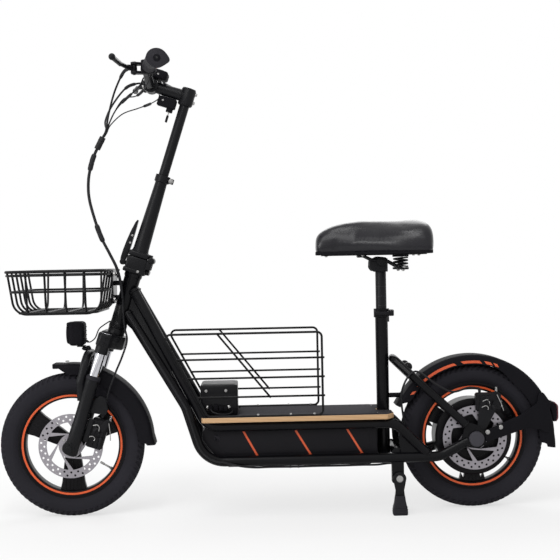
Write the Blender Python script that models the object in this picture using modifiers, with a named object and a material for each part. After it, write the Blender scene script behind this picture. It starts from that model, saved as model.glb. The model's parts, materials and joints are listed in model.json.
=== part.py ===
"""Electric scooter with a folding stem, a spring saddle, a wire basket and a luggage cage.

Metres, +Z up, front of the scooter towards -X, its left side towards -Y.
The origin is on the ground, in the middle of the overall length.
"""

import math

import bmesh
import bpy
from mathutils import Matrix, Vector

# Running gear
FRONT_AXLE_X = -0.5225
TYRE_RADIUS = 0.180
TYRE_WIDTH = 0.054
TYRE_INNER_RADIUS = 0.1345
TREAD_FLAT = 0.030
WHEELBASE = 1.007
RIM_WIDTH = 0.040
RIM_INNER_RADIUS = 0.116
AXLE_RADIUS = 0.006
HUB_RADIUS = 0.028
MOTOR_RADIUS = 0.096
MOTOR_WIDTH = 0.080
DISC_RADIUS = 0.080
DISC_THICKNESS = 0.002
DISC_BORE_RADIUS = 0.0165
FRONT_DISC_Y = -0.041
REAR_DISC_Y = -0.053
WHEEL_STEPS = 36

# Steering
HEAD_LEAN = math.radians(18.0)
FORK_RAKE = 0.022
HEAD_TUBE_BOTTOM = 0.311
HEAD_TUBE_LENGTH = 0.148
HEAD_TUBE_RADIUS = 0.0205
STEERER_RADIUS = 0.0143
HEADSET_CLEARANCE = 0.0017
CROWN_BOTTOM = 0.262
CROWN_HEIGHT = 0.034
LEG_SPACING = 0.130
LEG_RADIUS = 0.0175
LEG_LEAD = 0.015
LEG_TOP = 0.187
STANCHION_RADIUS = 0.013

# Folding stem, as heights along the steering axis
FOLD_BLOCK_HEIGHT = 0.0382
FOLD_BLOCK_LENGTH = 0.052
FOLD_BLOCK_WIDTH = 0.046
FOLD_PIN_RADIUS = 0.004
FOLD_PIN_BACK = 0.034
LATCH_DROP = 0.0215
LATCH_FORWARD = 0.0345
OUTER_STEM_LENGTH = 0.215
INNER_STEM_RADIUS = 0.0125
INNER_STEM_LENGTH = 0.271
BAR_RISE = 0.2065
BAR_REACH = 0.094
JAW_RADIUS = 0.0185
BAR_RADIUS = 0.0111
BAR_WIDTH = 0.600
GRIP_LENGTH = 0.125
GRIP_SEAT_LENGTH = 0.124

# Controls and lamps
ADJUSTER_LENGTH = 0.012
CABLE_RADIUS = 0.0025
LOOM_RADIUS = 0.0045
BUTTON_RADIUS = 0.0065
BUTTON_TRAVEL = 0.002
DISPLAY_RISE = 0.021
KEY_DROP = 0.051
KEY_BACK = -0.033
LAMP_RISE = 0.248
LAMP_SETBACK = 0.037

# Frame
RAIL_RADIUS = 0.0125
RAIL_SPACING = 0.160
LOWER_RAIL_HEIGHT = 0.139
DECK_TOP = 0.250
DECK_THICKNESS = 0.012
DECK_FRONT = -0.200
DECK_OVERHANG = 0.018
DECK_WIDTH = 0.216
CONTROLLER_REAR = -0.105
GUSSET_THICKNESS = 0.004
DROPOUT_SPACING = 0.140
DROPOUT_THICKNESS = 0.006
SEAT_TUBE_ROOM = 0.0425
SEAT_TUBE_RADIUS = 0.0159
SEAT_TUBE_TOP = 0.505
STAY_RADIUS = 0.0105

# Saddle
SEAT_POST_RADIUS = 0.0136
SEAT_POST_BOTTOM = 0.300
SEAT_POST_LENGTH = 0.315
SADDLE_RISE = 0.027
SADDLE_BASE_THICKNESS = 0.010
SADDLE_NOSE = 0.1665
SADDLE_TAIL = 0.122
SPRING_CUP_DEPTH = 0.0075
SPRING_SETBACK = 0.051
SPRING_Y = 0.050
SPRING_COIL_RADIUS = 0.0115
SPRING_WIRE_RADIUS = 0.002
SPRING_HEIGHT = 0.026
SPRING_TURNS = 3

# Luggage
BASKET_LENGTH = 0.240
BASKET_WIDTH = 0.330
BASKET_HEIGHT = 0.105
BASKET_RISE = 0.437
BASKET_SETBACK = 0.1085
BASKET_WIRE = 0.004
CAGE_INSET = 0.0045
CAGE_HEIGHT = 0.2025
CAGE_REAR = 0.104
CAGE_WIRE = 0.005

# Kickstand
KICKSTAND_SETBACK = 0.028
KICKSTAND_PIVOT_HEIGHT = 0.0885
KICKSTAND_THICKNESS = 0.008

# Fenders
FRONT_FENDER_ROOM = 0.026
REAR_FENDER_ROOM = 0.0275
FENDER_WIDTH = 0.074
FENDER_WALL = 0.003
TAIL_LAMP_DEPTH = 0.0105

SEAT_POST_TOP = SEAT_POST_BOTTOM + SEAT_POST_LENGTH
SADDLE_BASE_HEIGHT = SEAT_POST_TOP + SADDLE_RISE
SPRING_FOOT = SADDLE_BASE_HEIGHT - SPRING_CUP_DEPTH - SPRING_HEIGHT

# Room left between pieces that touch, and round a shaft
GAP = 0.0003
RUNNING_GAP = 0.0003

LEFT, RIGHT = -1, 1
FRONT_AXLE = Vector((FRONT_AXLE_X, 0, TYRE_RADIUS))
REAR_AXLE = FRONT_AXLE + Vector((WHEELBASE, 0, 0))
LOOM_END = FRONT_AXLE + Vector((0.1345, -0.0272, 0.365))
SEAT_TUBE_X = REAR_AXLE.x - TYRE_RADIUS - SEAT_TUBE_ROOM
DECK_REAR = SEAT_TUBE_X + DECK_OVERHANG
KICKSTAND_X = SEAT_TUBE_X + KICKSTAND_SETBACK
SADDLE_FRONT = SEAT_TUBE_X - SADDLE_NOSE
SADDLE_REAR = SEAT_TUBE_X + SADDLE_TAIL
SPRING_X = SEAT_TUBE_X + SPRING_SETBACK
FRONT_FENDER_RADIUS = TYRE_RADIUS + FRONT_FENDER_ROOM
REAR_FENDER_RADIUS = TYRE_RADIUS + REAR_FENDER_ROOM
LAMP_LOW = FRONT_AXLE.z + LAMP_RISE
LAMP_BACK = FRONT_AXLE.x + LAMP_SETBACK
BASKET_TOP = FRONT_AXLE.z + BASKET_RISE
BASKET_BACK = FRONT_AXLE.x + BASKET_SETBACK
STEER_TURN = Matrix.Rotation(HEAD_LEAN, 4, "Y")
STEER_BASE = FRONT_AXLE + STEER_TURN @ Vector((FORK_RAKE, 0, 0))
STEER = Matrix.Translation(STEER_BASE) @ STEER_TURN
WORLD = Matrix.Identity(4)
HEAD_TUBE_TOP = HEAD_TUBE_BOTTOM + HEAD_TUBE_LENGTH
FOLD_HEIGHT = HEAD_TUBE_TOP + GAP + FOLD_BLOCK_HEIGHT
LATCH_HEIGHT = FOLD_HEIGHT - LATCH_DROP
OUTER_STEM_TOP = FOLD_HEIGHT + OUTER_STEM_LENGTH
BAR_HEIGHT = OUTER_STEM_TOP + BAR_RISE
DISPLAY_HEIGHT = BAR_HEIGHT + DISPLAY_RISE
KEY_BOTTOM = BAR_HEIGHT - KEY_DROP
BAR_CENTRE = STEER @ Vector((-BAR_REACH, 0, BAR_HEIGHT))
BAR_END = BAR_WIDTH / 2
GRIP_INNER = BAR_END - GRIP_SEAT_LENGTH
LEVER_PIVOT = BAR_CENTRE + Vector((-0.02801, GRIP_INNER - 0.026, 0.02173))
BUTTON_PLACE = BAR_CENTRE + Vector((0.02349, 0.016 - GRIP_INNER, 0.02373))
FRONT_DROP = Vector((-FORK_RAKE, 0, 0))
CROWN_TOP = CROWN_BOTTOM + CROWN_HEIGHT
LEG_Y = LEG_SPACING / 2
RAIL_Y = RAIL_SPACING / 2
DROPOUT_Y = DROPOUT_SPACING / 2
GUSSET_Y = RAIL_Y - 0.001
CAGE_Y = DECK_WIDTH / 2 - CAGE_INSET
DECK_BOTTOM = DECK_TOP - DECK_THICKNESS
DECK_RAIL_HEIGHT = DECK_BOTTOM - GAP - RAIL_RADIUS

# Turns a bored piece's facets off those of its bore
OFF_SEAM = Matrix.Rotation(math.radians(4), 4, "Z")
ALONG_Y = Matrix.Rotation(math.pi / 2, 4, "X")


def start():
    for old in list(bpy.data.objects):
        bpy.data.objects.remove(old)
    part = bpy.data.collections.new("electric_scooter")
    cutters = bpy.data.collections.new("cutters")
    for made in (part, cutters):
        bpy.context.scene.collection.children.link(made)
    return part, cutters


PART, CUTTERS = start()


def paint(name, colour, roughness, metallic=0.0):
    """A Principled material whose colour is an sRGB hex value."""
    material = bpy.data.materials.new(name)
    material.use_nodes = True
    values = [int(colour[i : i + 2], 16) / 255 for i in (1, 3, 5)]
    linear = [v / 12.92 if v <= 0.04045 else ((v + 0.055) / 1.055) ** 2.4 for v in values]
    shader = material.node_tree.nodes["Principled BSDF"]
    shader.inputs["Base Color"].default_value = (*linear, 1)
    shader.inputs["Roughness"].default_value = roughness
    shader.inputs["Metallic"].default_value = metallic
    return material


FRAME_PAINT = paint("frame_paint", "#101012", 0.25)
SATIN_PAINT = paint("satin_paint", "#1B1B1D", 0.45)
TYRE_RUBBER = paint("tyre_rubber", "#2B2A30", 0.8)
GRIP_RUBBER = paint("grip_rubber", "#1E1E20", 0.75)
WHEEL_ENAMEL = paint("wheel_enamel", "#141417", 0.35)
DISC_STEEL = paint("disc_steel", "#B9B6BA", 0.35, 1.0)
ZINC_STEEL = paint("zinc_steel", "#C9C7C2", 0.35, 1.0)
CHROME = paint("chrome_plate", "#D8D8DA", 0.08, 1.0)
ALUMINIUM = paint("black_aluminium", "#222225", 0.4, 0.6)
PLASTIC = paint("moulded_plastic", "#1D1C20", 0.5)
BATTERY_PLASTIC = paint("battery_plastic", "#232227", 0.5)
PLYWOOD = paint("plywood", "#D9B48A", 0.5)
GRIT = paint("grip_tape", "#3A393F", 0.9)
LEATHER = paint("saddle_leather", "#38373B", 0.5)
WIRE_COAT = paint("coated_wire", "#161618", 0.4)
CABLE_SHEATH = paint("cable_sheath", "#18181A", 0.5)
RED_LENS = paint("red_lens", "#5A1626", 0.2)


def keep(name, mesh, material, place=WORLD):
    """Puts a mesh or a curve in the part's collection."""
    made = bpy.data.objects.new(name, mesh)
    made.matrix_world = place
    mesh.materials.append(material)
    PART.objects.link(made)
    return made


def mesh_of(name, bm, material, place):
    mesh = bpy.data.meshes.new(name)
    bm.to_mesh(mesh)
    bm.free()
    return keep(name, mesh, material, place)


def soften(made, angle=35):
    made.data.shade_smooth()
    made.data.set_sharp_from_angle(angle=math.radians(angle))
    return made


def bevelled(made, width, segments=1):
    bevel = made.modifiers.new("bevel", "BEVEL")
    bevel.width = width
    bevel.segments = segments
    bevel.limit_method = "ANGLE"
    bevel.angle_limit = math.radians(40)
    return made


def box(name, low, high, material, place=WORLD, bevel=0.0):
    """A box between two corners."""
    low, high = Vector(low), Vector(high)
    size = high - low
    bm = bmesh.new()
    frame = Matrix.Translation((low + high) / 2) @ Matrix.Diagonal((*size, 1))
    bmesh.ops.create_cube(bm, size=1, matrix=frame)
    made = mesh_of(name, bm, material, place)
    return bevelled(made, bevel) if bevel else made


def rod(name, start_point, end_point, radius, material, place=WORLD, sides=12, end_radius=None):
    """A cylinder, or a cone, between two points."""
    start_point, end_point = Vector(start_point), Vector(end_point)
    along = end_point - start_point
    turn = along.to_track_quat("Z", "Y").to_matrix().to_4x4()
    frame = Matrix.Translation((start_point + end_point) / 2) @ turn
    bm = bmesh.new()
    bmesh.ops.create_cone(
        bm,
        cap_ends=True,
        segments=sides,
        radius1=radius,
        radius2=radius if end_radius is None else end_radius,
        depth=along.length,
        matrix=frame,
    )
    return soften(mesh_of(name, bm, material, place))


def ball(name, centre, radius, material, place=WORLD):
    bm = bmesh.new()
    bmesh.ops.create_uvsphere(
        bm, u_segments=10, v_segments=6, radius=radius, matrix=Matrix.Translation(centre)
    )
    return soften(mesh_of(name, bm, material, place))


def turned(name, profile, material, place=WORLD, steps=20, closed=False):
    """A profile of radius and height turned about Z, given from top to bottom of its outer side.

    A closed profile is a ring's section, and the others start and end on the axis.
    """
    mesh = bpy.data.meshes.new(name)
    points = [(radius, 0, height) for radius, height in profile]
    edges = [(i, i + 1) for i in range(len(points) - 1)]
    if closed:
        edges.append((len(points) - 1, 0))
    mesh.from_pydata(points, edges, [])
    made = keep(name, mesh, material, place)
    screw = made.modifiers.new("turn", "SCREW")
    screw.axis = "Z"
    screw.steps = steps
    screw.render_steps = steps
    screw.use_merge_vertices = True
    screw.merge_threshold = 1e-5
    screw.use_smooth_shade = True
    return made


def turned_on(centre, axis=ALONG_Y, half_step=0.0):
    """The place of a turned piece whose Z lies along another axis."""
    return Matrix.Translation(centre) @ axis @ Matrix.Rotation(half_step, 4, "Z")


def tube(name, points, radius, material, place=WORLD, resolution=2, sides_smooth=True):
    """A round bar along a list of points, as a curve with filled ends."""
    curve = bpy.data.curves.new(name, "CURVE")
    curve.dimensions = "3D"
    spline = curve.splines.new("POLY")
    spline.points.add(len(points) - 1)
    for place_in_curve, point in zip(spline.points, points):
        place_in_curve.co = (*point, 1)
    spline.use_smooth = sides_smooth
    curve.bevel_depth = radius
    curve.bevel_resolution = resolution
    curve.use_fill_caps = True
    return keep(name, curve, material, place)


def bent(corners, radius, steps=3):
    """The points of a path with its corners rounded to arcs, as a tube bender makes it."""
    corners = [Vector(corner) for corner in corners]
    points = [corners[0]]
    for before, corner, after in zip(corners, corners[1:], corners[2:]):
        inward, outward = (before - corner).normalized(), (after - corner).normalized()
        half = inward.angle(outward) / 2
        reach = min(
            radius / math.tan(half),
            0.49 * (before - corner).length,
            0.49 * (after - corner).length,
        )
        bend = reach * math.tan(half)
        centre = corner + (inward + outward).normalized() * bend / math.sin(half)
        first = (corner + inward * reach - centre).normalized()
        last = (corner + outward * reach - centre).normalized()
        for i in range(steps + 1):
            points.append(centre + first.slerp(last, i / steps).normalized() * bend)
    return points + [corners[-1]]


def flowing(route, spacing):
    """Points on a smooth curve through a route's own points, about one spacing apart."""
    route = [Vector(point) for point in route]
    ends = [route[0] * 2 - route[1], *route, route[-1] * 2 - route[-2]]
    points = []
    for before, a, b, after in zip(ends, ends[1:], ends[2:], ends[3:]):
        count = max(1, round((b - a).length / spacing))
        for i in range(count):
            t = i / count
            points.append(
                (
                    a * 2
                    + (b - before) * t
                    + (before * 2 - a * 5 + b * 4 - after) * t**2
                    + (a * 3 - before - b * 3 + after) * t**3
                )
                / 2
            )
    return points + [route[-1]]


def solid(made):
    """A curve object as a mesh object with its caps joined to its sides."""
    bpy.context.view_layer.update()
    graph = bpy.context.evaluated_depsgraph_get()
    mesh = bpy.data.meshes.new_from_object(made.evaluated_get(graph))
    bm = bmesh.new()
    bm.from_mesh(mesh)
    bmesh.ops.remove_doubles(bm, verts=bm.verts, dist=1e-6)
    bmesh.ops.recalc_face_normals(bm, faces=bm.faces)
    bm.to_mesh(mesh)
    bm.free()
    name, place = made.name, made.matrix_world.copy()
    bpy.data.objects.remove(made)
    whole = bpy.data.objects.new(name, mesh)
    whole.matrix_world = place
    PART.objects.link(whole)
    return whole


def plate(name, outlines, thickness, material, place=WORLD):
    """A flat piece in its place's XY plane, from an outline and the outlines of its holes."""
    curve = bpy.data.curves.new(name, "CURVE")
    curve.dimensions = "2D"
    curve.fill_mode = "BOTH"
    curve.extrude = thickness / 2
    for outline in outlines:
        spline = curve.splines.new("POLY")
        spline.points.add(len(outline) - 1)
        for place_in_curve, (x, y) in zip(spline.points, outline):
            place_in_curve.co = (x, y, 0, 1)
        spline.use_cyclic_u = True
    return solid(keep(name, curve, material, place))


def upright(x=0.0, y=0.0, z=0.0):
    """The place of a plate that stands in an XZ plane at a given Y."""
    return Matrix.Translation((x, y, z)) @ ALONG_Y


def circle(centre, radius, sides=24, start_angle=0.0):
    x, y = centre
    angles = [start_angle + math.tau * i / sides for i in range(sides)]
    return [(x + radius * math.cos(a), y + radius * math.sin(a)) for a in angles]


def rounded(corners, radius, steps=3):
    """An outline with each corner rounded, given in order."""
    flat = [Vector((x, y, 0)) for x, y in corners]
    outline = []
    for before, corner, after in zip(flat[-1:] + flat[:-1], flat, flat[1:] + flat[:1]):
        outline += [(p.x, p.y) for p in bent([before, corner, after], radius, steps)[1:-1]]
    return outline


def loft(name, rings, material, place=WORLD):
    """A closed skin over rings of equally many points, with a flat face at each end."""
    bm = bmesh.new()
    loops = [[bm.verts.new(point) for point in ring] for ring in rings]
    for a, b in zip(loops, loops[1:]):
        for i in range(len(a)):
            j = (i + 1) % len(a)
            bm.faces.new((a[i], a[j], b[j], b[i]))
    bm.faces.new(loops[0][::-1])
    bm.faces.new(loops[-1])
    bmesh.ops.recalc_face_normals(bm, faces=bm.faces)
    return mesh_of(name, bm, material, place)


def hide_tool(tool):
    """Turns an object into a Boolean's tool."""
    tool.hide_render = True
    tool.display_type = "WIRE"
    for holder in tool.users_collection:
        holder.objects.unlink(tool)
    CUTTERS.objects.link(tool)


def combine(base, tools, operation):
    for tool in tools:
        change = base.modifiers.new(operation.lower(), "BOOLEAN")
        change.operation = operation
        change.solver = "EXACT"
        change.object = tool
        hide_tool(tool)
    return base


def joined(base, *tools):
    return combine(base, tools, "UNION")


def cut(base, *tools):
    return combine(base, tools, "DIFFERENCE")


def bar_piece(name, points, radius, material, place=WORLD, resolution=3):
    """A tube that a Boolean can join or cut."""
    return solid(tube(name, points, radius, material, place, resolution))


def wheel_place(axle, y=0.0):
    """A turned piece on a wheel's axle, with a flat of its rim at the bottom."""
    return turned_on(axle + Vector((0, y, 0)), ALONG_Y, math.pi / WHEEL_STEPS)


def tyre(name, axle):
    grow = 1 / math.cos(math.pi / WHEEL_STEPS)
    half, flat = TYRE_WIDTH / 2, TREAD_FLAT / 2
    bulge = (TYRE_RADIUS + TYRE_INNER_RADIUS) / 2
    bead = RIM_WIDTH / 2 - 0.002
    outer = [
        (TYRE_RADIUS * grow, flat),
        (TYRE_RADIUS * grow, -flat),
        (TYRE_RADIUS - 0.006, -half + 0.005),
        (bulge, -half),
        (TYRE_INNER_RADIUS, -bead),
    ]
    inner = [(radius, -height) for radius, height in outer[:1:-1]]
    return soften(
        turned(name, outer + inner, TYRE_RUBBER, wheel_place(axle), WHEEL_STEPS, closed=True), 50
    )


def wheel(name, axle, hub_radius, hub_left, hub_right):
    """A cast rim with a hub and three wide spokes, bored for its axle."""
    seat = TYRE_INNER_RADIUS - GAP
    half = RIM_WIDTH / 2
    rim = [
        (seat, half),
        (seat, -half),
        (RIM_INNER_RADIUS + 0.006, -half),
        (RIM_INNER_RADIUS, -half + 0.012),
        (RIM_INNER_RADIUS, half - 0.012),
        (RIM_INNER_RADIUS + 0.006, half),
    ]
    body = turned(name, rim, WHEEL_ENAMEL, wheel_place(axle), WHEEL_STEPS, closed=True)
    hub = rod(
        name + "_hub",
        axle + Vector((0, hub_left, 0)),
        axle + Vector((0, hub_right, 0)),
        hub_radius,
        WHEEL_ENAMEL,
        sides=24,
    )
    spokes = []
    reach = RIM_INNER_RADIUS + 0.003
    root = hub_radius - 0.006
    for i in range(3):
        turn = Matrix.Rotation(math.tau * i / 3, 4, "Z")
        shape = [(root, -0.016), (reach, -0.034), (reach, 0.034), (root, 0.016)]
        outline = [(turn @ Vector((-y, -x, 0)))[:2] for x, y in shape]
        place = upright(axle.x, 0, axle.z)
        spokes.append(plate(f"{name}_spoke_{i}", [outline], 0.020, WHEEL_ENAMEL, place))
    bore = rod(
        name + "_bore",
        axle - Vector((0, 0.1, 0)),
        axle + Vector((0, 0.1, 0)),
        AXLE_RADIUS + RUNNING_GAP,
        ZINC_STEEL,
        sides=16,
    )
    joined(body, hub, *spokes)
    return soften(cut(body, bore))


def brake_disc(name, axle, y):
    """A rotor with six windows between its arms."""
    windows = []
    inner, outer = 0.028, 0.060
    for i in range(6):
        middle = math.tau * i / 6
        wide, narrow = math.radians(22), math.radians(13)
        outline = [
            (inner * math.cos(middle - narrow), inner * math.sin(middle - narrow)),
            (outer * math.cos(middle - wide), outer * math.sin(middle - wide)),
            (outer * math.cos(middle + wide), outer * math.sin(middle + wide)),
            (inner * math.cos(middle + narrow), inner * math.sin(middle + narrow)),
        ]
        windows.append(outline)
    outlines = [circle((0, 0), DISC_RADIUS, 28), circle((0, 0), DISC_BORE_RADIUS, 16)]
    place = upright(axle.x, y, axle.z)
    return plate(name, outlines + windows, DISC_THICKNESS, DISC_STEEL, place)


def make_wheels():
    hub_end = abs(FRONT_DISC_Y) - DISC_THICKNESS / 2 - GAP
    tyre("front_tyre", FRONT_AXLE)
    wheel("front_wheel", FRONT_AXLE, HUB_RADIUS, -hub_end, 0.036)
    brake_disc("front_disc", FRONT_AXLE, FRONT_DISC_Y)
    tyre("rear_tyre", REAR_AXLE)
    motor_half = MOTOR_WIDTH / 2
    rear = wheel("rear_wheel", REAR_AXLE, MOTOR_RADIUS, -motor_half, motor_half)
    flange_end = abs(REAR_DISC_Y) - DISC_THICKNESS / 2 - GAP
    flange = rod(
        "rear_disc_flange",
        REAR_AXLE + Vector((0, -motor_half + 0.004, 0)),
        REAR_AXLE + Vector((0, -flange_end, 0)),
        HUB_RADIUS,
        WHEEL_ENAMEL,
        sides=24,
    )
    flange_bore = rod(
        "rear_flange_bore",
        REAR_AXLE + Vector((0, -0.1, 0)),
        REAR_AXLE + Vector((0, 0.1, 0)),
        AXLE_RADIUS + RUNNING_GAP,
        ZINC_STEEL,
        sides=16,
    )
    cut(joined(rear, flange), flange_bore)
    brake_disc("rear_disc", REAR_AXLE, REAR_DISC_Y)


def make_axles():
    """Threaded axles with their nuts, outside the fork legs and the dropouts."""
    ends = {
        "front_axle": (FRONT_AXLE, LEG_Y + LEG_RADIUS + GAP),
        "rear_axle": (REAR_AXLE, DROPOUT_Y + DROPOUT_THICKNESS / 2 + GAP),
    }
    for name, (axle, face) in ends.items():
        along = Vector((0, 1, 0))
        shaft = rod(
            name, axle - along * (face + 0.008), axle + along * (face + 0.008), AXLE_RADIUS,
            ZINC_STEEL, sides=16,
        )
        nuts = []
        for side in (LEFT, RIGHT):
            outer = 0.012 if name == "rear_axle" else 0.007
            nut_radius = 0.019 if name == "rear_axle" else 0.0105
            nut_sides = 16 if name == "rear_axle" else 6
            nuts.append(
                rod(
                    f"{name}_nut_{side}",
                    axle + along * side * face,
                    axle + along * side * (face + outer),
                    nut_radius,
                    ZINC_STEEL,
                    sides=nut_sides,
                )
            )
        joined(shaft, *nuts)


def make_head_tube():
    """The steering tube of the frame, with its headset cups and the basket's mounting plate."""
    top = HEAD_TUBE_TOP
    cup = HEAD_TUBE_RADIUS + 0.002
    profile = [
        (0, top),
        (cup, top),
        (cup, top - 0.012),
        (HEAD_TUBE_RADIUS, top - 0.014),
        (HEAD_TUBE_RADIUS, HEAD_TUBE_BOTTOM + 0.014),
        (cup, HEAD_TUBE_BOTTOM + 0.012),
        (cup, HEAD_TUBE_BOTTOM),
        (0, HEAD_TUBE_BOTTOM),
    ]
    body = turned("head_tube", profile, FRAME_PAINT, STEER @ OFF_SEAM)
    back = BASKET_BACK + BASKET_WIRE / 2 + GAP
    flange = box(
        "basket_plate",
        (back, -0.045, BASKET_TOP - 0.085),
        (back + 0.003, 0.045, BASKET_TOP),
        FRAME_PAINT,
    )
    arms = []
    for height in (BASKET_TOP - 0.070, BASKET_TOP - 0.034):
        along = (height - STEER_BASE.z) / math.cos(HEAD_LEAN)
        tube_x = STEER_BASE.x + along * math.sin(HEAD_LEAN)
        arms.append(
            box(
                f"basket_arm_{height}",
                (back + 0.001, -0.012, height - 0.006),
                (tube_x - 0.008, 0.012, height + 0.006),
                FRAME_PAINT,
            )
        )
    web = plate(
        "head_web",
        [
            [
                front_xz(0.1385, 0.3005),
                front_xz(0.1665, 0.273),
                front_xz(0.1825, 0.264),
                front_xz(0.1885, 0.29),
                front_xz(0.1625, 0.365),
                front_xz(0.1505, 0.378),
            ]
        ],
        GUSSET_THICKNESS,
        FRAME_PAINT,
        upright(),
    )
    bore = rod(
        "head_bore",
        (0, 0, HEAD_TUBE_BOTTOM - 0.01),
        (0, 0, top + 0.01),
        STEERER_RADIUS + HEADSET_CLEARANCE,
        FRAME_PAINT,
        STEER,
        sides=24,
    )
    return soften(cut(joined(body, flange, web, *arms), bore))


# Where the stays end on the dropouts, and the direction in which they arrive
STAY_END = REAR_AXLE + Vector((-0.0225, 0, 0.0335))
STAY_KNEE = Vector((SEAT_TUBE_X + 0.068, 0, 0.338))


def from_front(x, y, z):
    """A point measured from the front axle."""
    return FRONT_AXLE + Vector((x, y, z))


def from_rear(x, y, z):
    """A point measured from the rear axle."""
    return REAR_AXLE + Vector((x, y, z))


def front_xz(x, z):
    return FRONT_AXLE.x + x, FRONT_AXLE.z + z


def rear_xz(x, z):
    return REAR_AXLE.x + x, REAR_AXLE.z + z


# Where each side's two tubes meet the head tube
DECK_RAIL_HEAD = FRONT_AXLE + Vector((0.1612, 0.0162, 0.3854))
LOWER_RAIL_HEAD = FRONT_AXLE + Vector((0.1447, 0.0149, 0.3285))


def lower_rail(side):
    """The path of a side's lower tube, from the head tube under the battery to the dropout."""
    rail = side * RAIL_Y
    corners = [
        (LOWER_RAIL_HEAD.x, side * LOWER_RAIL_HEAD.y, LOWER_RAIL_HEAD.z),
        (-0.232, rail, 0.275),
        (-0.190, rail, LOWER_RAIL_HEIGHT),
        (DECK_REAR + 0.022, rail, LOWER_RAIL_HEIGHT),
        (DECK_REAR + 0.112, side * (RAIL_Y - 0.004), LOWER_RAIL_HEIGHT),
        from_rear(-0.020, side * DROPOUT_Y, -0.006),
    ]
    return bent(corners, 0.07)


def head_gusset(name, side):
    """The web that joins a side's two tubes behind the head tube, where they start to spread."""
    rings = []
    for face in (-0.002, 0.002):
        ring = []
        for head, foot, reach in (
            (DECK_RAIL_HEAD, Vector((-0.180, RAIL_Y, DECK_RAIL_HEIGHT)), (0.004, 0.230)),
            (LOWER_RAIL_HEAD, Vector((-0.232, RAIL_Y, 0.275)), (0.185, 0.004)),
        ):
            along = (foot - head).normalized()
            for length in reach:
                point = head + along * length
                ring.append(Vector((point.x, side * (point.y + face), point.z)))
        rings.append(ring)
    return loft(name, rings, FRAME_PAINT)


def rear_gusset(name, side):
    """The plate between the deck tube's falling end and the lower tube."""
    low = LOWER_RAIL_HEIGHT + 0.003
    outline = [
        (DECK_REAR + 0.0105, DECK_RAIL_HEIGHT - 0.013),
        (DECK_REAR + 0.0125, DECK_RAIL_HEIGHT - 0.055),
        (DECK_REAR + 0.0175, low),
        (DECK_REAR + 0.0700, low),
        (DECK_REAR + 0.0650, low + 0.018),
        (DECK_REAR + 0.0200, DECK_RAIL_HEIGHT - 0.019),
    ]
    return plate(name, [outline], GUSSET_THICKNESS, FRAME_PAINT, upright(0, side * GUSSET_Y, 0))


def make_frame_sides():
    """Each side's two long tubes with the dropout, and the kickstand's bracket on the left."""
    for name, side in (("frame_side_left", LEFT), ("frame_side_right", RIGHT)):
        rail, drop = side * RAIL_Y, side * DROPOUT_Y
        deck_rail = [
            (DECK_RAIL_HEAD.x, side * DECK_RAIL_HEAD.y, DECK_RAIL_HEAD.z),
            (-0.180, rail, DECK_RAIL_HEIGHT),
            (DECK_REAR + 0.003, rail, DECK_RAIL_HEIGHT),
            (DECK_REAR + 0.090, side * (RAIL_Y - 0.0035), LOWER_RAIL_HEIGHT - 0.002),
        ]
        body = bar_piece(name, bent(deck_rail, 0.045), RAIL_RADIUS, FRAME_PAINT)
        lower = bar_piece(name + "_lower", lower_rail(side), RAIL_RADIUS, FRAME_PAINT)
        away = (STAY_END - STAY_KNEE).normalized()
        across = Vector((away.z, 0, -away.x)) * STAY_RADIUS
        seat = STAY_END + away * GAP
        outline = [
            rear_xz(-0.0385, -0.014),
            (seat.x + across.x, seat.z + across.z),
            (seat.x - across.x, seat.z - across.z),
            rear_xz(0.0075, 0.032),
            rear_xz(0.0245, 0.016),
            rear_xz(0.0245, -0.012),
            rear_xz(0.0075, -0.025),
            rear_xz(-0.0265, -0.02),
        ]
        dropout = plate(
            name + "_dropout",
            [outline],
            DROPOUT_THICKNESS,
            FRAME_PAINT,
            upright(0, drop, 0),
        )
        hole = rod(
            name + "_hole",
            REAR_AXLE + Vector((0, drop - 0.02, 0)),
            REAR_AXLE + Vector((0, drop + 0.02, 0)),
            AXLE_RADIUS + RUNNING_GAP,
            FRAME_PAINT,
            sides=16,
        )
        head = rod(
            name + "_head",
            (0, 0, HEAD_TUBE_BOTTOM + 0.016),
            (0, 0, HEAD_TUBE_TOP - 0.016),
            HEAD_TUBE_RADIUS + GAP,
            FRAME_PAINT,
            STEER,
            sides=24,
        )
        pieces = [lower, dropout, head_gusset(name + "_web", side), rear_gusset(name + "_gusset", side)]
        holes = [hole, head]
        if side == LEFT:
            pieces.append(
                box(
                    "kickstand_bracket",
                    (KICKSTAND_X - 0.018, rail - 0.007, KICKSTAND_PIVOT_HEIGHT - 0.012),
                    (KICKSTAND_X + 0.012, rail + 0.007, LOWER_RAIL_HEIGHT - 0.004),
                    FRAME_PAINT,
                )
            )
            holes.append(
                rod(
                    "kickstand_hole",
                    (KICKSTAND_X, rail - 0.02, KICKSTAND_PIVOT_HEIGHT),
                    (KICKSTAND_X, rail + 0.003, KICKSTAND_PIVOT_HEIGHT),
                    0.005 + RUNNING_GAP,
                    FRAME_PAINT,
                )
            )
        soften(cut(joined(body, *pieces), *holes))


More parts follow.
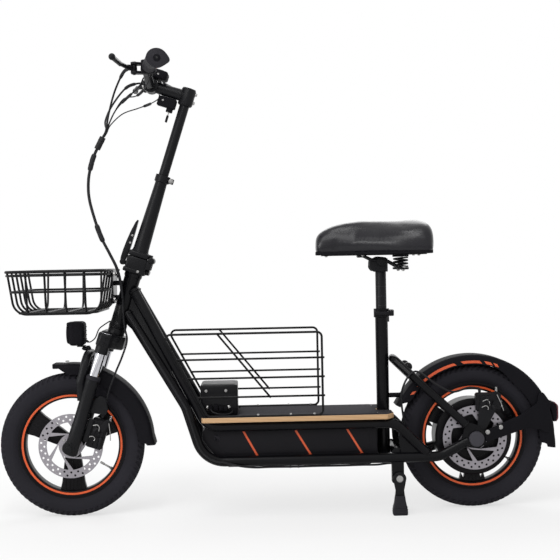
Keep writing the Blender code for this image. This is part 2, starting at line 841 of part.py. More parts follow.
def make_seat_tube():
    """The seat tube with its clamp collar, on the cross tube between the two sides."""
    radius, top = SEAT_TUBE_RADIUS, SEAT_TUBE_TOP
    foot = LOWER_RAIL_HEIGHT - 0.0075
    profile = [
        (0, top),
        (radius + 0.0035, top),
        (radius + 0.0035, top - 0.022),
        (radius, top - 0.024),
        (radius, foot),
        (0, foot),
    ]
    place = Matrix.Translation((SEAT_TUBE_X, 0, 0)) @ OFF_SEAM
    body = turned("seat_tube", profile, FRAME_PAINT, place)
    cross_x = SEAT_TUBE_X + radius + 0.0095
    cross_height = LOWER_RAIL_HEIGHT + 0.011
    end = GUSSET_Y - GUSSET_THICKNESS / 2 - GAP
    cross = rod(
        "seat_cross_tube",
        (cross_x, -end, cross_height),
        (cross_x, end, cross_height),
        0.011,
        FRAME_PAINT,
    )
    beds = [
        rod(
            f"cross_bed_{side}",
            (cross_x - 0.05, side * RAIL_Y, LOWER_RAIL_HEIGHT),
            (cross_x + 0.05, side * RAIL_Y, LOWER_RAIL_HEIGHT),
            RAIL_RADIUS + GAP,
            FRAME_PAINT,
            sides=20,
        )
        for side in (LEFT, RIGHT)
    ]
    ears = box(
        "clamp_ears",
        (SEAT_TUBE_X + radius, -0.012, top - 0.019),
        (SEAT_TUBE_X + radius + 0.014, 0.012, top - 0.003),
        FRAME_PAINT,
    )
    bore = rod(
        "seat_bore",
        (SEAT_TUBE_X, 0, 0.1),
        (SEAT_TUBE_X, 0, top + 0.01),
        SEAT_POST_RADIUS + RUNNING_GAP,
        FRAME_PAINT,
        sides=16,
    )
    slit = box(
        "clamp_slit",
        (SEAT_TUBE_X, -0.001, top - 0.034),
        (SEAT_TUBE_X + 0.05, 0.001, top + 0.01),
        FRAME_PAINT,
    )
    soften(cut(joined(body, cross, ears), bore, slit, *beds))


def make_seat_clamp_lever():
    """The quick release: its cam barrel behind the collar and its lever along the left side."""
    height = SEAT_TUBE_TOP - 0.011
    pivot = Vector((SEAT_TUBE_X + SEAT_TUBE_RADIUS + 0.008, -0.0185, height))
    barrel = rod(
        "seat_clamp_lever",
        pivot - Vector((0, 0, 0.007)),
        pivot + Vector((0, 0, 0.007)),
        0.006,
        ALUMINIUM,
    )
    arm = [
        pivot,
        pivot + Vector((-0.012, -0.0075, 0)),
        pivot + Vector((-0.030, -0.0075, 0)),
        pivot + Vector((-0.044, -0.0055, 0)),
    ]
    joined(barrel, bar_piece("seat_lever_arm", bent(arm, 0.01), 0.0032, ALUMINIUM, resolution=2))


def make_seat_stays():
    """One bent tube from the left dropout round behind the seat tube to the right one."""
    wrap = SEAT_TUBE_X + SEAT_TUBE_RADIUS + GAP + STAY_RADIUS
    half = [
        Vector((STAY_END.x, DROPOUT_Y, STAY_END.z)),
        Vector((STAY_KNEE.x, 0.053, STAY_KNEE.z)),
        Vector((wrap, 0.022, STAY_KNEE.z + 0.040)),
    ]
    mirrored = [Vector((p.x, -p.y, p.z)) for p in reversed(half)]
    tube("seat_stays", bent(half + mirrored, 0.022), STAY_RADIUS, FRAME_PAINT, resolution=3)


def make_deck():
    """The plywood board, notched round the rails and the seat tube, and its grip sheet."""
    half = DECK_WIDTH / 2
    slot_in, slot_out = RAIL_Y - RAIL_RADIUS - 0.0080, RAIL_Y + RAIL_RADIUS + 0.0015
    slot_end = DECK_FRONT + 0.050
    rear_slot = SEAT_TUBE_RADIUS + 0.0008
    rear_slot_end = SEAT_TUBE_X - rear_slot
    side = [
        (DECK_FRONT, slot_in),
        (slot_end, slot_in),
        (slot_end, slot_out),
        (DECK_FRONT + 0.003, slot_out),
        (DECK_FRONT + 0.010, half),
        (DECK_REAR - 0.018, half),
        (DECK_REAR, half - 0.030),
        (DECK_REAR, rear_slot),
        (rear_slot_end, rear_slot),
    ]
    outline = side + [(x, -y) for x, y in reversed(side)]
    plate(
        "deck_board",
        [outline],
        DECK_THICKNESS,
        PLYWOOD,
        Matrix.Translation((0, 0, DECK_TOP - DECK_THICKNESS / 2)),
    )
    sheet_thickness = 0.0014
    front = CONTROLLER_REAR + 0.004
    inset = half - 0.010
    sheet = [(front, inset), (DECK_REAR - 0.042, inset), (DECK_REAR - 0.042, -inset), (front, -inset)]
    plate(
        "grip_tape",
        [rounded(sheet, 0.006)],
        sheet_thickness,
        GRIT,
        Matrix.Translation((0, 0, DECK_TOP + GAP + sheet_thickness / 2)),
    )


def make_controller():
    """The motor controller's housing on the deck's front."""
    half = RAIL_Y - 0.022
    low = (DECK_FRONT + 0.003, -half, DECK_TOP + GAP)
    high = (CONTROLLER_REAR, half, DECK_TOP + 0.076)
    box("controller_box", low, high, ALUMINIUM, bevel=0.003)


def make_battery():
    """The battery tray under the deck, open at its top, and the pack of cells inside it."""
    half = RAIL_Y - RAIL_RADIUS - 0.0012
    top = DECK_BOTTOM - GAP
    floor = 0.122
    rear = SEAT_TUBE_X - 0.022
    outline = [
        (-0.170, top),
        (-0.194, 0.212),
        (-0.194, 0.190),
        (-0.150, 0.134),
        (-0.130, floor),
        (rear - 0.018, floor),
        (rear, floor + 0.016),
        (rear, top),
    ]
    case = plate(
        "battery_case", [outline], 2 * half, BATTERY_PLASTIC, upright()
    )
    wall = 0.003
    room = box(
        "battery_room",
        (-0.142, -half + wall, floor + wall),
        (rear - 0.004, half - wall, top + 0.02),
        BATTERY_PLASTIC,
    )
    cut(case, room)
    box(
        "battery_pack",
        (-0.138, -half + wall + 0.0006, floor + wall + GAP),
        (rear - 0.110, half - wall - 0.0006, 0.210),
        BATTERY_PLASTIC,
        bevel=0.002,
    )


def lattice(name, bm, thickness, place=WORLD):
    """A wire body along the edges of a surface."""
    made = mesh_of(name, bm, WIRE_COAT, place)
    wires = made.modifiers.new("wires", "WIREFRAME")
    wires.thickness = thickness
    wires.offset = 0
    wires.use_even_offset = True
    wires.use_boundary = True
    wires.use_replace = True
    return made


def make_cage():
    """The luggage cage: a flat panel of wires on each side of the deck."""
    base = DECK_TOP + GAP + CAGE_WIRE / 2
    rails = [base + CAGE_HEIGHT * share for share in (0, 0.23, 0.46, 0.69, 1)]
    lean = -0.53
    front = [-0.178 + lean * (z - base) for z in rails]
    brace_foot, brace_head = -0.025, -0.152
    brace = [
        brace_foot + (brace_head - brace_foot) * (z - rails[1]) / (rails[4] - rails[1])
        for z in rails[1:]
    ]
    for name, side in (("cage_left", LEFT), ("cage_right", RIGHT)):
        y = side * CAGE_Y
        bm = bmesh.new()
        rows = []
        for i, z in enumerate(rails):
            xs = [front[i], CAGE_REAR] if i == 0 else [front[i], brace[i - 1], CAGE_REAR]
            rows.append([bm.verts.new((x, y, z)) for x in xs])
        bm.faces.new((rows[0][0], rows[0][1], rows[1][2], rows[1][1], rows[1][0]))
        for a, b in zip(rows[1:], rows[2:]):
            bm.faces.new((a[0], a[1], b[1], b[0]))
            bm.faces.new((a[1], a[2], b[2], b[1]))
        lattice(name, bm, CAGE_WIRE)


def make_basket():
    """The wire basket: an open box whose walls lean in towards its floor."""
    cells_long, cells_wide, rows = 4, 5, 2
    floor_inset = 0.014
    centre_x = BASKET_BACK - BASKET_LENGTH / 2
    bottom = BASKET_TOP - BASKET_HEIGHT
    bm = bmesh.new()
    size = (BASKET_LENGTH - 2 * floor_inset, BASKET_WIDTH - 2 * floor_inset)
    frame = Matrix.Translation((centre_x, 0, bottom)) @ Matrix.Diagonal((*size, 1, 1))
    bmesh.ops.create_grid(bm, x_segments=cells_long, y_segments=cells_wide, size=0.5, matrix=frame)
    edges = [e for e in bm.edges if e.is_boundary]
    for row in range(rows):
        grown = bmesh.ops.extrude_edge_only(bm, edges=edges)["geom"]
        verts = [g for g in grown if isinstance(g, bmesh.types.BMVert)]
        edges = [g for g in grown if isinstance(g, bmesh.types.BMEdge)]
        edges = [e for e in edges if e.is_boundary]
        step = floor_inset / rows
        for vert in verts:
            wide = abs(vert.co.y) > size[1] / 2 - 0.001 + row * step
            long = abs(vert.co.x - centre_x) > size[0] / 2 - 0.001 + row * step
            vert.co.y += math.copysign(step, vert.co.y) if wide else 0
            vert.co.x += math.copysign(step, vert.co.x - centre_x) if long else 0
            vert.co.z += BASKET_HEIGHT / rows
    bmesh.ops.recalc_face_normals(bm, faces=bm.faces)
    lattice("basket", bm, BASKET_WIRE)


def fender_shell(name, axle, radius, first, last, skirt):
    """A shell over a tyre from one angle to another, with skirts as deep as skirt says."""
    steps = 12
    half = FENDER_WIDTH / 2
    bm = bmesh.new()
    rings = []
    for i in range(steps + 1):
        share = i / steps
        angle = math.radians(first + (last - first) * share)
        depth = skirt(share)
        section = [
            (half, -depth),
            (half, -0.010),
            (half - 0.010, -0.002),
            (0, 0),
        ]
        section += [(-y, drop) for y, drop in reversed(section[:-1])]
        rings.append(
            [
                bm.verts.new(
                    (
                        axle.x + (radius + drop) * math.cos(angle),
                        y,
                        axle.z + (radius + drop) * math.sin(angle),
                    )
                )
                for y, drop in section
            ]
        )
    for a, b in zip(rings, rings[1:]):
        for j in range(len(a) - 1):
            bm.faces.new((a[j], a[j + 1], b[j + 1], b[j]))
    bmesh.ops.recalc_face_normals(bm, faces=bm.faces)
    made = mesh_of(name, bm, PLASTIC, WORLD)
    wall = made.modifiers.new("wall", "SOLIDIFY")
    wall.thickness = FENDER_WALL
    wall.offset = 0
    return soften(made)


def make_front_fender():
    """The front fender, whose skirt grows deeper towards its tail."""
    radius = FRONT_FENDER_RADIUS - FENDER_WALL / 2
    fender_shell("front_fender", FRONT_AXLE, radius, 102, -1, lambda s: 0.016 + 0.019 * s * s)


def make_rear_fender():
    """The rear fender with the two moulded arms that carry its tail from the axle."""
    radius = REAR_FENDER_RADIUS - FENDER_WALL / 2
    shell = fender_shell("rear_fender", REAR_AXLE, radius, 157, -9, lambda s: 0.022)
    boss_height = REAR_AXLE.z + 0.105
    boss_reach = math.sqrt(REAR_FENDER_RADIUS**2 - (boss_height - REAR_AXLE.z) ** 2) - 0.002
    front_boss = rod(
        "fender_boss",
        (SEAT_TUBE_X + SEAT_TUBE_RADIUS + GAP, 0, boss_height),
        (REAR_AXLE.x - boss_reach, 0, boss_height),
        0.006,
        PLASTIC,
    )
    arms = []
    outer_y = DROPOUT_Y + DROPOUT_THICKNESS / 2 + 0.0036
    inner_y = FENDER_WIDTH / 2 - 0.001
    foot = Vector((REAR_AXLE.x + 0.0215, 0, 0))
    tip = Vector((REAR_AXLE.x + REAR_FENDER_RADIUS - 0.0115, 0, 0))
    reach = tip.x - foot.x
    for side in (LEFT, RIGHT):
        across = side * (inner_y - outer_y)
        turn = Matrix.Rotation(math.atan2(across, tip.x - foot.x), 4, "Z")
        place = Matrix.Translation((foot.x, side * outer_y, REAR_AXLE.z)) @ turn @ ALONG_Y
        outline = [
            (0.000, -0.009),
            (0.060, 0.006),
            (reach - 0.0645, 0.020),
            (reach - 0.0245, 0.015),
            (reach - 0.0025, 0.000),
            (reach + 0.0035, 0.082),
            (reach - 0.0245, 0.120),
            (reach - 0.0325, 0.082),
            (reach - 0.0745, 0.056),
            (0.050, 0.038),
            (0.000, 0.020),
        ]
        arms.append(plate(f"fender_arm_{side}", [outline], 0.0045, PLASTIC, place))
    return soften(joined(shell, front_boss, *arms))


def make_tail_light():
    """The tail lamp, seated on the back of the rear fender."""
    low, high = REAR_AXLE.z + 0.032, REAR_AXLE.z + 0.081

    def seat(height):
        rise = height - REAR_AXLE.z
        return REAR_AXLE.x + math.sqrt((REAR_FENDER_RADIUS + GAP) ** 2 - rise**2) + GAP

    rear = REAR_AXLE.x + REAR_FENDER_RADIUS + TAIL_LAMP_DEPTH
    heights = [low + (high - low) * i / 4 for i in range(5)]
    outline = [(seat(z), z) for z in heights]
    outline += [(rear - 0.009, high), (rear, high - 0.010), (rear, low + 0.008), (rear - 0.005, low)]
    plate("tail_light", [outline], 0.052, RED_LENS, upright())


def make_rear_caliper():
    """The rear disc brake's caliper astride the rotor, with its plate on the left dropout."""
    middle_x, low, high = REAR_AXLE.x + 0.034, REAR_AXLE.z + 0.066, REAR_AXLE.z + 0.112
    inner = -MOTOR_WIDTH / 2 - 0.0015
    body = box(
        "rear_caliper", (middle_x - 0.032, -0.0640, low), (middle_x + 0.032, inner, high),
        ALUMINIUM, bevel=0.004,
    )
    face = -(DROPOUT_Y - DROPOUT_THICKNESS / 2) + GAP
    plate_thickness = 0.005
    bracket = plate(
        "rear_caliper_plate",
        [
            [
                rear_xz(0.004, 0.022),
                rear_xz(0.020, 0.012),
                rear_xz(0.052, 0.070),
                rear_xz(0.050, 0.090),
                rear_xz(0.012, 0.090),
            ]
        ],
        plate_thickness,
        ALUMINIUM,
        upright(0, face + plate_thickness / 2, 0),
    )
    slot = rod(
        "rear_disc_slot",
        REAR_AXLE + Vector((0, REAR_DISC_Y - 0.0025, 0)),
        REAR_AXLE + Vector((0, REAR_DISC_Y + 0.0025, 0)),
        DISC_RADIUS + 0.0035,
        ALUMINIUM,
        sides=48,
    )
    motor = rod(
        "motor_room",
        REAR_AXLE + Vector((0, inner - 0.0005, 0)),
        REAR_AXLE + Vector((0, inner + 0.01, 0)),
        MOTOR_RADIUS + 0.002,
        ALUMINIUM,
        sides=24,
    )
    cut(joined(body, bracket), slot, motor)


def make_fork_upper():
    """The steerer and crown in one, with the two stanchions clamped in the crown."""
    race = HEAD_TUBE_RADIUS + 0.001
    lead = -LEG_LEAD
    crown_outline = [
        (lead - 0.019, LEG_Y + 0.006),
        (lead - 0.012, LEG_Y + 0.016),
        (lead + 0.012, LEG_Y + 0.017),
        (lead + 0.020, LEG_Y + 0.004),
        (0.0295, 0.020),
        (0.0295, -0.020),
        (lead + 0.020, -LEG_Y - 0.004),
        (lead + 0.012, -LEG_Y - 0.017),
        (lead - 0.012, -LEG_Y - 0.016),
        (lead - 0.019, -LEG_Y - 0.006),
    ]
    middle = STEER @ Matrix.Translation((0, 0, CROWN_BOTTOM + CROWN_HEIGHT / 2))
    body = plate("fork_crown", [crown_outline], CROWN_HEIGHT, SATIN_PAINT, middle)
    seat = rod(
        "crown_race", (0, 0, CROWN_TOP - 0.01), (0, 0, HEAD_TUBE_BOTTOM - GAP), race,
        SATIN_PAINT, STEER, sides=24,
    )
    steerer = rod(
        "steerer", (0, 0, CROWN_BOTTOM + 0.004), (0, 0, FOLD_HEIGHT - 0.012), STEERER_RADIUS,
        SATIN_PAINT, STEER, sides=24,
    )
    holes = []
    for name, side in (("stanchion_left", LEFT), ("stanchion_right", RIGHT)):
        x, y = lead, side * LEG_Y
        holes.append(
            rod(
                name + "_hole", (x, y, CROWN_BOTTOM - 0.01), (x, y, CROWN_TOP + 0.01),
                STANCHION_RADIUS + RUNNING_GAP, CHROME, STEER, sides=16,
            )
        )
        rod(
            name, (x, y, 0.075), (x, y, CROWN_TOP + 0.001), STANCHION_RADIUS,
            CHROME, STEER, sides=16,
        )
    cut(joined(body, seat, steerer), *holes)


def make_fold_base():
    """The folding block on the steerer, with the fold's pin and its two outer knuckles."""
    half = FOLD_BLOCK_LENGTH / 2
    width = FOLD_BLOCK_WIDTH / 2
    low = HEAD_TUBE_TOP + GAP
    high = FOLD_HEIGHT - GAP / 2
    body = box(
        "fold_base", (-half, -width, low), (half, width, high), SATIN_PAINT, STEER, bevel=0.004
    )
    pin_x = FOLD_PIN_BACK
    knuckles = []
    for side in (LEFT, RIGHT):
        knuckles.append(
            rod(
                f"fold_knuckle_{side}",
                (pin_x, side * 0.0105, FOLD_HEIGHT),
                (pin_x, side * 0.0210, FOLD_HEIGHT),
                0.0085,
                SATIN_PAINT,
                STEER,
            )
        )
        knuckles.append(
            box(
                f"fold_ear_{side}",
                (half - 0.004, side * 0.01575 - 0.00525, FOLD_HEIGHT - 0.024),
                (pin_x + 0.004, side * 0.01575 + 0.00525, FOLD_HEIGHT - 0.004),
                SATIN_PAINT,
                STEER,
            )
        )
    pin = rod(
        "fold_pin", (pin_x, -0.018, FOLD_HEIGHT), (pin_x, 0.018, FOLD_HEIGHT), FOLD_PIN_RADIUS,
        SATIN_PAINT, STEER,
    )
    hook = rod(
        "fold_hook", (half - 0.002, 0, FOLD_HEIGHT - 0.0305), (half + 0.010, 0, FOLD_HEIGHT - 0.0305),
        0.0075, SATIN_PAINT, STEER,
    )
    bore = rod(
        "fold_bore", (0, 0, low - 0.01), (0, 0, FOLD_HEIGHT - 0.011), STEERER_RADIUS + GAP,
        SATIN_PAINT, STEER, sides=24,
    )
    cut(joined(body, *knuckles, pin, hook), bore)


def make_fold_latch():
    """The fold's latch: a lever in front of the stem, on a barrel against the folding block."""
    x = -LATCH_FORWARD
    barrel = rod(
        "fold_latch", (x, -0.013, LATCH_HEIGHT), (x, 0.013, LATCH_HEIGHT), 0.0075, ALUMINIUM, STEER
    )
    outline = [
        (x - 0.0070, LATCH_HEIGHT),
        (x - 0.0075, LATCH_HEIGHT + 0.016),
        (x - 0.0030, LATCH_HEIGHT + 0.060),
        (x + 0.0030, LATCH_HEIGHT + 0.110),
        (x + 0.0070, LATCH_HEIGHT + 0.110),
        (x + 0.0030, LATCH_HEIGHT + 0.055),
        (x + 0.0000, LATCH_HEIGHT),
    ]
    blade = plate("latch_blade", [outline], 0.022, ALUMINIUM, STEER @ ALONG_Y)
    joined(barrel, blade)


def make_stem_lower():
    """The tapered outer stem on its fold plate, bored for the inner stem, with its clamp."""
    collar = 0.0185
    bore_radius = INNER_STEM_RADIUS + RUNNING_GAP
    profile = [
        (0, OUTER_STEM_TOP),
        (collar, OUTER_STEM_TOP),
        (collar, OUTER_STEM_TOP - 0.018),
        (0.0150, OUTER_STEM_TOP - 0.021),
        (0.0190, FOLD_HEIGHT + 0.045),
        (0.0200, FOLD_HEIGHT + 0.004),
        (0, FOLD_HEIGHT + 0.004),
    ]
    body = turned("stem_lower", profile, SATIN_PAINT, STEER @ OFF_SEAM)
    half = FOLD_BLOCK_LENGTH / 2
    width = FOLD_BLOCK_WIDTH / 2
    foot = FOLD_HEIGHT + GAP / 2
    base = box(
        "stem_foot", (-half, -width, foot), (half, width, foot + 0.014), SATIN_PAINT, STEER,
        bevel=0.004,
    )
    knuckle = rod(
        "stem_knuckle", (FOLD_PIN_BACK, -0.0100, FOLD_HEIGHT), (FOLD_PIN_BACK, 0.0100, FOLD_HEIGHT),
        0.0085, SATIN_PAINT, STEER,
    )
    ear = box(
        "stem_ear", (half - 0.004, -0.0100, FOLD_HEIGHT + 0.001),
        (FOLD_PIN_BACK, 0.0100, FOLD_HEIGHT + 0.014), SATIN_PAINT, STEER,
    )
    clamp_ears = box(
        "stem_clamp_ears", (0.010, -0.0085, OUTER_STEM_TOP - 0.016),
        (collar + 0.011, 0.0085, OUTER_STEM_TOP - 0.002), SATIN_PAINT, STEER,
    )
    eye = rod(
        "stem_eye", (FOLD_PIN_BACK, -0.03, FOLD_HEIGHT), (FOLD_PIN_BACK, 0.03, FOLD_HEIGHT),
        FOLD_PIN_RADIUS + RUNNING_GAP, SATIN_PAINT, STEER,
    )
    bore = rod(
        "stem_bore", (0, 0, FOLD_HEIGHT + 0.012), (0, 0, OUTER_STEM_TOP + 0.01), bore_radius,
        SATIN_PAINT, STEER, sides=20,
    )
    slit = box(
        "stem_slit", (0, -0.001, OUTER_STEM_TOP - 0.028), (0.05, 0.001, OUTER_STEM_TOP + 0.01),
        SATIN_PAINT, STEER,
    )
    cut(joined(body, base, knuckle, ear, clamp_ears), eye, bore, slit)


def bar_point(back, side, rise):
    """A point on the handlebar, measured from the middle of its clamp, in the world's axes."""
    return BAR_CENTRE + Vector((back, side, rise))


GRIP_START = (0.010, GRIP_INNER, 0.0220)
GRIP_END = (0.033, BAR_END, 0.0220)


def make_stem_upper():
    """The inner stem with the forward arm that clamps the handlebar."""
    end = BAR_HEIGHT + 0.007
    body = rod(
        "stem_upper", (0, 0, end - INNER_STEM_LENGTH), (0, 0, end), INNER_STEM_RADIUS,
        SATIN_PAINT, STEER, sides=20,
    )
    head = rod(
        "stem_head", (0, 0, BAR_HEIGHT - 0.022), (0, 0, BAR_HEIGHT + 0.021), 0.0185,
        SATIN_PAINT, STEER, sides=16,
    )
    arm = rod(
        "stem_arm", (0, 0, BAR_HEIGHT), (-BAR_REACH, 0, BAR_HEIGHT), 0.0155, SATIN_PAINT, STEER,
        sides=16, end_radius=0.0135,
    )
    jaw = rod(
        "bar_jaw", (-BAR_REACH, -0.023, BAR_HEIGHT), (-BAR_REACH, 0.023, BAR_HEIGHT), JAW_RADIUS,
        SATIN_PAINT, STEER, sides=16,
    )
    bore = rod(
        "bar_bore", (-BAR_REACH, -0.05, BAR_HEIGHT), (-BAR_REACH, 0.05, BAR_HEIGHT),
        BAR_RADIUS + GAP, SATIN_PAINT, STEER, sides=16,
    )
    cut(joined(body, head, arm, jaw), bore)


def on_bar(side, start_reach, end_reach):
    """Two points on the axis of the bar's outer part, at distances from GRIP_START."""
    back, reach, rise = GRIP_START
    first = bar_point(back, side * reach, rise)
    back, reach, rise = GRIP_END
    along = (bar_point(back, side * reach, rise) - first).normalized()
    return first + along * start_reach, first + along * end_reach


def make_handlebar():
    """The bar: level in its clamp, then rising and swept back to the grips."""
    knee, _ = on_bar(RIGHT, -0.059, 0)
    half = [bar_point(0, 0.040, 0), knee, bar_point(*GRIP_END)]
    mirrored = [Vector((p.x, -p.y, p.z)) for p in reversed(half)]
    tube("handlebar", bent(mirrored + half, 0.04), BAR_RADIUS, SATIN_PAINT, resolution=3)


def make_grips():
    """The rubber grips; the left one flares to a palm rest, and the right one is the throttle."""
    for name, side in (("grip_left", LEFT), ("grip_right", RIGHT)):
        inner, outer = on_bar(side, 0.004, 0.004 + GRIP_LENGTH)
        along = (outer - inner).normalized()
        up = Vector((0, 0, 1))
        back = up.cross(along).normalized() * -side
        rings = []
        flare = 1.0 if side == LEFT else 0.35
        for share in (0, 0.04, 0.3, 0.6, 0.82, 0.97, 1.0):
            swell = flare * max(0.0, (share - 0.3) / 0.7) ** 1.5
            size = 0.0165 + 0.0008 * math.sin(math.pi * share)
            if share in (0, 1.0):
                size -= 0.0015
            middle = inner + (outer - inner) * share + back * 0.004 * swell - up * 0.003 * swell
            rings.append(
                [
                    middle
                    + back * math.cos(a) * (size + 0.0085 * swell)
                    + up * math.sin(a) * (size + 0.0065 * swell)
                    for a in [math.tau * i / 16 for i in range(16)]
                ]
            )
        body = soften(loft(name, rings, GRIP_RUBBER))
        bar_length = (bar_point(*GRIP_END) - bar_point(*GRIP_START)).length
        room, bar_tip = on_bar(side, -0.02, bar_length + 2 * GAP)
        bore = rod(name + "_bore", room, bar_tip, BAR_RADIUS + GAP, GRIP_RUBBER, sides=16)
        cut(body, bore)


def make_perches():
    """The brake lever clamps; the left one carries the switch housing with the horn button."""
    thick = 0.006
    for name, side in (("brake_perch_left", LEFT), ("brake_perch_right", RIGHT)):
        inner, outer = on_bar(side, -0.046, -0.028)
        body = rod(name, inner, outer, 0.0165, ALUMINIUM, sides=16)
        pivot = Vector((LEVER_PIVOT.x, side * LEVER_PIVOT.y, LEVER_PIVOT.z))
        middle = (inner + outer) / 2
        outline = [
            (middle.x, side * (LEVER_PIVOT.y - 0.023)),
            (middle.x, side * (LEVER_PIVOT.y - 0.006)),
            (pivot.x + 0.004, pivot.y + side * 0.0095),
            (pivot.x - 0.0075, pivot.y + side * 0.0085),
            (pivot.x - 0.0085, pivot.y - side * 0.0060),
            (pivot.x - 0.0065, pivot.y - side * 0.0165),
            (pivot.x + 0.0040, pivot.y - side * 0.0185),
        ]
        fork_gap = 0.0075
        cheeks = []
        for level in (-1, 1):
            place = Matrix.Translation((0, 0, pivot.z + level * (fork_gap + thick / 2)))
            cheeks.append(plate(f"{name}_cheek_{level}", [outline], thick, ALUMINIUM, place))
        web_y = pivot.y - side * 0.0135
        web = box(
            name + "_web",
            (pivot.x - 0.0060, web_y - 0.0028, pivot.z - fork_gap - 0.001),
            (pivot.x + 0.0060, web_y + 0.0028, pivot.z + fork_gap + 0.001),
            ALUMINIUM,
        )
        adjuster = rod(
            name + "_adjuster",
            (pivot.x, web_y, pivot.z),
            (pivot.x - 0.001, web_y - side * ADJUSTER_LENGTH, pivot.z),
            0.0042,
            ALUMINIUM,
            sides=12,
        )
        pin = rod(
            name + "_pin",
            pivot - Vector((0, 0, fork_gap + 0.002)),
            pivot + Vector((0, 0, fork_gap + 0.002)),
            0.0025,
            ALUMINIUM,
            sides=12,
        )
        pieces = [*cheeks, web, adjuster, pin]
        tools = [
            rod(
                name + "_bore", *on_bar(side, -0.09, 0.002), BAR_RADIUS + GAP, ALUMINIUM, sides=16
            )
        ]
        if side == LEFT:
            first, last = on_bar(side, -0.029, -0.0015)
            centre = (first + last) / 2
            half_x, half_z = 0.0175, 0.0165
            housing = box(
                "switch_housing",
                (centre.x - half_x, last.y, centre.z - half_z),
                (BUTTON_PLACE.x, first.y, centre.z + half_z),
                ALUMINIUM,
                bevel=0.003,
            )
            room = rod(
                "button_room",
                BUTTON_PLACE + Vector((0.004, 0, 0)),
                BUTTON_PLACE - Vector((BUTTON_TRAVEL + 0.0015, 0, 0)),
                BUTTON_RADIUS + RUNNING_GAP,
                ALUMINIUM,
            )
            pieces.append(housing)
            tools.append(room)
        cut(joined(body, *pieces), *tools)


def make_levers():
    """The two brake levers, each a cast blade with a ball end, on a barrel round its pin."""
    for name, side in (("brake_lever_left", LEFT), ("brake_lever_right", RIGHT)):
        pivot = Vector((LEVER_PIVOT.x, side * LEVER_PIVOT.y, LEVER_PIVOT.z))
        half = 0.0068
        barrel = rod(
            name, pivot - Vector((0, 0, half)), pivot + Vector((0, 0, half)), 0.0065, ALUMINIUM
        )
        path = [
            pivot,
            pivot + Vector((-0.015, side * 0.012, 0.0)),
            pivot + Vector((-0.027, side * 0.055, 0.002)),
            pivot + Vector((-0.038, side * 0.127, 0.006)),
        ]
        blade = bar_piece(name + "_blade", bent(path, 0.03), 0.0048, ALUMINIUM, resolution=2)
        end = ball(name + "_end", path[-1], 0.0080, ALUMINIUM)
        eye = rod(
            name + "_eye",
            pivot - Vector((0, 0, 0.02)),
            pivot + Vector((0, 0, 0.02)),
            0.0025 + RUNNING_GAP,
            ALUMINIUM,
            sides=12,
        )
        cut(joined(barrel, blade, end), eye)


def make_horn_button():
    """The horn button in its hole in the switch housing."""
    rod(
        "horn_button",
        BUTTON_PLACE - Vector((0.001, 0, 0)),
        BUTTON_PLACE + Vector((BUTTON_TRAVEL + 0.0008, 0, 0)),
        BUTTON_RADIUS,
        PLASTIC,
    )


def make_display():
    """The display, on a foot that sits on the bar's clamp."""
    body = box(
        "display",
        (-BAR_REACH - 0.012, -0.029, DISPLAY_HEIGHT),
        (-BAR_REACH + 0.034, 0.029, DISPLAY_HEIGHT + 0.022),
        PLASTIC,
        STEER,
        bevel=0.005,
    )
    saddle = box(
        "display_foot",
        (-BAR_REACH - 0.009, -0.018, DISPLAY_HEIGHT - 0.014),
        (-BAR_REACH + 0.014, 0.018, DISPLAY_HEIGHT + 0.002),
        PLASTIC,
        STEER,
    )
    jaw = rod(
        "display_seat",
        (-BAR_REACH, -0.03, BAR_HEIGHT),
        (-BAR_REACH, 0.03, BAR_HEIGHT),
        JAW_RADIUS + GAP,
        PLASTIC,
        STEER,
        sides=16,
    )
    arm = box(
        "arm_room",
        (-BAR_REACH, -0.05, DISPLAY_HEIGHT - 0.02),
        (-BAR_REACH + 0.05, 0.05, BAR_HEIGHT + 0.0160),
        PLASTIC,
        STEER,
    )
    cut(joined(body, saddle), jaw, arm)


def make_key_switch():
    """The ignition lock's housing under the stem's arm, and the key in it."""
    top = BAR_HEIGHT - 0.0155 - GAP
    floor = KEY_BOTTOM
    body = box(
        "key_switch", (-0.068, -0.012, floor + 0.010), (-0.0205, 0.012, top), PLASTIC, STEER,
        bevel=0.002,
    )
    barrel = rod(
        "lock_barrel", (KEY_BACK, 0, floor), (KEY_BACK, 0, floor + 0.016), 0.0085, PLASTIC, STEER
    )
    room = rod(
        "lock_room", (KEY_BACK, 0, floor - 0.01), (KEY_BACK, 0, floor + 0.0065),
        0.0055 + RUNNING_GAP, PLASTIC, STEER,
    )
    cut(joined(body, barrel), room)
    plug = rod(
        "key", (KEY_BACK, 0, floor + 0.006), (KEY_BACK, 0, floor - 0.0005), 0.0055, ZINC_STEEL, STEER
    )
    blade = box(
        "key_blade", (KEY_BACK - 0.0012, -0.0032, floor - 0.009), (KEY_BACK + 0.0012, 0.0032, floor),
        ZINC_STEEL, STEER,
    )
    head = box(
        "key_head", (KEY_BACK - 0.0025, -0.009, floor - 0.026), (KEY_BACK + 0.0025, 0.009, floor - 0.008),
        ZINC_STEEL, STEER, bevel=0.0015,
    )
    joined(plug, blade, head)


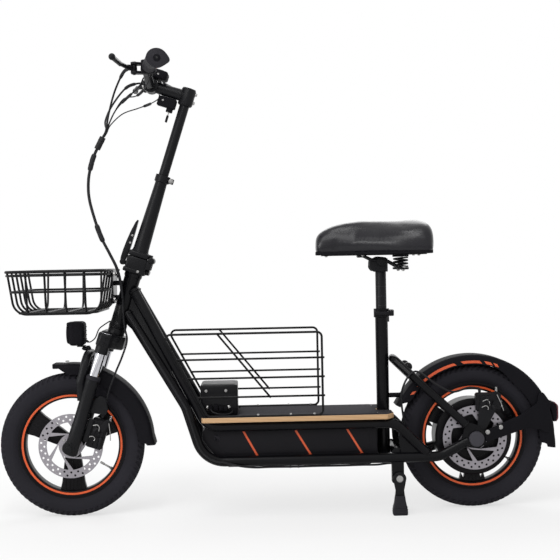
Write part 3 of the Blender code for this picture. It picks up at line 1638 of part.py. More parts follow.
def make_fork_lowers():
    """The two lower legs with the arch that joins them in front of the wheel."""
    lead, foot, top = -LEG_LEAD, -0.018, LEG_TOP
    legs = []
    for name, side in (("fork_lowers", LEFT), ("fork_leg_right", RIGHT)):
        y = side * LEG_Y
        legs.append(
            rod(name, (lead, y, foot), (lead, y, top), LEG_RADIUS, SATIN_PAINT, STEER, sides=16)
        )
    half = [
        Vector((lead - 0.012, LEG_Y - 0.003, 0.120)),
        Vector((lead - 0.027, LEG_Y - 0.002, 0.160)),
        Vector((lead - 0.0325, LEG_Y - 0.010, 0.232)),
    ]
    mirrored = [Vector((p.x, -p.y, p.z)) for p in reversed(half)]
    arch = bar_piece(
        "fork_arch", bent(half + mirrored, 0.032), 0.0095, SATIN_PAINT, STEER, resolution=3
    )
    crown_of_arch = Vector((lead - 0.0325, 0, 0.232))
    away = (crown_of_arch - FRONT_DROP).normalized()
    fender_boss = rod(
        "fork_fender_boss",
        FRONT_DROP + away * (FRONT_FENDER_RADIUS + GAP),
        crown_of_arch,
        0.009,
        SATIN_PAINT,
        STEER,
    )
    lamp_foot = LAMP_LOW - GAP
    lamp_arm = rod(
        "lamp_arm", STEER @ crown_of_arch, (LAMP_BACK - 0.008, 0, lamp_foot - 0.0052), 0.0055, SATIN_PAINT
    )
    lamp_plate = box(
        "lamp_plate", (LAMP_BACK - 0.0205, -0.011, lamp_foot - 0.0035), (LAMP_BACK, 0.011, lamp_foot),
        SATIN_PAINT,
    )
    tools = []
    for side in (LEFT, RIGHT):
        y = side * LEG_Y
        tools.append(
            rod(
                f"leg_bore_{side}", (lead, y, 0.052), (lead, y, top + 0.01),
                STANCHION_RADIUS + RUNNING_GAP, SATIN_PAINT, STEER, sides=16,
            )
        )
    tools.append(
        rod(
            "leg_axle_hole",
            FRONT_DROP - Vector((0, 0.1, 0)),
            FRONT_DROP + Vector((0, 0.1, 0)),
            AXLE_RADIUS + RUNNING_GAP,
            SATIN_PAINT,
            STEER,
            sides=16,
        )
    )
    cut(joined(legs[0], arch, legs[1], fender_boss, lamp_arm, lamp_plate), *tools)


def make_headlight():
    """The headlamp's body with the round rim of its lens."""
    front = LAMP_BACK - 0.040
    high = LAMP_LOW + 0.060
    body = box(
        "headlight", (front, -0.029, LAMP_LOW), (LAMP_BACK, 0.029, high), PLASTIC, bevel=0.006
    )
    middle = (LAMP_LOW + high) / 2
    rim = rod(
        "lamp_rim", (front + 0.004, 0, middle), (front - 0.005, 0, middle), 0.0255, PLASTIC,
        sides=18,
    )
    dish = rod(
        "lamp_dish", (front - 0.006, 0, middle), (front - 0.002, 0, middle), 0.0225, PLASTIC,
        sides=18,
    )
    cut(joined(body, rim), dish)


def make_front_caliper():
    """The front disc brake's caliper behind the left leg, bolted to the leg through its plate."""
    body = box(
        "front_caliper", (0.0125, -0.0525, 0.012), (0.0545, -0.0305, 0.088), ALUMINIUM, STEER,
        bevel=0.004,
    )
    leg_back = -LEG_LEAD + LEG_RADIUS
    bracket = box(
        "front_caliper_plate", (leg_back + GAP, -0.0625, 0.024), (0.0165, -0.0465, 0.082),
        ALUMINIUM, STEER, bevel=0.002,
    )
    slot = rod(
        "front_disc_slot",
        FRONT_DROP + Vector((0, FRONT_DISC_Y - 0.0025, 0)),
        FRONT_DROP + Vector((0, FRONT_DISC_Y + 0.0025, 0)),
        DISC_RADIUS + 0.0035,
        ALUMINIUM,
        STEER,
        sides=48,
    )
    cut(joined(body, bracket), slot)


def make_seat_post():
    rod(
        "seat_post", (SEAT_TUBE_X, 0, SEAT_POST_BOTTOM), (SEAT_TUBE_X, 0, SEAT_POST_TOP),
        SEAT_POST_RADIUS, SATIN_PAINT, sides=16,
    )


def make_saddle_frame():
    """The clamp on the post and the rails that carry the saddle's nose and its springs."""
    body = rod(
        "saddle_frame", (SEAT_TUBE_X, 0, SEAT_POST_TOP - 0.017), (SEAT_TUBE_X, 0, SEAT_POST_TOP + 0.017),
        0.0185, ZINC_STEEL, sides=16,
    )
    clamp_height = SEAT_POST_TOP + 0.009
    clamp = rod(
        "rail_clamp", (SEAT_TUBE_X, -0.028, clamp_height), (SEAT_TUBE_X, 0.028, clamp_height),
        0.012, ZINC_STEEL, sides=16,
    )
    pieces = [clamp]
    rail_radius = 0.0035
    nose_height = SADDLE_BASE_HEIGHT - rail_radius - GAP
    for side in (LEFT, RIGHT):
        path = [
            (SEAT_TUBE_X - 0.057, side * 0.015, nose_height),
            (SEAT_TUBE_X - 0.042, side * 0.018, nose_height),
            (SEAT_TUBE_X - 0.022, side * 0.0220, clamp_height + 0.004),
            (SEAT_TUBE_X + 0.017, side * 0.0220, clamp_height + 0.001),
            (SEAT_TUBE_X + 0.047, side * 0.0240, SPRING_FOOT - 0.001),
            (SPRING_X + 0.001, side * (SPRING_Y - 0.006), SPRING_FOOT - 0.0042),
        ]
        pieces.append(
            bar_piece(f"saddle_rail_{side}", bent(path, 0.012, 2), rail_radius, ZINC_STEEL, resolution=1)
        )
        pieces.append(
            rod(
                f"spring_seat_{side}",
                (SPRING_X, side * SPRING_Y, SPRING_FOOT - 0.0055),
                (SPRING_X, side * SPRING_Y, SPRING_FOOT),
                SPRING_COIL_RADIUS + 0.003,
                ZINC_STEEL,
                sides=16,
            )
        )
    pieces.append(
        rod("rail_nose", (SEAT_TUBE_X - 0.055, -0.016, nose_height), (SEAT_TUBE_X - 0.055, 0.016, nose_height), rail_radius,
            ZINC_STEEL, sides=12)
    )
    bore = rod(
        "post_bore", (SEAT_TUBE_X, 0, SEAT_POST_TOP - 0.05), (SEAT_TUBE_X, 0, SEAT_POST_TOP + GAP),
        SEAT_POST_RADIUS + GAP, ZINC_STEEL, sides=16,
    )
    cut(joined(body, *pieces), bore)


def make_saddle_base():
    """The saddle's pan, with the cups that stand on the springs."""
    half = [
        (SADDLE_FRONT + 0.003, 0.022),
        (SADDLE_FRONT + 0.012, 0.029),
        (SEAT_TUBE_X - 0.109, 0.036),
        (SEAT_TUBE_X - 0.058, 0.052),
        (SEAT_TUBE_X - 0.013, 0.078),
        (SEAT_TUBE_X + 0.036, 0.104),
        (SEAT_TUBE_X + 0.086, 0.121),
        (SEAT_TUBE_X + 0.109, 0.121),
        (SADDLE_REAR - 0.003, 0.108),
    ]
    outline = half + [(x, -y) for x, y in reversed(half)]
    low = SADDLE_BASE_HEIGHT
    body = plate(
        "saddle_base",
        [outline],
        SADDLE_BASE_THICKNESS,
        PLASTIC,
        Matrix.Translation((0, 0, low + SADDLE_BASE_THICKNESS / 2)),
    )
    cups = [
        rod(
            f"spring_cup_{side}",
            (SPRING_X, side * SPRING_Y, SPRING_FOOT + SPRING_HEIGHT + 2 * GAP),
            (SPRING_X, side * SPRING_Y, low + 0.004),
            SPRING_COIL_RADIUS + 0.003,
            PLASTIC,
            sides=16,
        )
        for side in (LEFT, RIGHT)
    ]
    joined(body, *cups)


def make_saddle_cushion():
    """The padded cover: narrow at the nose, wide and dished at the rear."""
    low = SADDLE_BASE_HEIGHT + SADDLE_BASE_THICKNESS + GAP
    stations = [
        (SADDLE_FRONT, 0.0215, 0.040),
        (SADDLE_FRONT + 0.004, 0.0290, 0.050),
        (SADDLE_FRONT + 0.020, 0.0335, 0.064),
        (SEAT_TUBE_X - 0.109, 0.0385, 0.079),
        (SEAT_TUBE_X - 0.068, 0.0520, 0.084),
        (SEAT_TUBE_X - 0.018, 0.0800, 0.083),
        (SEAT_TUBE_X + 0.041, 0.1130, 0.082),
        (SEAT_TUBE_X + 0.094, 0.1280, 0.0855),
        (SEAT_TUBE_X + 0.114, 0.1260, 0.08),
        (SADDLE_REAR, 0.1130, 0.064),
    ]
    rings = []
    for x, half, rise in stations:
        top = SADDLE_BASE_HEIGHT + rise
        sag = 0.012 * half / 0.125
        right = [
            (0, low),
            (half * 0.60, low),
            (half - 0.004, low),
            (half, low + 0.012),
            (half, low + (top - low) * 0.58),
            (half * 0.88, top - 0.007 - sag),
            (half * 0.50, top - 0.001 - sag * 0.2),
        ]
        left = [(-y, z) for y, z in reversed(right[1:])]
        rings.append([(x, y, z) for y, z in right + left])
    body = soften(loft("saddle_cushion", rings, LEATHER), 60)
    round_off = body.modifiers.new("padding", "SUBSURF")
    round_off.levels = 1
    round_off.render_levels = 1


def make_saddle_springs():
    """The two coil springs between the frame's seats and the saddle's cups."""
    wire = SPRING_WIRE_RADIUS
    low = SPRING_FOOT + GAP + wire
    rise = SPRING_HEIGHT - 2 * wire
    per_turn = 10
    count = per_turn * SPRING_TURNS
    print(f"spring: {rise / SPRING_TURNS - 2 * wire:.5f} m between turns")
    for name, side in (("saddle_spring_left", LEFT), ("saddle_spring_right", RIGHT)):
        points = []
        for i in range(count + 1):
            angle = math.tau * i / per_turn
            points.append(
                (
                    SPRING_X + SPRING_COIL_RADIUS * math.cos(angle),
                    side * (SPRING_Y + SPRING_COIL_RADIUS * math.sin(angle)),
                    low + rise * i / count,
                )
            )
        tube(name, points, wire, CHROME, resolution=1)


def make_kickstand():
    """The parking stand on its pin beside the bracket, with its wide rubber foot."""
    x, height = KICKSTAND_X, KICKSTAND_PIVOT_HEIGHT
    inner = -(RAIL_Y + 0.007) - 2 * GAP
    middle = inner - KICKSTAND_THICKNESS / 2
    rounding = 0.0165
    top = [
        (x + rounding * math.cos(a), height + rounding * math.sin(a))
        for a in [math.pi * i / 8 for i in range(9)]
    ]
    outline = top + [(x - 0.0170, 0.036), (x + 0.0170, 0.036)]
    body = plate("kickstand", [outline], KICKSTAND_THICKNESS, SATIN_PAINT, upright(0, middle, 0))
    foot = box(
        "kickstand_foot", (x - 0.0180, middle - 0.0145, 0), (x + 0.0180, middle + 0.0145, 0.047),
        SATIN_PAINT, bevel=0.002,
    )
    head = rod(
        "kickstand_bolt", (x, middle, height), (x, middle - KICKSTAND_THICKNESS / 2 - 0.006, height),
        0.0085, ZINC_STEEL, sides=6,
    )
    pin = rod(
        "kickstand_pin", (x, middle, height), (x, -RAIL_Y + 0.002, height), 0.005, ZINC_STEEL
    )
    joined(body, foot, head, pin)


def cable(name, route, radius, material=CABLE_SHEATH, spacing=0.0137):
    tube(name, flowing(route, spacing), radius, material, resolution=2)


def make_steering_cables():
    """The brake cables from the bar to the sleeve of the loom, and the loom down to the head tube."""
    web_y = LEVER_PIVOT.y - 0.0135
    start_y = web_y - ADJUSTER_LENGTH - GAP
    start_x = LEVER_PIVOT.x - 0.001
    sleeve_top = from_front(0.0940, -0.020, 0.768)
    sleeve_end = from_front(0.0785, -0.020, 0.738)
    along = (sleeve_top - sleeve_end).normalized()
    meet = sleeve_top + along * GAP
    left = [
        (start_x, -start_y, LEVER_PIVOT.z),
        (start_x - 0.0004, -start_y + 0.005, LEVER_PIVOT.z),
        (start_x - 0.012, -start_y + 0.015, LEVER_PIVOT.z + 0.003),
        from_front(0.1565, -0.092, 0.918),
        from_front(0.1305, -0.062, 0.876),
        from_front(0.1115, -0.036, 0.824),
        meet + along * 0.018 + Vector((0, -0.0050, 0)),
        meet + Vector((0, -0.0040, 0)),
    ]
    cable("cable_left", left, CABLE_RADIUS, spacing=0.024)
    right = [
        (start_x, start_y, LEVER_PIVOT.z),
        (start_x - 0.0004, start_y - 0.005, LEVER_PIVOT.z),
        (start_x - 0.014, start_y - 0.014, LEVER_PIVOT.z + 0.002),
        from_front(0.1425, 0.088, 0.905),
        from_front(0.1105, 0.052, 0.856),
        from_front(0.0965, 0.016, 0.812),
        meet + along * 0.018 + Vector((0, 0.0060, 0)),
        meet + Vector((0, 0.0040, 0)),
    ]
    cable("cable_right", right, CABLE_RADIUS, spacing=0.024)
    loom = [
        sleeve_end + along * 0.010,
        sleeve_end - along * 0.012,
        from_front(0.0645, -0.0205, 0.704),
        from_front(0.056, -0.0210, 0.665),
        from_front(0.056, -0.0220, 0.62),
        from_front(0.0675, -0.0240, 0.57),
        from_front(0.0845, -0.0260, 0.519),
        from_front(0.1045, -0.0275, 0.478),
        from_front(0.1215, -0.0285, 0.442),
        from_front(0.1305, -0.0285, 0.405),
        LOOM_END,
    ]
    body = bar_piece("main_loom", flowing(loom, 0.040), LOOM_RADIUS, CABLE_SHEATH, resolution=2)
    sleeve = rod("loom_sleeve", sleeve_top, sleeve_end, 0.0075, CABLE_SHEATH, sides=12)
    joined(body, sleeve)


def make_frame_cables():
    """The front brake cable, the lamp's wire, and the rear brake cable along the left side."""
    caliper_top = Vector((0.0335, FRONT_DISC_Y, 0.088))
    front = [
        LOOM_END + Vector((0.0008, 0.0, -2 * GAP)),
        LOOM_END + Vector((0.0010, 0.0005, -0.030)),
        from_front(0.1385, -0.0310, 0.294),
        from_front(0.1445, -0.0360, 0.26),
        from_front(0.1325, -0.0450, 0.22),
        from_front(0.1155, -0.0510, 0.18),
        from_front(0.0965, -0.0510, 0.13),
        STEER @ (caliper_top + Vector((0, -0.002, 0.022))),
        STEER @ (caliper_top + Vector((0, 0, GAP))),
    ]
    cable("front_brake_cable", front, CABLE_RADIUS, spacing=0.020)
    lamp = [
        (LAMP_BACK + GAP, -0.012, LAMP_LOW + 0.012),
        (LAMP_BACK + 0.004, -0.012, LAMP_LOW + 0.012),
        from_front(0.0485, -0.012, 0.2560),
        from_front(0.0625, -0.012, 0.2660),
        from_front(0.0725, -0.012, 0.2880),
        from_front(0.0875, -0.011, 0.3000),
        from_front(0.1010, -0.010, 0.3080),
    ]
    cable("headlight_wire", lamp, 0.0015, spacing=0.0137)
    out = RAIL_RADIUS + 0.0037
    under = LOWER_RAIL_HEIGHT - out
    beside = [p - Vector((0, out, 0)) for p in lower_rail(LEFT) if p.x < -0.130]
    rear = [
        *beside,
        (-0.1000, -RAIL_Y - 0.0125, LOWER_RAIL_HEIGHT - 0.0105),
        (-0.0650, -RAIL_Y - 0.0050, LOWER_RAIL_HEIGHT - 0.0157),
        (-0.0300, -RAIL_Y, under),
        (SEAT_TUBE_X - 0.062, -0.0800, under),
        (SEAT_TUBE_X - 0.027, -0.0790, under - 0.0005),
        (SEAT_TUBE_X + 0.002, -0.0600, under - 0.0010),
        (SEAT_TUBE_X + 0.04, -0.0500, 0.1240),
        (SEAT_TUBE_X + 0.051, -0.0500, 0.1500),
        (SEAT_TUBE_X + 0.046, -0.0530, 0.2200),
        (SEAT_TUBE_X + 0.04, -0.0680, 0.3000),
        (SEAT_TUBE_X + 0.073, -0.0710, 0.3500),
        from_rear(-0.0945, -0.0780, 0.135),
        from_rear(-0.0565, -0.0750, 0.118),
        from_rear(-0.0165, -0.0620, 0.126),
        from_rear(0.0100, REAR_DISC_Y - 0.0005, 0.1230),
        from_rear(0.0135, REAR_DISC_Y, 0.112 + GAP + 0.005),
        from_rear(0.0135, REAR_DISC_Y, 0.112 + GAP),
    ]
    cable("rear_brake_cable", rear, CABLE_RADIUS, spacing=0.060)


def pivot(name, place, parent=None):
    """An empty on a joint's axis, which carries the pieces that move with that joint."""
    empty = bpy.data.objects.new(name, None)
    empty.empty_display_size = 0.03
    empty.location = place
    PART.objects.link(empty)
    if parent is not None:
        hang(empty, parent)
    return empty


def hang(piece, parent):
    """Parents a piece without moving it."""
    bpy.context.view_layer.update()
    piece.parent = parent
    piece.matrix_parent_inverse = parent.matrix_world.inverted()


def assemble():
    """Parents every piece to the empty of the joint that moves it."""
    frame = pivot("frame_origin", (0, 0, 0))
    steer = pivot("steering_axis", STEER @ Vector((0, 0, HEAD_TUBE_BOTTOM)), frame)
    suspension = pivot("suspension_axis", STEER @ Vector((-LEG_LEAD, 0, LEG_TOP)), steer)
    front_hub = pivot("front_hub_axis", FRONT_AXLE, suspension)
    rear_hub = pivot("rear_hub_axis", REAR_AXLE, frame)
    fold = pivot("fold_axis", STEER @ Vector((FOLD_PIN_BACK, 0, FOLD_HEIGHT)), steer)
    latch = pivot("latch_axis", STEER @ Vector((-LATCH_FORWARD, 0, LATCH_HEIGHT)), steer)
    telescope = pivot("telescope_axis", STEER @ Vector((0, 0, OUTER_STEM_TOP)), fold)
    throttle = pivot("throttle_axis", on_bar(RIGHT, 0.004, 0.1)[0], telescope)
    lever_left = pivot(
        "left_lever_axis", (LEVER_PIVOT.x, -LEVER_PIVOT.y, LEVER_PIVOT.z), telescope
    )
    lever_right = pivot("right_lever_axis", LEVER_PIVOT, telescope)
    button = pivot("horn_button_axis", BUTTON_PLACE, telescope)
    lock = pivot("lock_axis", STEER @ Vector((KEY_BACK, 0, KEY_BOTTOM)), telescope)
    seat = pivot("seat_axis", (SEAT_TUBE_X, 0, SEAT_TUBE_TOP), frame)
    clamp_x = SEAT_TUBE_X + SEAT_TUBE_RADIUS + 0.008
    clamp = pivot("seat_clamp_axis", (clamp_x, -0.0185, SEAT_TUBE_TOP - 0.011), frame)
    stand = pivot("kickstand_axis", (KICKSTAND_X, -RAIL_Y, KICKSTAND_PIVOT_HEIGHT), frame)
    carried = {
        frame: (
            "head_tube frame_side_left frame_side_right seat_tube seat_stays deck_board grip_tape "
            "battery_case battery_pack controller_box cage_left cage_right basket rear_fender "
            "tail_light rear_axle rear_caliper rear_brake_cable"
        ),
        steer: "fork_crown stanchion_left stanchion_right fold_base",
        latch: "fold_latch",
        suspension: (
            "fork_lowers front_fender headlight front_caliper front_axle front_brake_cable "
            "headlight_wire"
        ),
        front_hub: "front_tyre front_wheel front_disc",
        rear_hub: "rear_tyre rear_wheel rear_disc",
        fold: "stem_lower main_loom",
        telescope: (
            "stem_upper handlebar grip_left brake_perch_left brake_perch_right display "
            "key_switch cable_left cable_right"
        ),
        throttle: "grip_right",
        lever_left: "brake_lever_left",
        lever_right: "brake_lever_right",
        button: "horn_button",
        lock: "key",
        seat: (
            "seat_post saddle_frame saddle_base saddle_cushion saddle_spring_left "
            "saddle_spring_right"
        ),
        clamp: "seat_clamp_lever",
        stand: "kickstand",
    }
    for parent, names in carried.items():
        for name in names.split():
            hang(PART.objects[name], parent)


def main():
    make_wheels()
    make_axles()
    make_head_tube()
    make_frame_sides()
    make_seat_tube()
    make_seat_clamp_lever()
    make_seat_stays()
    make_deck()
    make_controller()
    make_battery()
    make_cage()
    make_basket()
    make_front_fender()
    make_rear_fender()
    make_tail_light()
    make_rear_caliper()
    make_fork_upper()
    make_fork_lowers()
    make_headlight()
    make_front_caliper()
    make_fold_base()
    make_fold_latch()
    make_stem_lower()
    make_stem_upper()
    make_handlebar()
    make_grips()
    make_perches()
    make_levers()
    make_horn_button()
    make_display()
    make_key_switch()
    make_seat_post()
    make_saddle_frame()
    make_saddle_base()
    make_saddle_cushion()
    make_saddle_springs()
    make_kickstand()
    make_steering_cables()
    make_frame_cables()
    assemble()


main()
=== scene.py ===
"""Looks of an electric scooter: its surfaces, finishes, camera and studio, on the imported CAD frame.

Sizes are in metres. Z is up, the front is towards -X and the scooter's left side is towards -Y.
Each class builds one sub-assembly out of pieces, and a Piece names its CAD body and the CAD nodes
that it stands for. What turns with the fork is given along the steering axis.
"""

from __future__ import annotations

import json
import logging
import math
from dataclasses import dataclass
from enum import Enum

import bmesh
import bpy
import numpy as np
from mathutils import Matrix


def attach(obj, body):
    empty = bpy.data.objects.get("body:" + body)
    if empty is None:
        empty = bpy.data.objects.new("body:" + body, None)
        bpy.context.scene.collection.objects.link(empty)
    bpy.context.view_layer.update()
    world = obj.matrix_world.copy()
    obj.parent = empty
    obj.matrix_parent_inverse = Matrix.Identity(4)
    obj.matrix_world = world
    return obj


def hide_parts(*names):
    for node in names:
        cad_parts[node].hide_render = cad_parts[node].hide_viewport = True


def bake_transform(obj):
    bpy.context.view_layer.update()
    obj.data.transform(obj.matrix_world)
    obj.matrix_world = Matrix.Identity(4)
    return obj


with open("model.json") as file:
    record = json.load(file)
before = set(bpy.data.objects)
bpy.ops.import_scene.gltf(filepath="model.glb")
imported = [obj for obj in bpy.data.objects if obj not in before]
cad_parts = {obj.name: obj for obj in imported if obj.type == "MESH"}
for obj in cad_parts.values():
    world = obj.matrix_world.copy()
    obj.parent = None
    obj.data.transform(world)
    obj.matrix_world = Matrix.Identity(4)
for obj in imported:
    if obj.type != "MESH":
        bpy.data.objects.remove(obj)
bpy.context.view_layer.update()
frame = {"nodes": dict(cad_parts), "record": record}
LOG = logging.getLogger("scooter")

Array = np.ndarray
Triple = tuple[float, float, float]

# The gap between touching pieces, in metres
GAP = 0.0003
# Chords in the rounded edge of a plate
EDGE_STEPS = 3
# Doubles nearer than the first distance are merged, and edges shorter than the second are dissolved
MERGE_DISTANCE = 1e-6
FLAT_DISTANCE = 1e-7
LEFT, RIGHT = -1, 1
SIDES = {"left": LEFT, "right": RIGHT}


# Surfaces


@dataclass
class Skin:
    """A surface: its points, and its faces grouped by their number of corners."""

    points: Array
    faces: list[Array]

    def placed(self, matrix: Array) -> Skin:
        """The same surface after a placement."""
        return Skin(self.points @ matrix[:3, :3].T + matrix[:3, 3], self.faces)


def unit(vectors: Array) -> Array:
    """Vectors of length one, along the last axis."""
    vectors = np.asarray(vectors, float)
    return vectors / np.maximum(np.linalg.norm(vectors, axis=-1, keepdims=True), 1e-12)


def grid_skin(points: Array, along: bool = False) -> Skin:
    """A skin over a grid of points, whose stations are closed rings.

    Args:
        points: stations along the shape, then points round each station, then x, y, z.
        along: whether the last station meets the first; if not, both end rings get a flat face.

    Returns:
        The skin, whose quads join point (i, j) to its neighbours (i + 1, j) and (i, j + 1).
    """
    rows, columns = points.shape[:2]
    number = np.arange(rows * columns).reshape(rows, columns)
    number = np.hstack([number, number[:, :1]])
    if along:
        number = np.vstack([number, number[:1]])
    quads = np.stack([number[:-1, :-1], number[1:, :-1], number[1:, 1:], number[:-1, 1:]], axis=-1)
    faces = [quads.reshape(-1, 4)]
    if not along:
        faces.append(np.stack([np.arange(columns)[::-1], (rows - 1) * columns + np.arange(columns)]))
    return Skin(points.reshape(-1, 3), faces)


def circle(radius: float, sides: int) -> Array:
    """Points on a circle: radius times the cosine and sine of equal steps of angle."""
    angle = np.linspace(0, 2 * math.pi, sides, endpoint=False)
    return radius * np.stack([np.cos(angle), np.sin(angle)], axis=1)


def bent(corners: list, radius: float, steps: int = 6) -> Array:
    """A path with each corner rounded to an arc, as a bender makes it.

    Args:
        corners: the path's corner points, in two or three dimensions.
        radius: the bend's radius, cut down where a leg is too short for it.
        steps: how many chords each arc has.

    Returns:
        The path's points. An arc runs from one tangent point to the other by slerp about its centre.
    """
    corners = [np.array(c, float) for c in corners]
    points = [corners[0][None]]
    share = np.linspace(0, 1, steps + 1)[:, None]
    for before, corner, after in zip(corners, corners[1:], corners[2:]):
        inward, outward = unit(before - corner), unit(after - corner)
        half = math.acos(float(np.clip(inward @ outward, -1, 1))) / 2
        if half > math.pi / 2 - 1e-4:
            points.append(corner[None])
            continue
        limit = 0.49 * min(np.linalg.norm(before - corner), np.linalg.norm(after - corner))
        reach = min(radius / math.tan(half), limit)
        bend = reach * math.tan(half)
        centre = corner + unit(inward + outward) * bend / math.sin(half)
        first = unit(corner + inward * reach - centre)
        last = unit(corner + outward * reach - centre)
        sweep = math.pi - 2 * half
        arc = (np.sin((1 - share) * sweep) * first + np.sin(share * sweep) * last) / math.sin(sweep)
        points.append(centre + bend * arc)
    return np.vstack([*points, corners[-1][None]])


def rounded(corners: list, radius: float, steps: int = 5) -> Array:
    """A closed outline with each corner rounded to an arc.

    Args:
        corners: the outline's corner points.
        radius: the arcs' radius.
        steps: how many chords each arc has.

    Returns:
        The outline's points, from the middle of its last side.
    """
    ring = [np.array(c, float) for c in corners]
    middle = (ring[-1] + ring[0]) / 2
    return bent([middle, *ring, middle], radius, steps)[:-1]


def rounded_box(x0: float, y0: float, x1: float, y1: float, radius: float, steps: int = 5) -> Array:
    """A rectangle between two corners with rounded corners."""
    return rounded([(x0, y0), (x1, y0), (x1, y1), (x0, y1)], radius, steps)


def both_sides(half: list) -> list:
    """The points of a half, and then their mirror images across Y in reverse order."""
    half = [np.array(point, float) for point in half]
    return half + [point * (1, -1, 1)[: len(point)] for point in reversed(half)]


def collar(inner: float, outer: float, low: float, high: float, edge: float) -> list:
    """The closed profile of a ring whose two outer corners are cut.

    Args:
        inner: the ring's inner radius.
        outer: its outer radius.
        low: its lower height.
        high: its upper height.
        edge: how much is cut off a corner.

    Returns:
        The profile's points (radius, height).
    """
    return [
        (inner, low), (outer - edge, low), (outer, low + edge),
        (outer, high - edge), (outer - edge, high), (inner, high),
    ]


def flowing(route: list, spacing: float = 0.006) -> Array:
    """Points on a Catmull-Rom curve through a route's points, about one spacing apart.

    Args:
        route: the points that the curve goes through.
        spacing: the wished distance between points.

    Returns:
        The curve's points, the route's own points among them.
    """
    route = np.array(route, float)
    ends = np.vstack([2 * route[0] - route[1], route, 2 * route[-1] - route[-2]])
    pieces = []
    for before, a, b, after in zip(ends, ends[1:], ends[2:], ends[3:]):
        count = max(2, round(float(np.linalg.norm(b - a)) / spacing))
        t = np.linspace(0, 1, count, endpoint=False)[:, None]
        square = 2 * before - 5 * a + 4 * b - after
        cube = 3 * a - before - 3 * b + after
        pieces.append((2 * a + (b - before) * t + square * t**2 + cube * t**3) / 2)
    return np.vstack([*pieces, route[-1:]])


def swept(
    path: Array,
    outline: Array,
    across: Triple = (0, 1, 0),
    size: Array | float = 1.0,
    closed: bool = False,
) -> Skin:
    """A closed outline carried along a path.

    Args:
        path: the path's points.
        outline: points (u, v), where v runs towards across and u square to it.
        across: a direction that the path never follows.
        size: a factor on the outline, one number or one for each point of the path.
        closed: whether the path is a loop; if not, its ends get a flat face.

    Returns:
        The skin: path + size (u side + v up), with side and up square to the tangent.
    """
    path = np.asarray(path, float)
    if closed:
        tangent = unit(np.roll(path, -1, 0) - np.roll(path, 1, 0))
    else:
        tangent = unit(np.gradient(path, axis=0))
    side = unit(np.cross(tangent, np.array(across, float)))
    up = np.cross(side, tangent)
    factor = np.broadcast_to(np.asarray(size, float), (len(path),))[:, None, None]
    outline = np.asarray(outline, float)
    ring = outline[None, :, :1] * side[:, None] + outline[None, :, 1:] * up[:, None]
    return grid_skin(path[:, None] + factor * ring, along=closed)


def tube(
    path: Array,
    radius: Array | float,
    sides: int = 20,
    across: Triple = (0, 1, 0),
    closed: bool = False,
) -> Skin:
    """A round bar along a path."""
    return swept(path, circle(1, sides), across, radius, closed)


def axes_along(axis: Triple) -> Array:
    """A turn whose third column is the given direction.

    Args:
        axis: the direction.

    Returns:
        A 3 by 3 turn.
    """
    third = unit(np.array(axis, float))
    helper = np.array((1.0, 0, 0)) if abs(third[0]) < 0.9 else np.array((0, 0, 1.0))
    first = unit(np.cross(helper, third))
    return np.stack([first, np.cross(third, first), third], axis=1)


def turned(
    profile: list | Array,
    origin: Triple = (0, 0, 0),
    axis: Triple = (0, 0, 1),
    steps: int = 48,
    closed: bool = False,
) -> Skin:
    """A profile spun about an axis.

    Args:
        profile: points (radius, height), where height is measured along the axis.
        origin: where height is zero.
        axis: the axis's direction.
        steps: how many facets go round.
        closed: whether the profile is a loop, as for a ring.

    Returns:
        The skin: origin + axis height + radius (first cos a + second sin a).
    """
    profile = np.asarray(profile, float)
    frame_axes = axes_along(axis)
    ring = circle(1, steps)
    spokes = ring[:, :1] * frame_axes[:, 0] + ring[:, 1:] * frame_axes[:, 1]
    points = (
        np.array(origin, float)
        + profile[:, None, 1:] * frame_axes[:, 2]
        + profile[:, None, :1] * spokes[None]
    )
    return grid_skin(points, along=closed)


def rod(start: Triple, end: Triple, radius: float, edge: float = 0.0006, sides: int = 32) -> Skin:
    """A round bar from one point to another with slightly rounded ends.

    Args:
        start: the middle of one end.
        end: the middle of the other end.
        radius: the bar's radius.
        edge: how far each end is rounded.
        sides: how many facets go round.

    Returns:
        The bar's skin.
    """
    start, end = np.array(start, float), np.array(end, float)
    length = float(np.linalg.norm(end - start))
    edge = min(edge, radius * 0.6, length * 0.4)
    profile = [
        (radius - edge, 0), (radius - 0.3 * edge, 0.3 * edge), (radius, edge),
        (radius, length - edge), (radius - 0.3 * edge, length - 0.3 * edge), (radius - edge, length),
    ]
    return turned(profile, start, end - start, sides)


def ball(centre: Triple, size: Triple | float, steps: int = 24) -> Skin:
    """An ellipsoid: centre + size times the unit sphere's points at equal latitudes.

    Args:
        centre: its centre.
        size: its half axes, or a sphere's radius.
        steps: how many facets go round.

    Returns:
        The ellipsoid's skin.
    """
    lift = np.linspace(-math.pi / 2, math.pi / 2, steps // 2 + 1)
    profile = np.stack([np.cos(lift), np.sin(lift)], axis=1)
    skin = turned(profile, steps=steps)
    return Skin(skin.points * np.array(size, float) + np.array(centre, float), skin.faces)


def inset(outline: Array, by: float) -> Array:
    """An outline moved inwards: each corner goes along its mitre, by / cos of half its turn.

    Args:
        outline: the closed outline.
        by: how far each side moves inwards.

    Returns:
        The new outline.
    """
    before = unit(outline - np.roll(outline, 1, 0))
    after = unit(np.roll(outline, -1, 0) - outline)
    area = np.sum(outline[:, 0] * np.roll(outline[:, 1], -1) - outline[:, 1] * np.roll(outline[:, 0], -1))
    normal_a = np.stack([-before[:, 1], before[:, 0]], 1)
    normal_b = np.stack([-after[:, 1], after[:, 0]], 1)
    mitre = unit(normal_a + normal_b)
    stretch = np.maximum(np.sum(mitre * normal_a, 1), 0.35)[:, None]
    return outline + math.copysign(by, area) * mitre / stretch


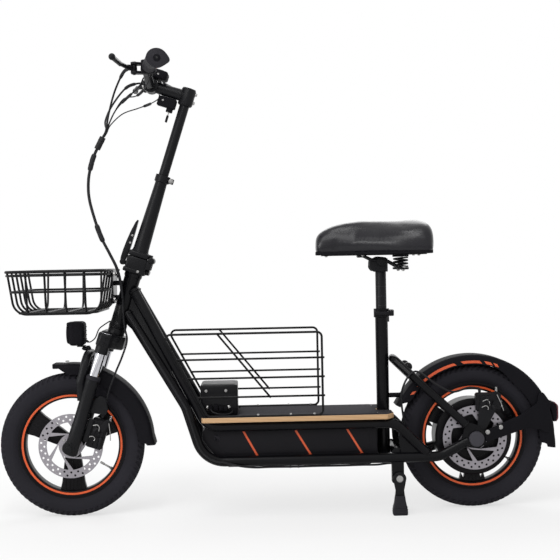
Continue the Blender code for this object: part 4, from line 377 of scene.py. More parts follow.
def plate(
    outline: Array | list, low: float, high: float, edge: float = 0.0008, matrix: Array | None = None
) -> Skin:
    """A flat piece between two heights with rounded edges.

    Args:
        outline: the closed outline in the XY plane.
        low: the lower height.
        high: the upper height.
        edge: the radius of both edges.
        matrix: where the XY plane goes.

    Returns:
        The skin. Ring k of an edge is inset by edge (1 - sin a) at a depth of edge (1 - cos a).
    """
    outline = np.asarray(outline, float)
    edge = min(edge, abs(high - low) * 0.45)
    angle = np.linspace(0, math.pi / 2, EDGE_STEPS + 1)
    inward, depth = edge * (1 - np.sin(angle)), edge * (1 - np.cos(angle))
    levels = [*zip(inward, low + depth), *zip(inward[::-1], high - depth[::-1])]
    rings = [np.column_stack([inset(outline, by), np.full(len(outline), z)]) for by, z in levels]
    skin = grid_skin(np.array(rings))
    return skin if matrix is None else skin.placed(matrix)


def block(low: Triple, high: Triple, edge: float = 0.0015, matrix: Array | None = None) -> Skin:
    """A box between two corners with rounded edges.

    Args:
        low: the lowest corner.
        high: the highest corner.
        edge: the radius of its edges.
        matrix: where the box goes.

    Returns:
        The box's skin.
    """
    (x0, y0, z0), (x1, y1, z1) = low, high
    small = min(x1 - x0, y1 - y0, z1 - z0)
    edge = min(edge, small * 0.45)
    return plate(rounded_box(x0, y0, x1, y1, edge * 1.2, steps=3), z0, z1, edge, matrix)


def shell(points: Array, wall: float) -> Skin:
    """A wall over an open grid.

    Args:
        points: the grid's points: the wall's middle surface.
        wall: the wall's thickness.

    Returns:
        A closed skin: each point moved half a wall along its normal to either side, and a rim.
    """
    normal = unit(np.cross(np.gradient(points, axis=0), np.gradient(points, axis=1)))
    outer, inner = points + normal * wall / 2, points - normal * wall / 2
    ring = np.concatenate([outer, inner[:, ::-1]], axis=1)
    return grid_skin(ring)


def joined(*skins: Skin) -> Skin:
    """Several skins as one.

    Args:
        skins: the skins to put together.

    Returns:
        One skin with all their points and faces.
    """
    points, faces, start = [], [], 0
    for skin in skins:
        points.append(skin.points)
        faces += [group + start for group in skin.faces]
        start += len(skin.points)
    return Skin(np.vstack(points), faces)


def moved(x: float = 0.0, y: float = 0.0, z: float = 0.0) -> Array:
    """A placement that only moves.

    Args:
        x: how far along X.
        y: how far along Y.
        z: how far along Z.

    Returns:
        A 4 by 4 placement.
    """
    matrix = np.eye(4)
    matrix[:3, 3] = (x, y, z)
    return matrix


def spun(angle: float, axis: str) -> Array:
    """A placement that turns about one of the axes X, Y and Z."""
    return np.array(Matrix.Rotation(angle, 4, axis))


def upright(x: float = 0.0, y: float = 0.0, z: float = 0.0) -> Array:
    """The place of a plate that stands in an XZ plane: its first axis is X and its second is Z."""
    return moved(x, y, z) @ spun(math.pi / 2, "X")


# Finishes

# What a clear coat, a lens and a hide add to the shader
COAT_ROUGHNESS = 0.06
LENS_TRANSMISSION = 0.35
LENS_IOR = 1.49
HIDE_SHEEN = 0.04
HIDE_SHEEN_ROUGHNESS = 0.45
# The broad patches that tint a surface and shift its roughness: about one to every 70 mm
PATCHES = {"Scale": 14.0, "Detail": 5.0}
# The part of a hide's cell that its crease takes up
CREASE = 0.16


class Pattern(Enum):
    """How a finish's surface was made."""

    SPRAYED = "sprayed"
    MOULDED = "moulded"
    BRUSHED = "brushed"
    CAST = "cast"
    HIDE = "hide"
    GRIT = "grit"
    PLY = "ply"
    RUBBER = "rubber"
    PLATED = "plated"
    LENS = "lens"


def linear(colour: str) -> tuple[float, float, float, float]:
    """An sRGB hex value as a linear colour with an alpha of one.

    Args:
        colour: the colour as # and six hex digits.

    Returns:
        Red, green, blue and alpha.
    """
    value = np.array([int(colour[i : i + 2], 16) / 255 for i in (1, 3, 5)])
    value = np.where(value <= 0.04045, value / 12.92, ((value + 0.055) / 1.055) ** 2.4)
    return (*value.tolist(), 1.0)


def add_node(tree: bpy.types.NodeTree, kind: str, settings: dict, links: dict) -> bpy.types.Node:
    """Adds a node to a material.

    Args:
        tree: the material's nodes.
        kind: the node's type.
        settings: attributes by name, and socket values by the socket's name or number.
        links: for each of its input sockets, the output socket that feeds it.

    Returns:
        The new node.
    """
    made = tree.nodes.new(kind)
    for name, value in settings.items():
        if isinstance(name, str) and hasattr(made, name):
            setattr(made, name, value)
        else:
            made.inputs[name].default_value = value
    for name, source in links.items():
        tree.links.new(source, made.inputs[name])
    return made


@dataclass(frozen=True)
class Finish:
    """A finish: what the material is, how its surface was made, and its real grain."""

    name: str
    slot: str
    pattern: Pattern
    colour: str
    roughness: float
    grain_mm: float = 1.0
    relief_mm: float = 0.02
    metallic: float = 0.0
    shade: str | None = None
    coat: float = 0.0
    spread: float = 0.05
    gloss: float = 0.3

    def material(self) -> bpy.types.Material:
        """The finish's material, made once.

        Returns:
            The material.
        """
        found = bpy.data.materials.get(self.name)
        if found:
            return found
        made = bpy.data.materials.new(self.name)
        made.use_nodes = True
        tree = made.node_tree
        shader = tree.nodes["Principled BSDF"]
        shader.inputs["Metallic"].default_value = self.metallic
        shader.inputs["Specular IOR Level"].default_value = self.gloss
        shader.inputs["Coat Weight"].default_value = self.coat
        shader.inputs["Coat Roughness"].default_value = COAT_ROUGHNESS
        if self.pattern is Pattern.LENS:
            shader.inputs["Transmission Weight"].default_value = LENS_TRANSMISSION
            shader.inputs["IOR"].default_value = LENS_IOR
        if self.pattern is Pattern.HIDE:
            shader.inputs["Sheen Weight"].default_value = HIDE_SHEEN
            shader.inputs["Sheen Roughness"].default_value = HIDE_SHEEN_ROUGHNESS
        place = add_node(tree, "ShaderNodeTexCoord", {}, {}).outputs["Object"]
        height, tint = self.grain(tree, place)
        colours = {6: linear(self.colour), 7: linear(self.shade or self.colour)}
        mixed = add_node(tree, "ShaderNodeMix", {"data_type": "RGBA", **colours}, {0: tint})
        tree.links.new(mixed.outputs[2], shader.inputs["Base Color"])
        rough = add_node(
            tree, "ShaderNodeMapRange",
            {3: max(0.02, self.roughness - self.spread), 4: min(1.0, self.roughness + self.spread)},
            {0: tint},
        )
        tree.links.new(rough.outputs[0], shader.inputs["Roughness"])
        bump = add_node(
            tree, "ShaderNodeBump", {"Strength": 1.0, "Distance": self.relief_mm / 1000}, {"Height": height}
        )
        tree.links.new(bump.outputs["Normal"], shader.inputs["Normal"])
        return made

    def grain(self, tree: bpy.types.NodeTree, place: bpy.types.NodeSocket) -> tuple:
        """The pattern's height and tint.

        Args:
            tree: the material's nodes.
            place: the socket that gives a point's place in metres.

        Returns:
            The output sockets of the relief's height and of the share of the second colour.
        """
        scale = 1000 / self.grain_mm
        patches = add_node(tree, "ShaderNodeTexNoise", PATCHES, {"Vector": place})
        tint = patches.outputs["Fac"]
        if self.pattern is Pattern.HIDE:
            cells = add_node(
                tree, "ShaderNodeTexVoronoi", {"feature": "DISTANCE_TO_EDGE", "Scale": scale},
                {"Vector": place},
            )
            raised = add_node(tree, "ShaderNodeMapRange", {2: CREASE}, {0: cells.outputs["Distance"]})
            return raised.outputs[0], tint
        if self.pattern is Pattern.BRUSHED:
            lines = add_node(tree, "ShaderNodeMapping", {"Scale": (1.0, 0.04, 1.0)}, {"Vector": place})
            place = lines.outputs[0]
        if self.pattern is Pattern.PLY:
            return self.ply(tree, place, patches)
        if self.pattern is Pattern.GRIT:
            cells = add_node(tree, "ShaderNodeTexVoronoi", {"Scale": scale}, {"Vector": place})
            tint = add_node(
                tree, "ShaderNodeMapRange", {1: 0.55, 2: 0.95}, {0: cells.outputs["Color"]}
            ).outputs[0]
            return cells.outputs["Distance"], tint
        fine = add_node(
            tree, "ShaderNodeTexNoise", {"Scale": scale, "Detail": 3.0, "Roughness": 0.6}, {"Vector": place}
        )
        return fine.outputs["Fac"], tint

    def ply(self, tree: bpy.types.NodeTree, place: bpy.types.NodeSocket, patches: bpy.types.Node) -> tuple:
        """Veneers: bands along Z, one grain wide, waved a little by noise, each with its own shade.

        Args:
            tree: the material's nodes.
            place: the socket that gives a point's place in metres.
            patches: a noise that bends the layers.

        Returns:
            The output sockets of height and tint.
        """
        apart = add_node(tree, "ShaderNodeSeparateXYZ", {}, {0: place})
        wave = add_node(tree, "ShaderNodeMath", {"operation": "MULTIPLY_ADD", 1: 0.0005},
                        {0: patches.outputs["Fac"], 2: apart.outputs[2]})
        layer = add_node(tree, "ShaderNodeMath", {"operation": "MULTIPLY", 1: 500 / self.grain_mm},
                         {0: wave.outputs[0]})
        band = add_node(tree, "ShaderNodeMath", {"operation": "FRACT"}, {0: layer.outputs[0]})
        step = add_node(tree, "ShaderNodeMapRange", {1: 0.44, 2: 0.56}, {0: band.outputs[0]})
        return step.outputs[0], step.outputs[0]


# Powder coat: thick and glossy, with a faint orange peel
FRAME_COAT = Finish(
    "gloss_powder_coat", "frame_paint", Pattern.SPRAYED, "#09090B", 0.24, 2.5, 0.012, shade="#0E0E11",
    gloss=0.13,
)
# Satin enamel: softer highlights on the stem and fork
SATIN_COAT = Finish(
    "satin_enamel", "satin_paint", Pattern.SPRAYED, "#0D0D0F", 0.34, 1.2, 0.012, shade="#141417", gloss=0.15
)
# Carbon-filled tyre rubber: matt, with dust that greys it
TYRE_RUBBER = Finish(
    "vulcanised_rubber", "tyre_rubber", Pattern.RUBBER, "#1C1B1F", 0.74, 0.9, 0.06, shade="#28272D",
    gloss=0.12,
)
# Grip rubber: soft, matt and a little grained
GRIP_RUBBER = Finish(
    "moulded_grip_rubber", "grip_rubber", Pattern.RUBBER, "#1C1B1F", 0.60, 0.8, 0.05, shade="#27262B",
    gloss=0.15,
)
# Enamelled cast aluminium: satin black over a slightly uneven casting
WHEEL_ENAMEL = Finish(
    "enamelled_casting", "wheel_enamel", Pattern.CAST, "#0A090B", 0.33, 1.8, 0.03, shade="#100F12", gloss=0.12
)
# Orange enamel line on the rims
RIM_LINE = Finish(
    "orange_enamel", "wheel_enamel", Pattern.SPRAYED, "#CE4F28", 0.34, 1.5, 0.008, shade="#DD6234"
)
# Ground stainless rotor: short fine lines, greyer than chrome
DISC_STEEL = Finish(
    "ground_stainless", "disc_steel", Pattern.BRUSHED, "#9C989D", 0.42, 0.7, 0.01, 0.85, shade="#8F8C92",
    gloss=0.5,
)
# Zinc-plated steel fasteners
ZINC = Finish(
    "zinc_plated_steel", "zinc_steel", Pattern.PLATED, "#B5B4B2", 0.32, 0.6, 0.01, 1.0, shade="#8C8B8B",
    gloss=0.5,
)
# Hard chrome
CHROME = Finish(
    "hard_chrome", "chrome_plate", Pattern.PLATED, "#D2D2D6", 0.10, 2.0, 0.003, 1.0, shade="#BDBDC2",
    spread=0.03, gloss=0.5,
)
# Black anodised aluminium castings and forgings
BLACK_ALLOY = Finish(
    "anodised_casting", "black_aluminium", Pattern.CAST, "#0E0E10", 0.36, 0.7, 0.03, 0.05, shade="#161619",
    gloss=0.15,
)
# Polypropylene and ABS mouldings, with a fine spark-eroded texture
BLACK_ABS = Finish(
    "moulded_abs", "moulded_plastic", Pattern.MOULDED, "#111114", 0.58, 0.5, 0.02, shade="#18171B", gloss=0.05
)
BATTERY_ABS = Finish(
    "battery_moulding", "battery_plastic", Pattern.MOULDED, "#121114", 0.46, 0.6, 0.03, shade="#19181C",
    gloss=0.12,
)
# Rubber caps over the rear axle's ends: greyer than the paint
CAP_RUBBER = Finish(
    "cap_rubber", "moulded_plastic", Pattern.RUBBER, "#323137", 0.6, 0.6, 0.03, shade="#3B3A40",
)
# Vinyl stripes on the mouldings
ORANGE_VINYL = Finish(
    "orange_vinyl", "moulded_plastic", Pattern.MOULDED, "#D4603A", 0.38, 1.0, 0.004, shade="#CC5230"
)
# Birch plywood, sealed: the edge shows its veneers
PLYWOOD = Finish(
    "birch_plywood", "plywood", Pattern.PLY, "#CDAA82", 0.50, 1.7, 0.03, shade="#B28C66", gloss=0.2,
)
# Silicon-carbide grip sheet, whose grit is drawn a little coarse
GRIT_SHEET = Finish(
    "carbide_grit_sheet", "grip_tape", Pattern.GRIT, "#29282C", 0.88, 0.8, 0.16, shade="#434248", gloss=0.1
)
# Embossed polyurethane leather: a soft sheen over a fine pebble
PU_LEATHER = Finish(
    "pu_leather", "saddle_leather", Pattern.HIDE, "#0B0A10", 0.27, 1.6, 0.008, shade="#100F16", gloss=0.34
)
# Vinyl-coated steel wire
WIRE_COAT = Finish(
    "vinyl_dipped_wire", "coated_wire", Pattern.SPRAYED, "#0A0A0B", 0.34, 3.0, 0.01, shade="#101012",
    gloss=0.15,
)
# PVC cable jacket
CABLE_PVC = Finish(
    "pvc_jacket", "cable_sheath", Pattern.MOULDED, "#141416", 0.42, 0.6, 0.01, shade="#1C1C1F", gloss=0.2,
)
# Acrylic lenses
RED_ACRYLIC = Finish(
    "red_acrylic", "red_lens", Pattern.LENS, "#6A1224", 0.14, 2.0, 0.01, shade="#520E1B", gloss=0.5
)
CLEAR_ACRYLIC = Finish(
    "clear_acrylic", "moulded_plastic", Pattern.LENS, "#D9DCE0", 0.08, 2.0, 0.004, shade="#C9CCD2", gloss=0.5
)
# Tempered glass over the display; the same dark finish is also painted shade in the slits and seams of the
# clamps and in the switch housing's parting line
DARK_GLASS_AND_GAP_SHADE = Finish(
    "display_glass_and_gap_shade", "moulded_plastic", Pattern.PLATED, "#08090B", 0.07, 3.0, 0.001, shade="#0B0C10",
    spread=0.02, gloss=0.5,
)
# Yellow phosphor over the lamp's diodes
LAMP_CHIP = Finish(
    "lamp_phosphor", "moulded_plastic", Pattern.MOULDED, "#E8DFA6", 0.4, 0.5, 0.01, shade="#F2EAC0", gloss=0.5
)


class Piece:
    """A visible piece, put together from skins with their finishes."""

    def __init__(self, name: str, body: str, *replaced: str) -> None:
        """Starts an empty piece.

        Args:
            name: the piece's name.
            body: the CAD body that carries it.
            replaced: the CAD nodes that it stands for.
        """
        self.name, self.body, self.replaced = name, body, replaced
        self.parts: list[tuple[Skin, Finish]] = []

    def add(self, finish: Finish, *skins: Skin) -> Piece:
        """Adds skins of one finish, and returns the piece."""
        self.parts += [(skin, finish) for skin in skins]
        return self

    def steer(self, finish: Finish, *skins: Skin) -> Piece:
        """Adds skins that are given along the steering axis, and returns the piece."""
        return self.add(finish, *[skin.placed(STEER) for skin in skins])

    def make(self, angle: float = 34.0, ride: bool = True) -> bpy.types.Object:
        """Makes the object.

        Args:
            angle: the largest turn between faces, in degrees, that is still shaded smooth.
            ride: whether it rides on its body at once.

        Returns:
            The object, with doubles merged and every closed shell facing out.
        """
        whole = joined(*[skin for skin, _ in self.parts])
        finishes = list(dict.fromkeys(finish for _, finish in self.parts))
        slots = np.concatenate(
            [
                np.full(sum(len(group) for group in skin.faces), finishes.index(finish))
                for skin, finish in self.parts
            ]
        )
        sizes = np.concatenate([np.full(len(group), group.shape[1]) for group in whole.faces])
        corners = np.concatenate([group.ravel() for group in whole.faces])
        mesh = bpy.data.meshes.new(self.name)
        mesh.vertices.add(len(whole.points))
        mesh.vertices.foreach_set("co", whole.points.astype(np.float32).ravel())
        mesh.loops.add(len(corners))
        mesh.loops.foreach_set("vertex_index", corners.astype(np.int32))
        mesh.polygons.add(len(sizes))
        mesh.polygons.foreach_set("loop_start", np.concatenate([[0], np.cumsum(sizes)[:-1]]).astype(np.int32))
        for finish in finishes:
            mesh.materials.append(finish.material())
        mesh.polygons.foreach_set("material_index", slots.astype(np.int32))
        mesh.update(calc_edges=True)
        bm = bmesh.new()
        bm.from_mesh(mesh)
        bmesh.ops.remove_doubles(bm, verts=bm.verts, dist=MERGE_DISTANCE)
        bmesh.ops.dissolve_degenerate(bm, edges=bm.edges, dist=FLAT_DISTANCE)
        bmesh.ops.recalc_face_normals(bm, faces=bm.faces)
        bm.to_mesh(mesh)
        bm.free()
        mesh.shade_smooth()
        mesh.set_sharp_from_angle(angle=math.radians(angle))
        made = bpy.data.objects.new(self.name, mesh)
        bpy.context.scene.collection.objects.link(made)
        if self.replaced:
            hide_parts(*self.replaced)
        if ride:
            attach(made, self.body)
        return made


# Places that the pieces share, in metres

FRONT_AXLE = np.array((-0.5225, 0.0, 0.180))
REAR_AXLE = np.array((0.4845, 0.0, 0.180))
HEAD_LEAN = math.radians(18.0)
FORK_RAKE = 0.022
STEER_BASE = FRONT_AXLE + np.array((math.cos(HEAD_LEAN), 0, -math.sin(HEAD_LEAN))) * FORK_RAKE
STEER = moved(*STEER_BASE) @ spun(HEAD_LEAN, "Y")
RAIL_Y = 0.080
DROPOUT_Y = 0.070
AXLE_BORE = 0.0064
DECK_TOP = 0.250


def steered(x: float, y: float, z: float) -> Array:
    """A point given along the steering axis, in the scooter's own axes."""
    return STEER[:3, :3] @ np.array((x, y, z), float) + STEER[:3, 3]


def from_front(x: float, y: float, z: float) -> Array:
    """A point measured from the front axle."""
    return FRONT_AXLE + np.array((x, y, z), float)


def from_rear(x: float, y: float, z: float) -> Array:
    """A point measured from the rear axle."""
    return REAR_AXLE + np.array((x, y, z), float)


def hex_bolt(foot: Triple, axis: Triple, size: float = 0.0045, height: float = 0.004) -> Skin:
    """A six-sided bolt head on its washer: two short prisms about one axis.

    Args:
        foot: the middle of the washer's foot.
        axis: the way that the head points.
        size: the head's radius over its corners.
        height: the head's height.

    Returns:
        The bolt's skin.
    """
    foot, along = np.array(foot, float), unit(np.array(axis, float))
    washer = rod(foot, foot + along * 0.001, size * 1.35, edge=0.0002, sides=20)
    head = turned(
        [(size, 0), (size, height - 0.0008), (size - 0.0009, height)], foot + along * 0.001, axis, steps=6
    )
    return joined(washer, head)


def socket_bolt(foot: Triple, axis: Triple, size: float = 0.004, height: float = 0.004) -> Skin:
    """A round bolt head with a hollow in its top: one profile turned about the axis.

    Args:
        foot: the middle of the head's foot.
        axis: the way that the head points.
        size: the head's radius.
        height: the head's height.

    Returns:
        The bolt's skin.
    """
    profile = [
        (size, 0), (size, height - 0.0006), (size - 0.0006, height),
        (size * 0.55, height), (size * 0.5, height * 0.45), (0.0, height * 0.45),
    ]
    return turned(profile, foot, axis, steps=18)


def collar_bead(centre: Array, axis: Array, ring: float, radius: float = 0.0022) -> Skin:
    """A weld bead round a tube: a ring about an axis.

    Args:
        centre: the ring's centre.
        axis: the tube's direction.
        ring: the tube's radius.
        radius: the bead's own radius, which swells a little 24 times a turn.

    Returns:
        The bead's skin.
    """
    angle = np.linspace(0, 2 * math.pi, 72, endpoint=False)
    turn = axes_along(tuple(axis))
    circle_points = centre + ring * (
        np.cos(angle)[:, None] * turn[:, 0] + np.sin(angle)[:, None] * turn[:, 1]
    )
    swell = radius * (1 + 0.14 * np.sin(angle * 24))
    return swept(circle_points, circle(1, sides=8), tuple(axis), swell, closed=True)


def pierced(outlines: list, thickness: float, matrix: Array) -> Skin:
    """A flat plate with holes, cut by a filled curve.

    Args:
        outlines: the outer outline, and then each hole's.
        thickness: the plate's thickness.
        matrix: where the XY plane goes.

    Returns:
        The skin of the plate, as triangles.
    """
    curve = bpy.data.curves.new("outline", "CURVE")
    curve.dimensions = "2D"
    curve.fill_mode = "BOTH"
    curve.extrude = thickness / 2
    for outline in outlines:
        spline = curve.splines.new("POLY")
        spline.points.add(len(outline) - 1)
        flat = np.column_stack([outline, np.zeros(len(outline)), np.ones(len(outline))])
        spline.points.foreach_set("co", flat.astype(np.float32).ravel())
        spline.use_cyclic_u = True
    made = bpy.data.objects.new("outline", curve)
    bpy.context.scene.collection.objects.link(made)
    mesh = bpy.data.meshes.new_from_object(made.evaluated_get(bpy.context.evaluated_depsgraph_get()))
    bpy.data.objects.remove(made)
    points = np.zeros(len(mesh.vertices) * 3, np.float32)
    mesh.vertices.foreach_get("co", points)
    mesh.calc_loop_triangles()
    triangles = np.zeros(len(mesh.loop_triangles) * 3, np.int32)
    mesh.loop_triangles.foreach_get("vertices", triangles)
    bpy.data.meshes.remove(mesh)
    return Skin(points.reshape(-1, 3).astype(float), [triangles.reshape(-1, 3)]).placed(matrix)


# Wheels


@dataclass
class Wheel:
    """A wheel: its tyre, its cast rim with three spokes, and its ground brake disc."""

    name: str
    axle: Array
    hub_radius: float
    hub_left: float
    hub_right: float
    disc_y: float
    radius: float = 0.180
    bead_radius: float = 0.1345
    half_width: float = 0.027
    blocks: int = 75
    stations_per_block: int = 9
    tread_depth: float = 0.0034
    rib_height: float = 0.00035
    rib_pitch: float = 0.0032
    disc_radius: float = 0.080
    disc_thickness: float = 0.0019
    disc_arms: int = 6
    spokes: int = 3

    def build(self) -> None:
        """Makes the wheel's three pieces."""
        self.tyre()
        self.rim()
        self.disc()

    def tyre(self) -> None:
        """The tyre: a section carried round the axle, with the tread's grooves cut into its height.

        A groove is a smooth trench along a slanted line. The crown keeps a rib, the shoulders have
        one trench to each block, and each depth fades towards the sidewall.
        """
        half, top, bead = self.half_width, self.radius, self.bead_radius
        control = [
            (bead, -0.0180), (0.1385, -0.0212), (0.146, -0.0252), (0.157, -half), (0.167, -0.0262),
            (0.1738, -0.0232), (0.1775, -0.0182), (0.1793, -0.0110), (top, 0.0),
        ]
        control += [(r, -y) for r, y in control[-2::-1]]
        section = flowing(control, spacing=0.0011)
        inner = np.array([(bead + 0.004, 0.0150), (bead + 0.012, 0.0215), (0.160, 0.0225), (0.1725, 0.014)])
        inner = flowing(np.vstack([inner, inner[::-1] * (1, -1)]).tolist(), spacing=0.004)
        steps = self.blocks * self.stations_per_block
        angle = np.linspace(0, 2 * math.pi, steps, endpoint=False)[:, None]
        radius, across = section[:, 0][None], section[:, 1][None]
        slant = angle * self.blocks / (2 * math.pi) + across / 0.016
        trench = np.clip(1.5 - 4.4 * np.abs(slant - np.round(slant)), 0, 1)
        shoulder = np.clip((np.abs(across) - 0.0065) / 0.0015, 0, 1)
        shoulder = shoulder * np.clip((radius - 0.1655) / 0.0020, 0, 1)
        zigzag = 0.0055 + 0.0009 * np.sin(angle * self.blocks)
        ring = np.clip(1.3 - np.abs(np.abs(across) - zigzag) / 0.0009, 0, 1)
        ring = ring * np.clip((radius - 0.172) / 0.002, 0, 1)
        rib_low, rib_high = 0.1375, 0.1465
        wave = np.sin((radius - rib_low) * 2 * math.pi / self.rib_pitch)
        ribs = self.rib_height * np.clip(wave, -0.2, 1)
        ribs = ribs * ((radius > rib_low) & (radius < rib_high))
        depth = self.tread_depth * np.maximum(trench * shoulder, ring) - ribs
        outward = unit(np.stack([-np.gradient(section[:, 1]), np.gradient(section[:, 0])], 1))
        outward = outward * np.sign(outward @ np.array((1.0, 0.0)) + 1e-6)[:, None]
        reach = depth * np.where(np.abs(across) < 0.0215, 1.0, 0.9)
        lifted = np.broadcast_to(radius, reach.shape) - reach * outward[:, 0]
        sideways = np.broadcast_to(across, reach.shape) - reach * outward[:, 1] * (np.abs(across) > 0.012)
        lining = np.broadcast_to(inner[None], (steps, *inner.shape))
        lifted = np.concatenate([lifted, lining[:, :, 0]], 1)
        sideways = np.concatenate([sideways, lining[:, :, 1]], 1)
        points = self.axle + np.stack([lifted * np.cos(angle), sideways, lifted * np.sin(angle)], -1)
        skin = grid_skin(points, along=True)
        piece = Piece(f"{self.name}_tyre_tread", f"{self.name}_wheel", f"{self.name}_tyre")
        piece.add(TYRE_RUBBER, skin).make(angle=50)

    def rim(self) -> None:
        """The cast rim, hub and spokes, the enamel line on both faces, and the valve."""
        axis = (0, 1, 0)
        face = [
            (0.1342, 0.0), (0.1342, 0.0175), (0.1352, 0.0188), (0.1349, 0.0197), (0.1310, 0.0200),
            (0.1296, 0.0186), (0.1272, 0.0182), (0.1263, 0.0190), (0.1207, 0.0184), (0.1198, 0.0172),
            (0.1180, 0.0165), (0.1166, 0.0140), (0.1160, 0.0100), (0.1160, 0.0),
        ]
        loop = face + [(r, -y) for r, y in face[-2:0:-1]]
        rim = turned(loop, self.axle, axis, steps=144, closed=True)
        low, high = self.hub_left, self.hub_right
        big = self.hub_radius
        hub = [
            (AXLE_BORE, low), (0.0150, low), (0.0165, low + 0.001), (0.0165, low + 0.0035),
            (big - 0.004, low + 0.005), (big, low + 0.009), (big, high - 0.008), (big - 0.004, high - 0.001),
            (big - 0.006, high), (0.012, high), (0.0110, high - 0.0015), (AXLE_BORE, high - 0.0015),
        ]
        skins = [rim, turned(hub, self.axle, axis, steps=96, closed=True)]
        if big > 0.05:
            seat = low + 0.006
            flange = [(AXLE_BORE, -0.0517), (0.0280, -0.0517), (0.0280, seat), (AXLE_BORE, seat)]
            skins.append(turned(flange, self.axle, axis, steps=64, closed=True))
            for share in np.arange(8) / 8 * 2 * math.pi:
                foot = self.axle + np.array((0.080 * math.cos(share), low + 0.0045, 0.080 * math.sin(share)))
                skins.append(socket_bolt(tuple(foot), (0, -1, 0), size=0.0035, height=0.003))
            for radius in (0.050, 0.066):
                rib = [(radius - 0.002, seat), (radius - 0.001, low + 0.0035)]
                rib += [(radius + 0.001, low + 0.0035), (radius + 0.002, seat)]
                skins.append(turned(rib, self.axle, axis, steps=96, closed=True))
        piece = Piece(f"{self.name}_rim", f"{self.name}_wheel", f"{self.name}_wheel")
        piece.add(WHEEL_ENAMEL, *skins)
        for index in range(self.spokes):
            piece.add(WHEEL_ENAMEL, *self.spoke(index))
        for side in (LEFT, RIGHT):
            line = [(0.1262, 0.0188), (0.1258, 0.0195), (0.1212, 0.0190), (0.1208, 0.0182)]
            line = [(r, side * y) for r, y in line]
            piece.add(RIM_LINE, turned(line, self.axle, axis, steps=144, closed=True))
        piece.add(ZINC, *self.valve())
        piece.make()

    def spoke(self, index: int) -> list[Skin]:
        """One wide spoke with ribs on both faces, turned by its share of a circle.

        Args:
            index: the spoke's number, from 0.

        Returns:
            The spoke's skins.
        """
        root, reach = self.hub_radius - 0.006, 0.1175
        edge = [(root, -0.018), (root + 0.020, -0.0215), (reach - 0.022, -0.0285), (reach - 0.006, -0.0325),
                (reach, -0.0375), (reach + 0.001, 0.0), (reach, 0.0375), (reach - 0.006, 0.0325),
                (reach - 0.022, 0.0285), (root + 0.020, 0.0215), (root, 0.018)]
        outline = np.array([(-y, -x) for x, y in edge])
        place = upright(*self.axle) @ spun(2 * math.pi * index / self.spokes, "Z")
        skins = [plate(outline, -0.010, 0.010, edge=0.0028, matrix=place)]
        first = max(root + 0.012, 0.042)
        for offset in (-0.019, -0.0095, 0.0, 0.0095, 0.019):
            rib = np.array([(offset - 0.0016, -first), (offset - 0.0016, -0.1125),
                            (offset + 0.0016, -0.1125), (offset + 0.0016, -first)])
            if abs(offset) > 0.015 and self.hub_radius > 0.05:
                continue
            skins.append(plate(rib, -0.0113, 0.0113, edge=0.0009, matrix=place))
        return skins

    def valve(self) -> list[Skin]:
        """The valve: a stem that leans out of the rim towards the hub, with its cap.

        Returns:
            The skins of its stem, its foot and its cap.
        """
        angle = math.radians(-34)
        out = np.array((math.cos(angle), 0, math.sin(angle)))
        foot = self.axle + out * 0.1165
        tip = self.axle + out * 0.083 + np.array((0, -0.008, 0))
        return [
            rod(foot, foot + (tip - foot) * 0.70, radius=0.0024, edge=0.0004, sides=16),
            rod(foot, foot + (tip - foot) * 0.16, radius=0.0042, edge=0.0006, sides=16),
            rod(foot + (tip - foot) * 0.68, tip, radius=0.0031, edge=0.0008, sides=16),
        ]

    def disc(self) -> None:
        """The brake disc: a ring with two rows of holes, on swept arms."""
        count = 24
        outlines = [circle(self.disc_radius, sides=96), circle(0.0168, sides=32)]
        for row, (radius, shift) in enumerate(((0.0655, 0.0), (0.0738, 0.5))):
            turns = (np.arange(count) + shift) / count * 2 * math.pi
            for turn in turns:
                centre = radius * np.array((math.cos(turn), math.sin(turn)))
                outlines.append(centre + circle(0.0027 + 0.0001 * row, sides=12))
        arms = np.arange(self.disc_arms) / self.disc_arms * 2 * math.pi
        for turn in arms:
            out = np.linspace(turn - 0.43, turn + 0.43, 9)
            back = np.linspace(turn + 0.33, turn - 0.33, 5) - 0.92
            outer = 0.0595 * np.stack([np.cos(out), np.sin(out)], 1)
            inner = 0.0300 * np.stack([np.cos(back), np.sin(back)], 1)
            outlines.append(rounded(np.vstack([outer, inner]).tolist(), radius=0.002, steps=2))
        place = upright(self.axle[0], self.disc_y, self.axle[2])
        bolts = []
        side = LEFT if self.disc_y < 0 else RIGHT
        face, ring = self.disc_y + side * self.disc_thickness / 2, 0.0225
        for turn in arms + 0.3:
            foot = self.axle + np.array((ring * math.cos(turn), face, ring * math.sin(turn)))
            bolts.append(socket_bolt(tuple(foot), (0, side, 0), size=0.0032, height=0.0016))
        piece = Piece(f"{self.name}_brake_disc", f"{self.name}_wheel", f"{self.name}_disc")
        piece.add(DISC_STEEL, pierced(outlines, self.disc_thickness, place)).add(ZINC, *bolts).make(angle=30)


# Frame

SEAT_TUBE_X = 0.262
DECK_REAR = 0.280
DECK_RAIL_HEIGHT = 0.2252
LOWER_RAIL_HEIGHT = 0.139
DECK_RAIL_HEAD = FRONT_AXLE + np.array((0.1612, 0.0162, 0.3854))
LOWER_RAIL_HEAD = FRONT_AXLE + np.array((0.1447, 0.0149, 0.3285))
STAY_END = REAR_AXLE + np.array((-0.0225, 0, 0.0335))
STAY_KNEE = np.array((SEAT_TUBE_X + 0.068, 0, 0.338))


def lower_rail(side: int) -> Array:
    """The path of a side's lower tube: straight legs joined by bends of 70 mm.

    Args:
        side: the side of the frame.

    Returns:
        The path's points, from the head tube to the dropout.
    """
    rail = side * RAIL_Y
    corners = [
        LOWER_RAIL_HEAD * (1, side, 1), (-0.232, rail, 0.275), (-0.190, rail, LOWER_RAIL_HEIGHT),
        (DECK_REAR + 0.022, rail, LOWER_RAIL_HEIGHT),
        (DECK_REAR + 0.112, side * (RAIL_Y - 0.004), LOWER_RAIL_HEIGHT),
        from_rear(-0.020, side * DROPOUT_Y, -0.006),
    ]
    return bent(corners, radius=0.07, steps=10)


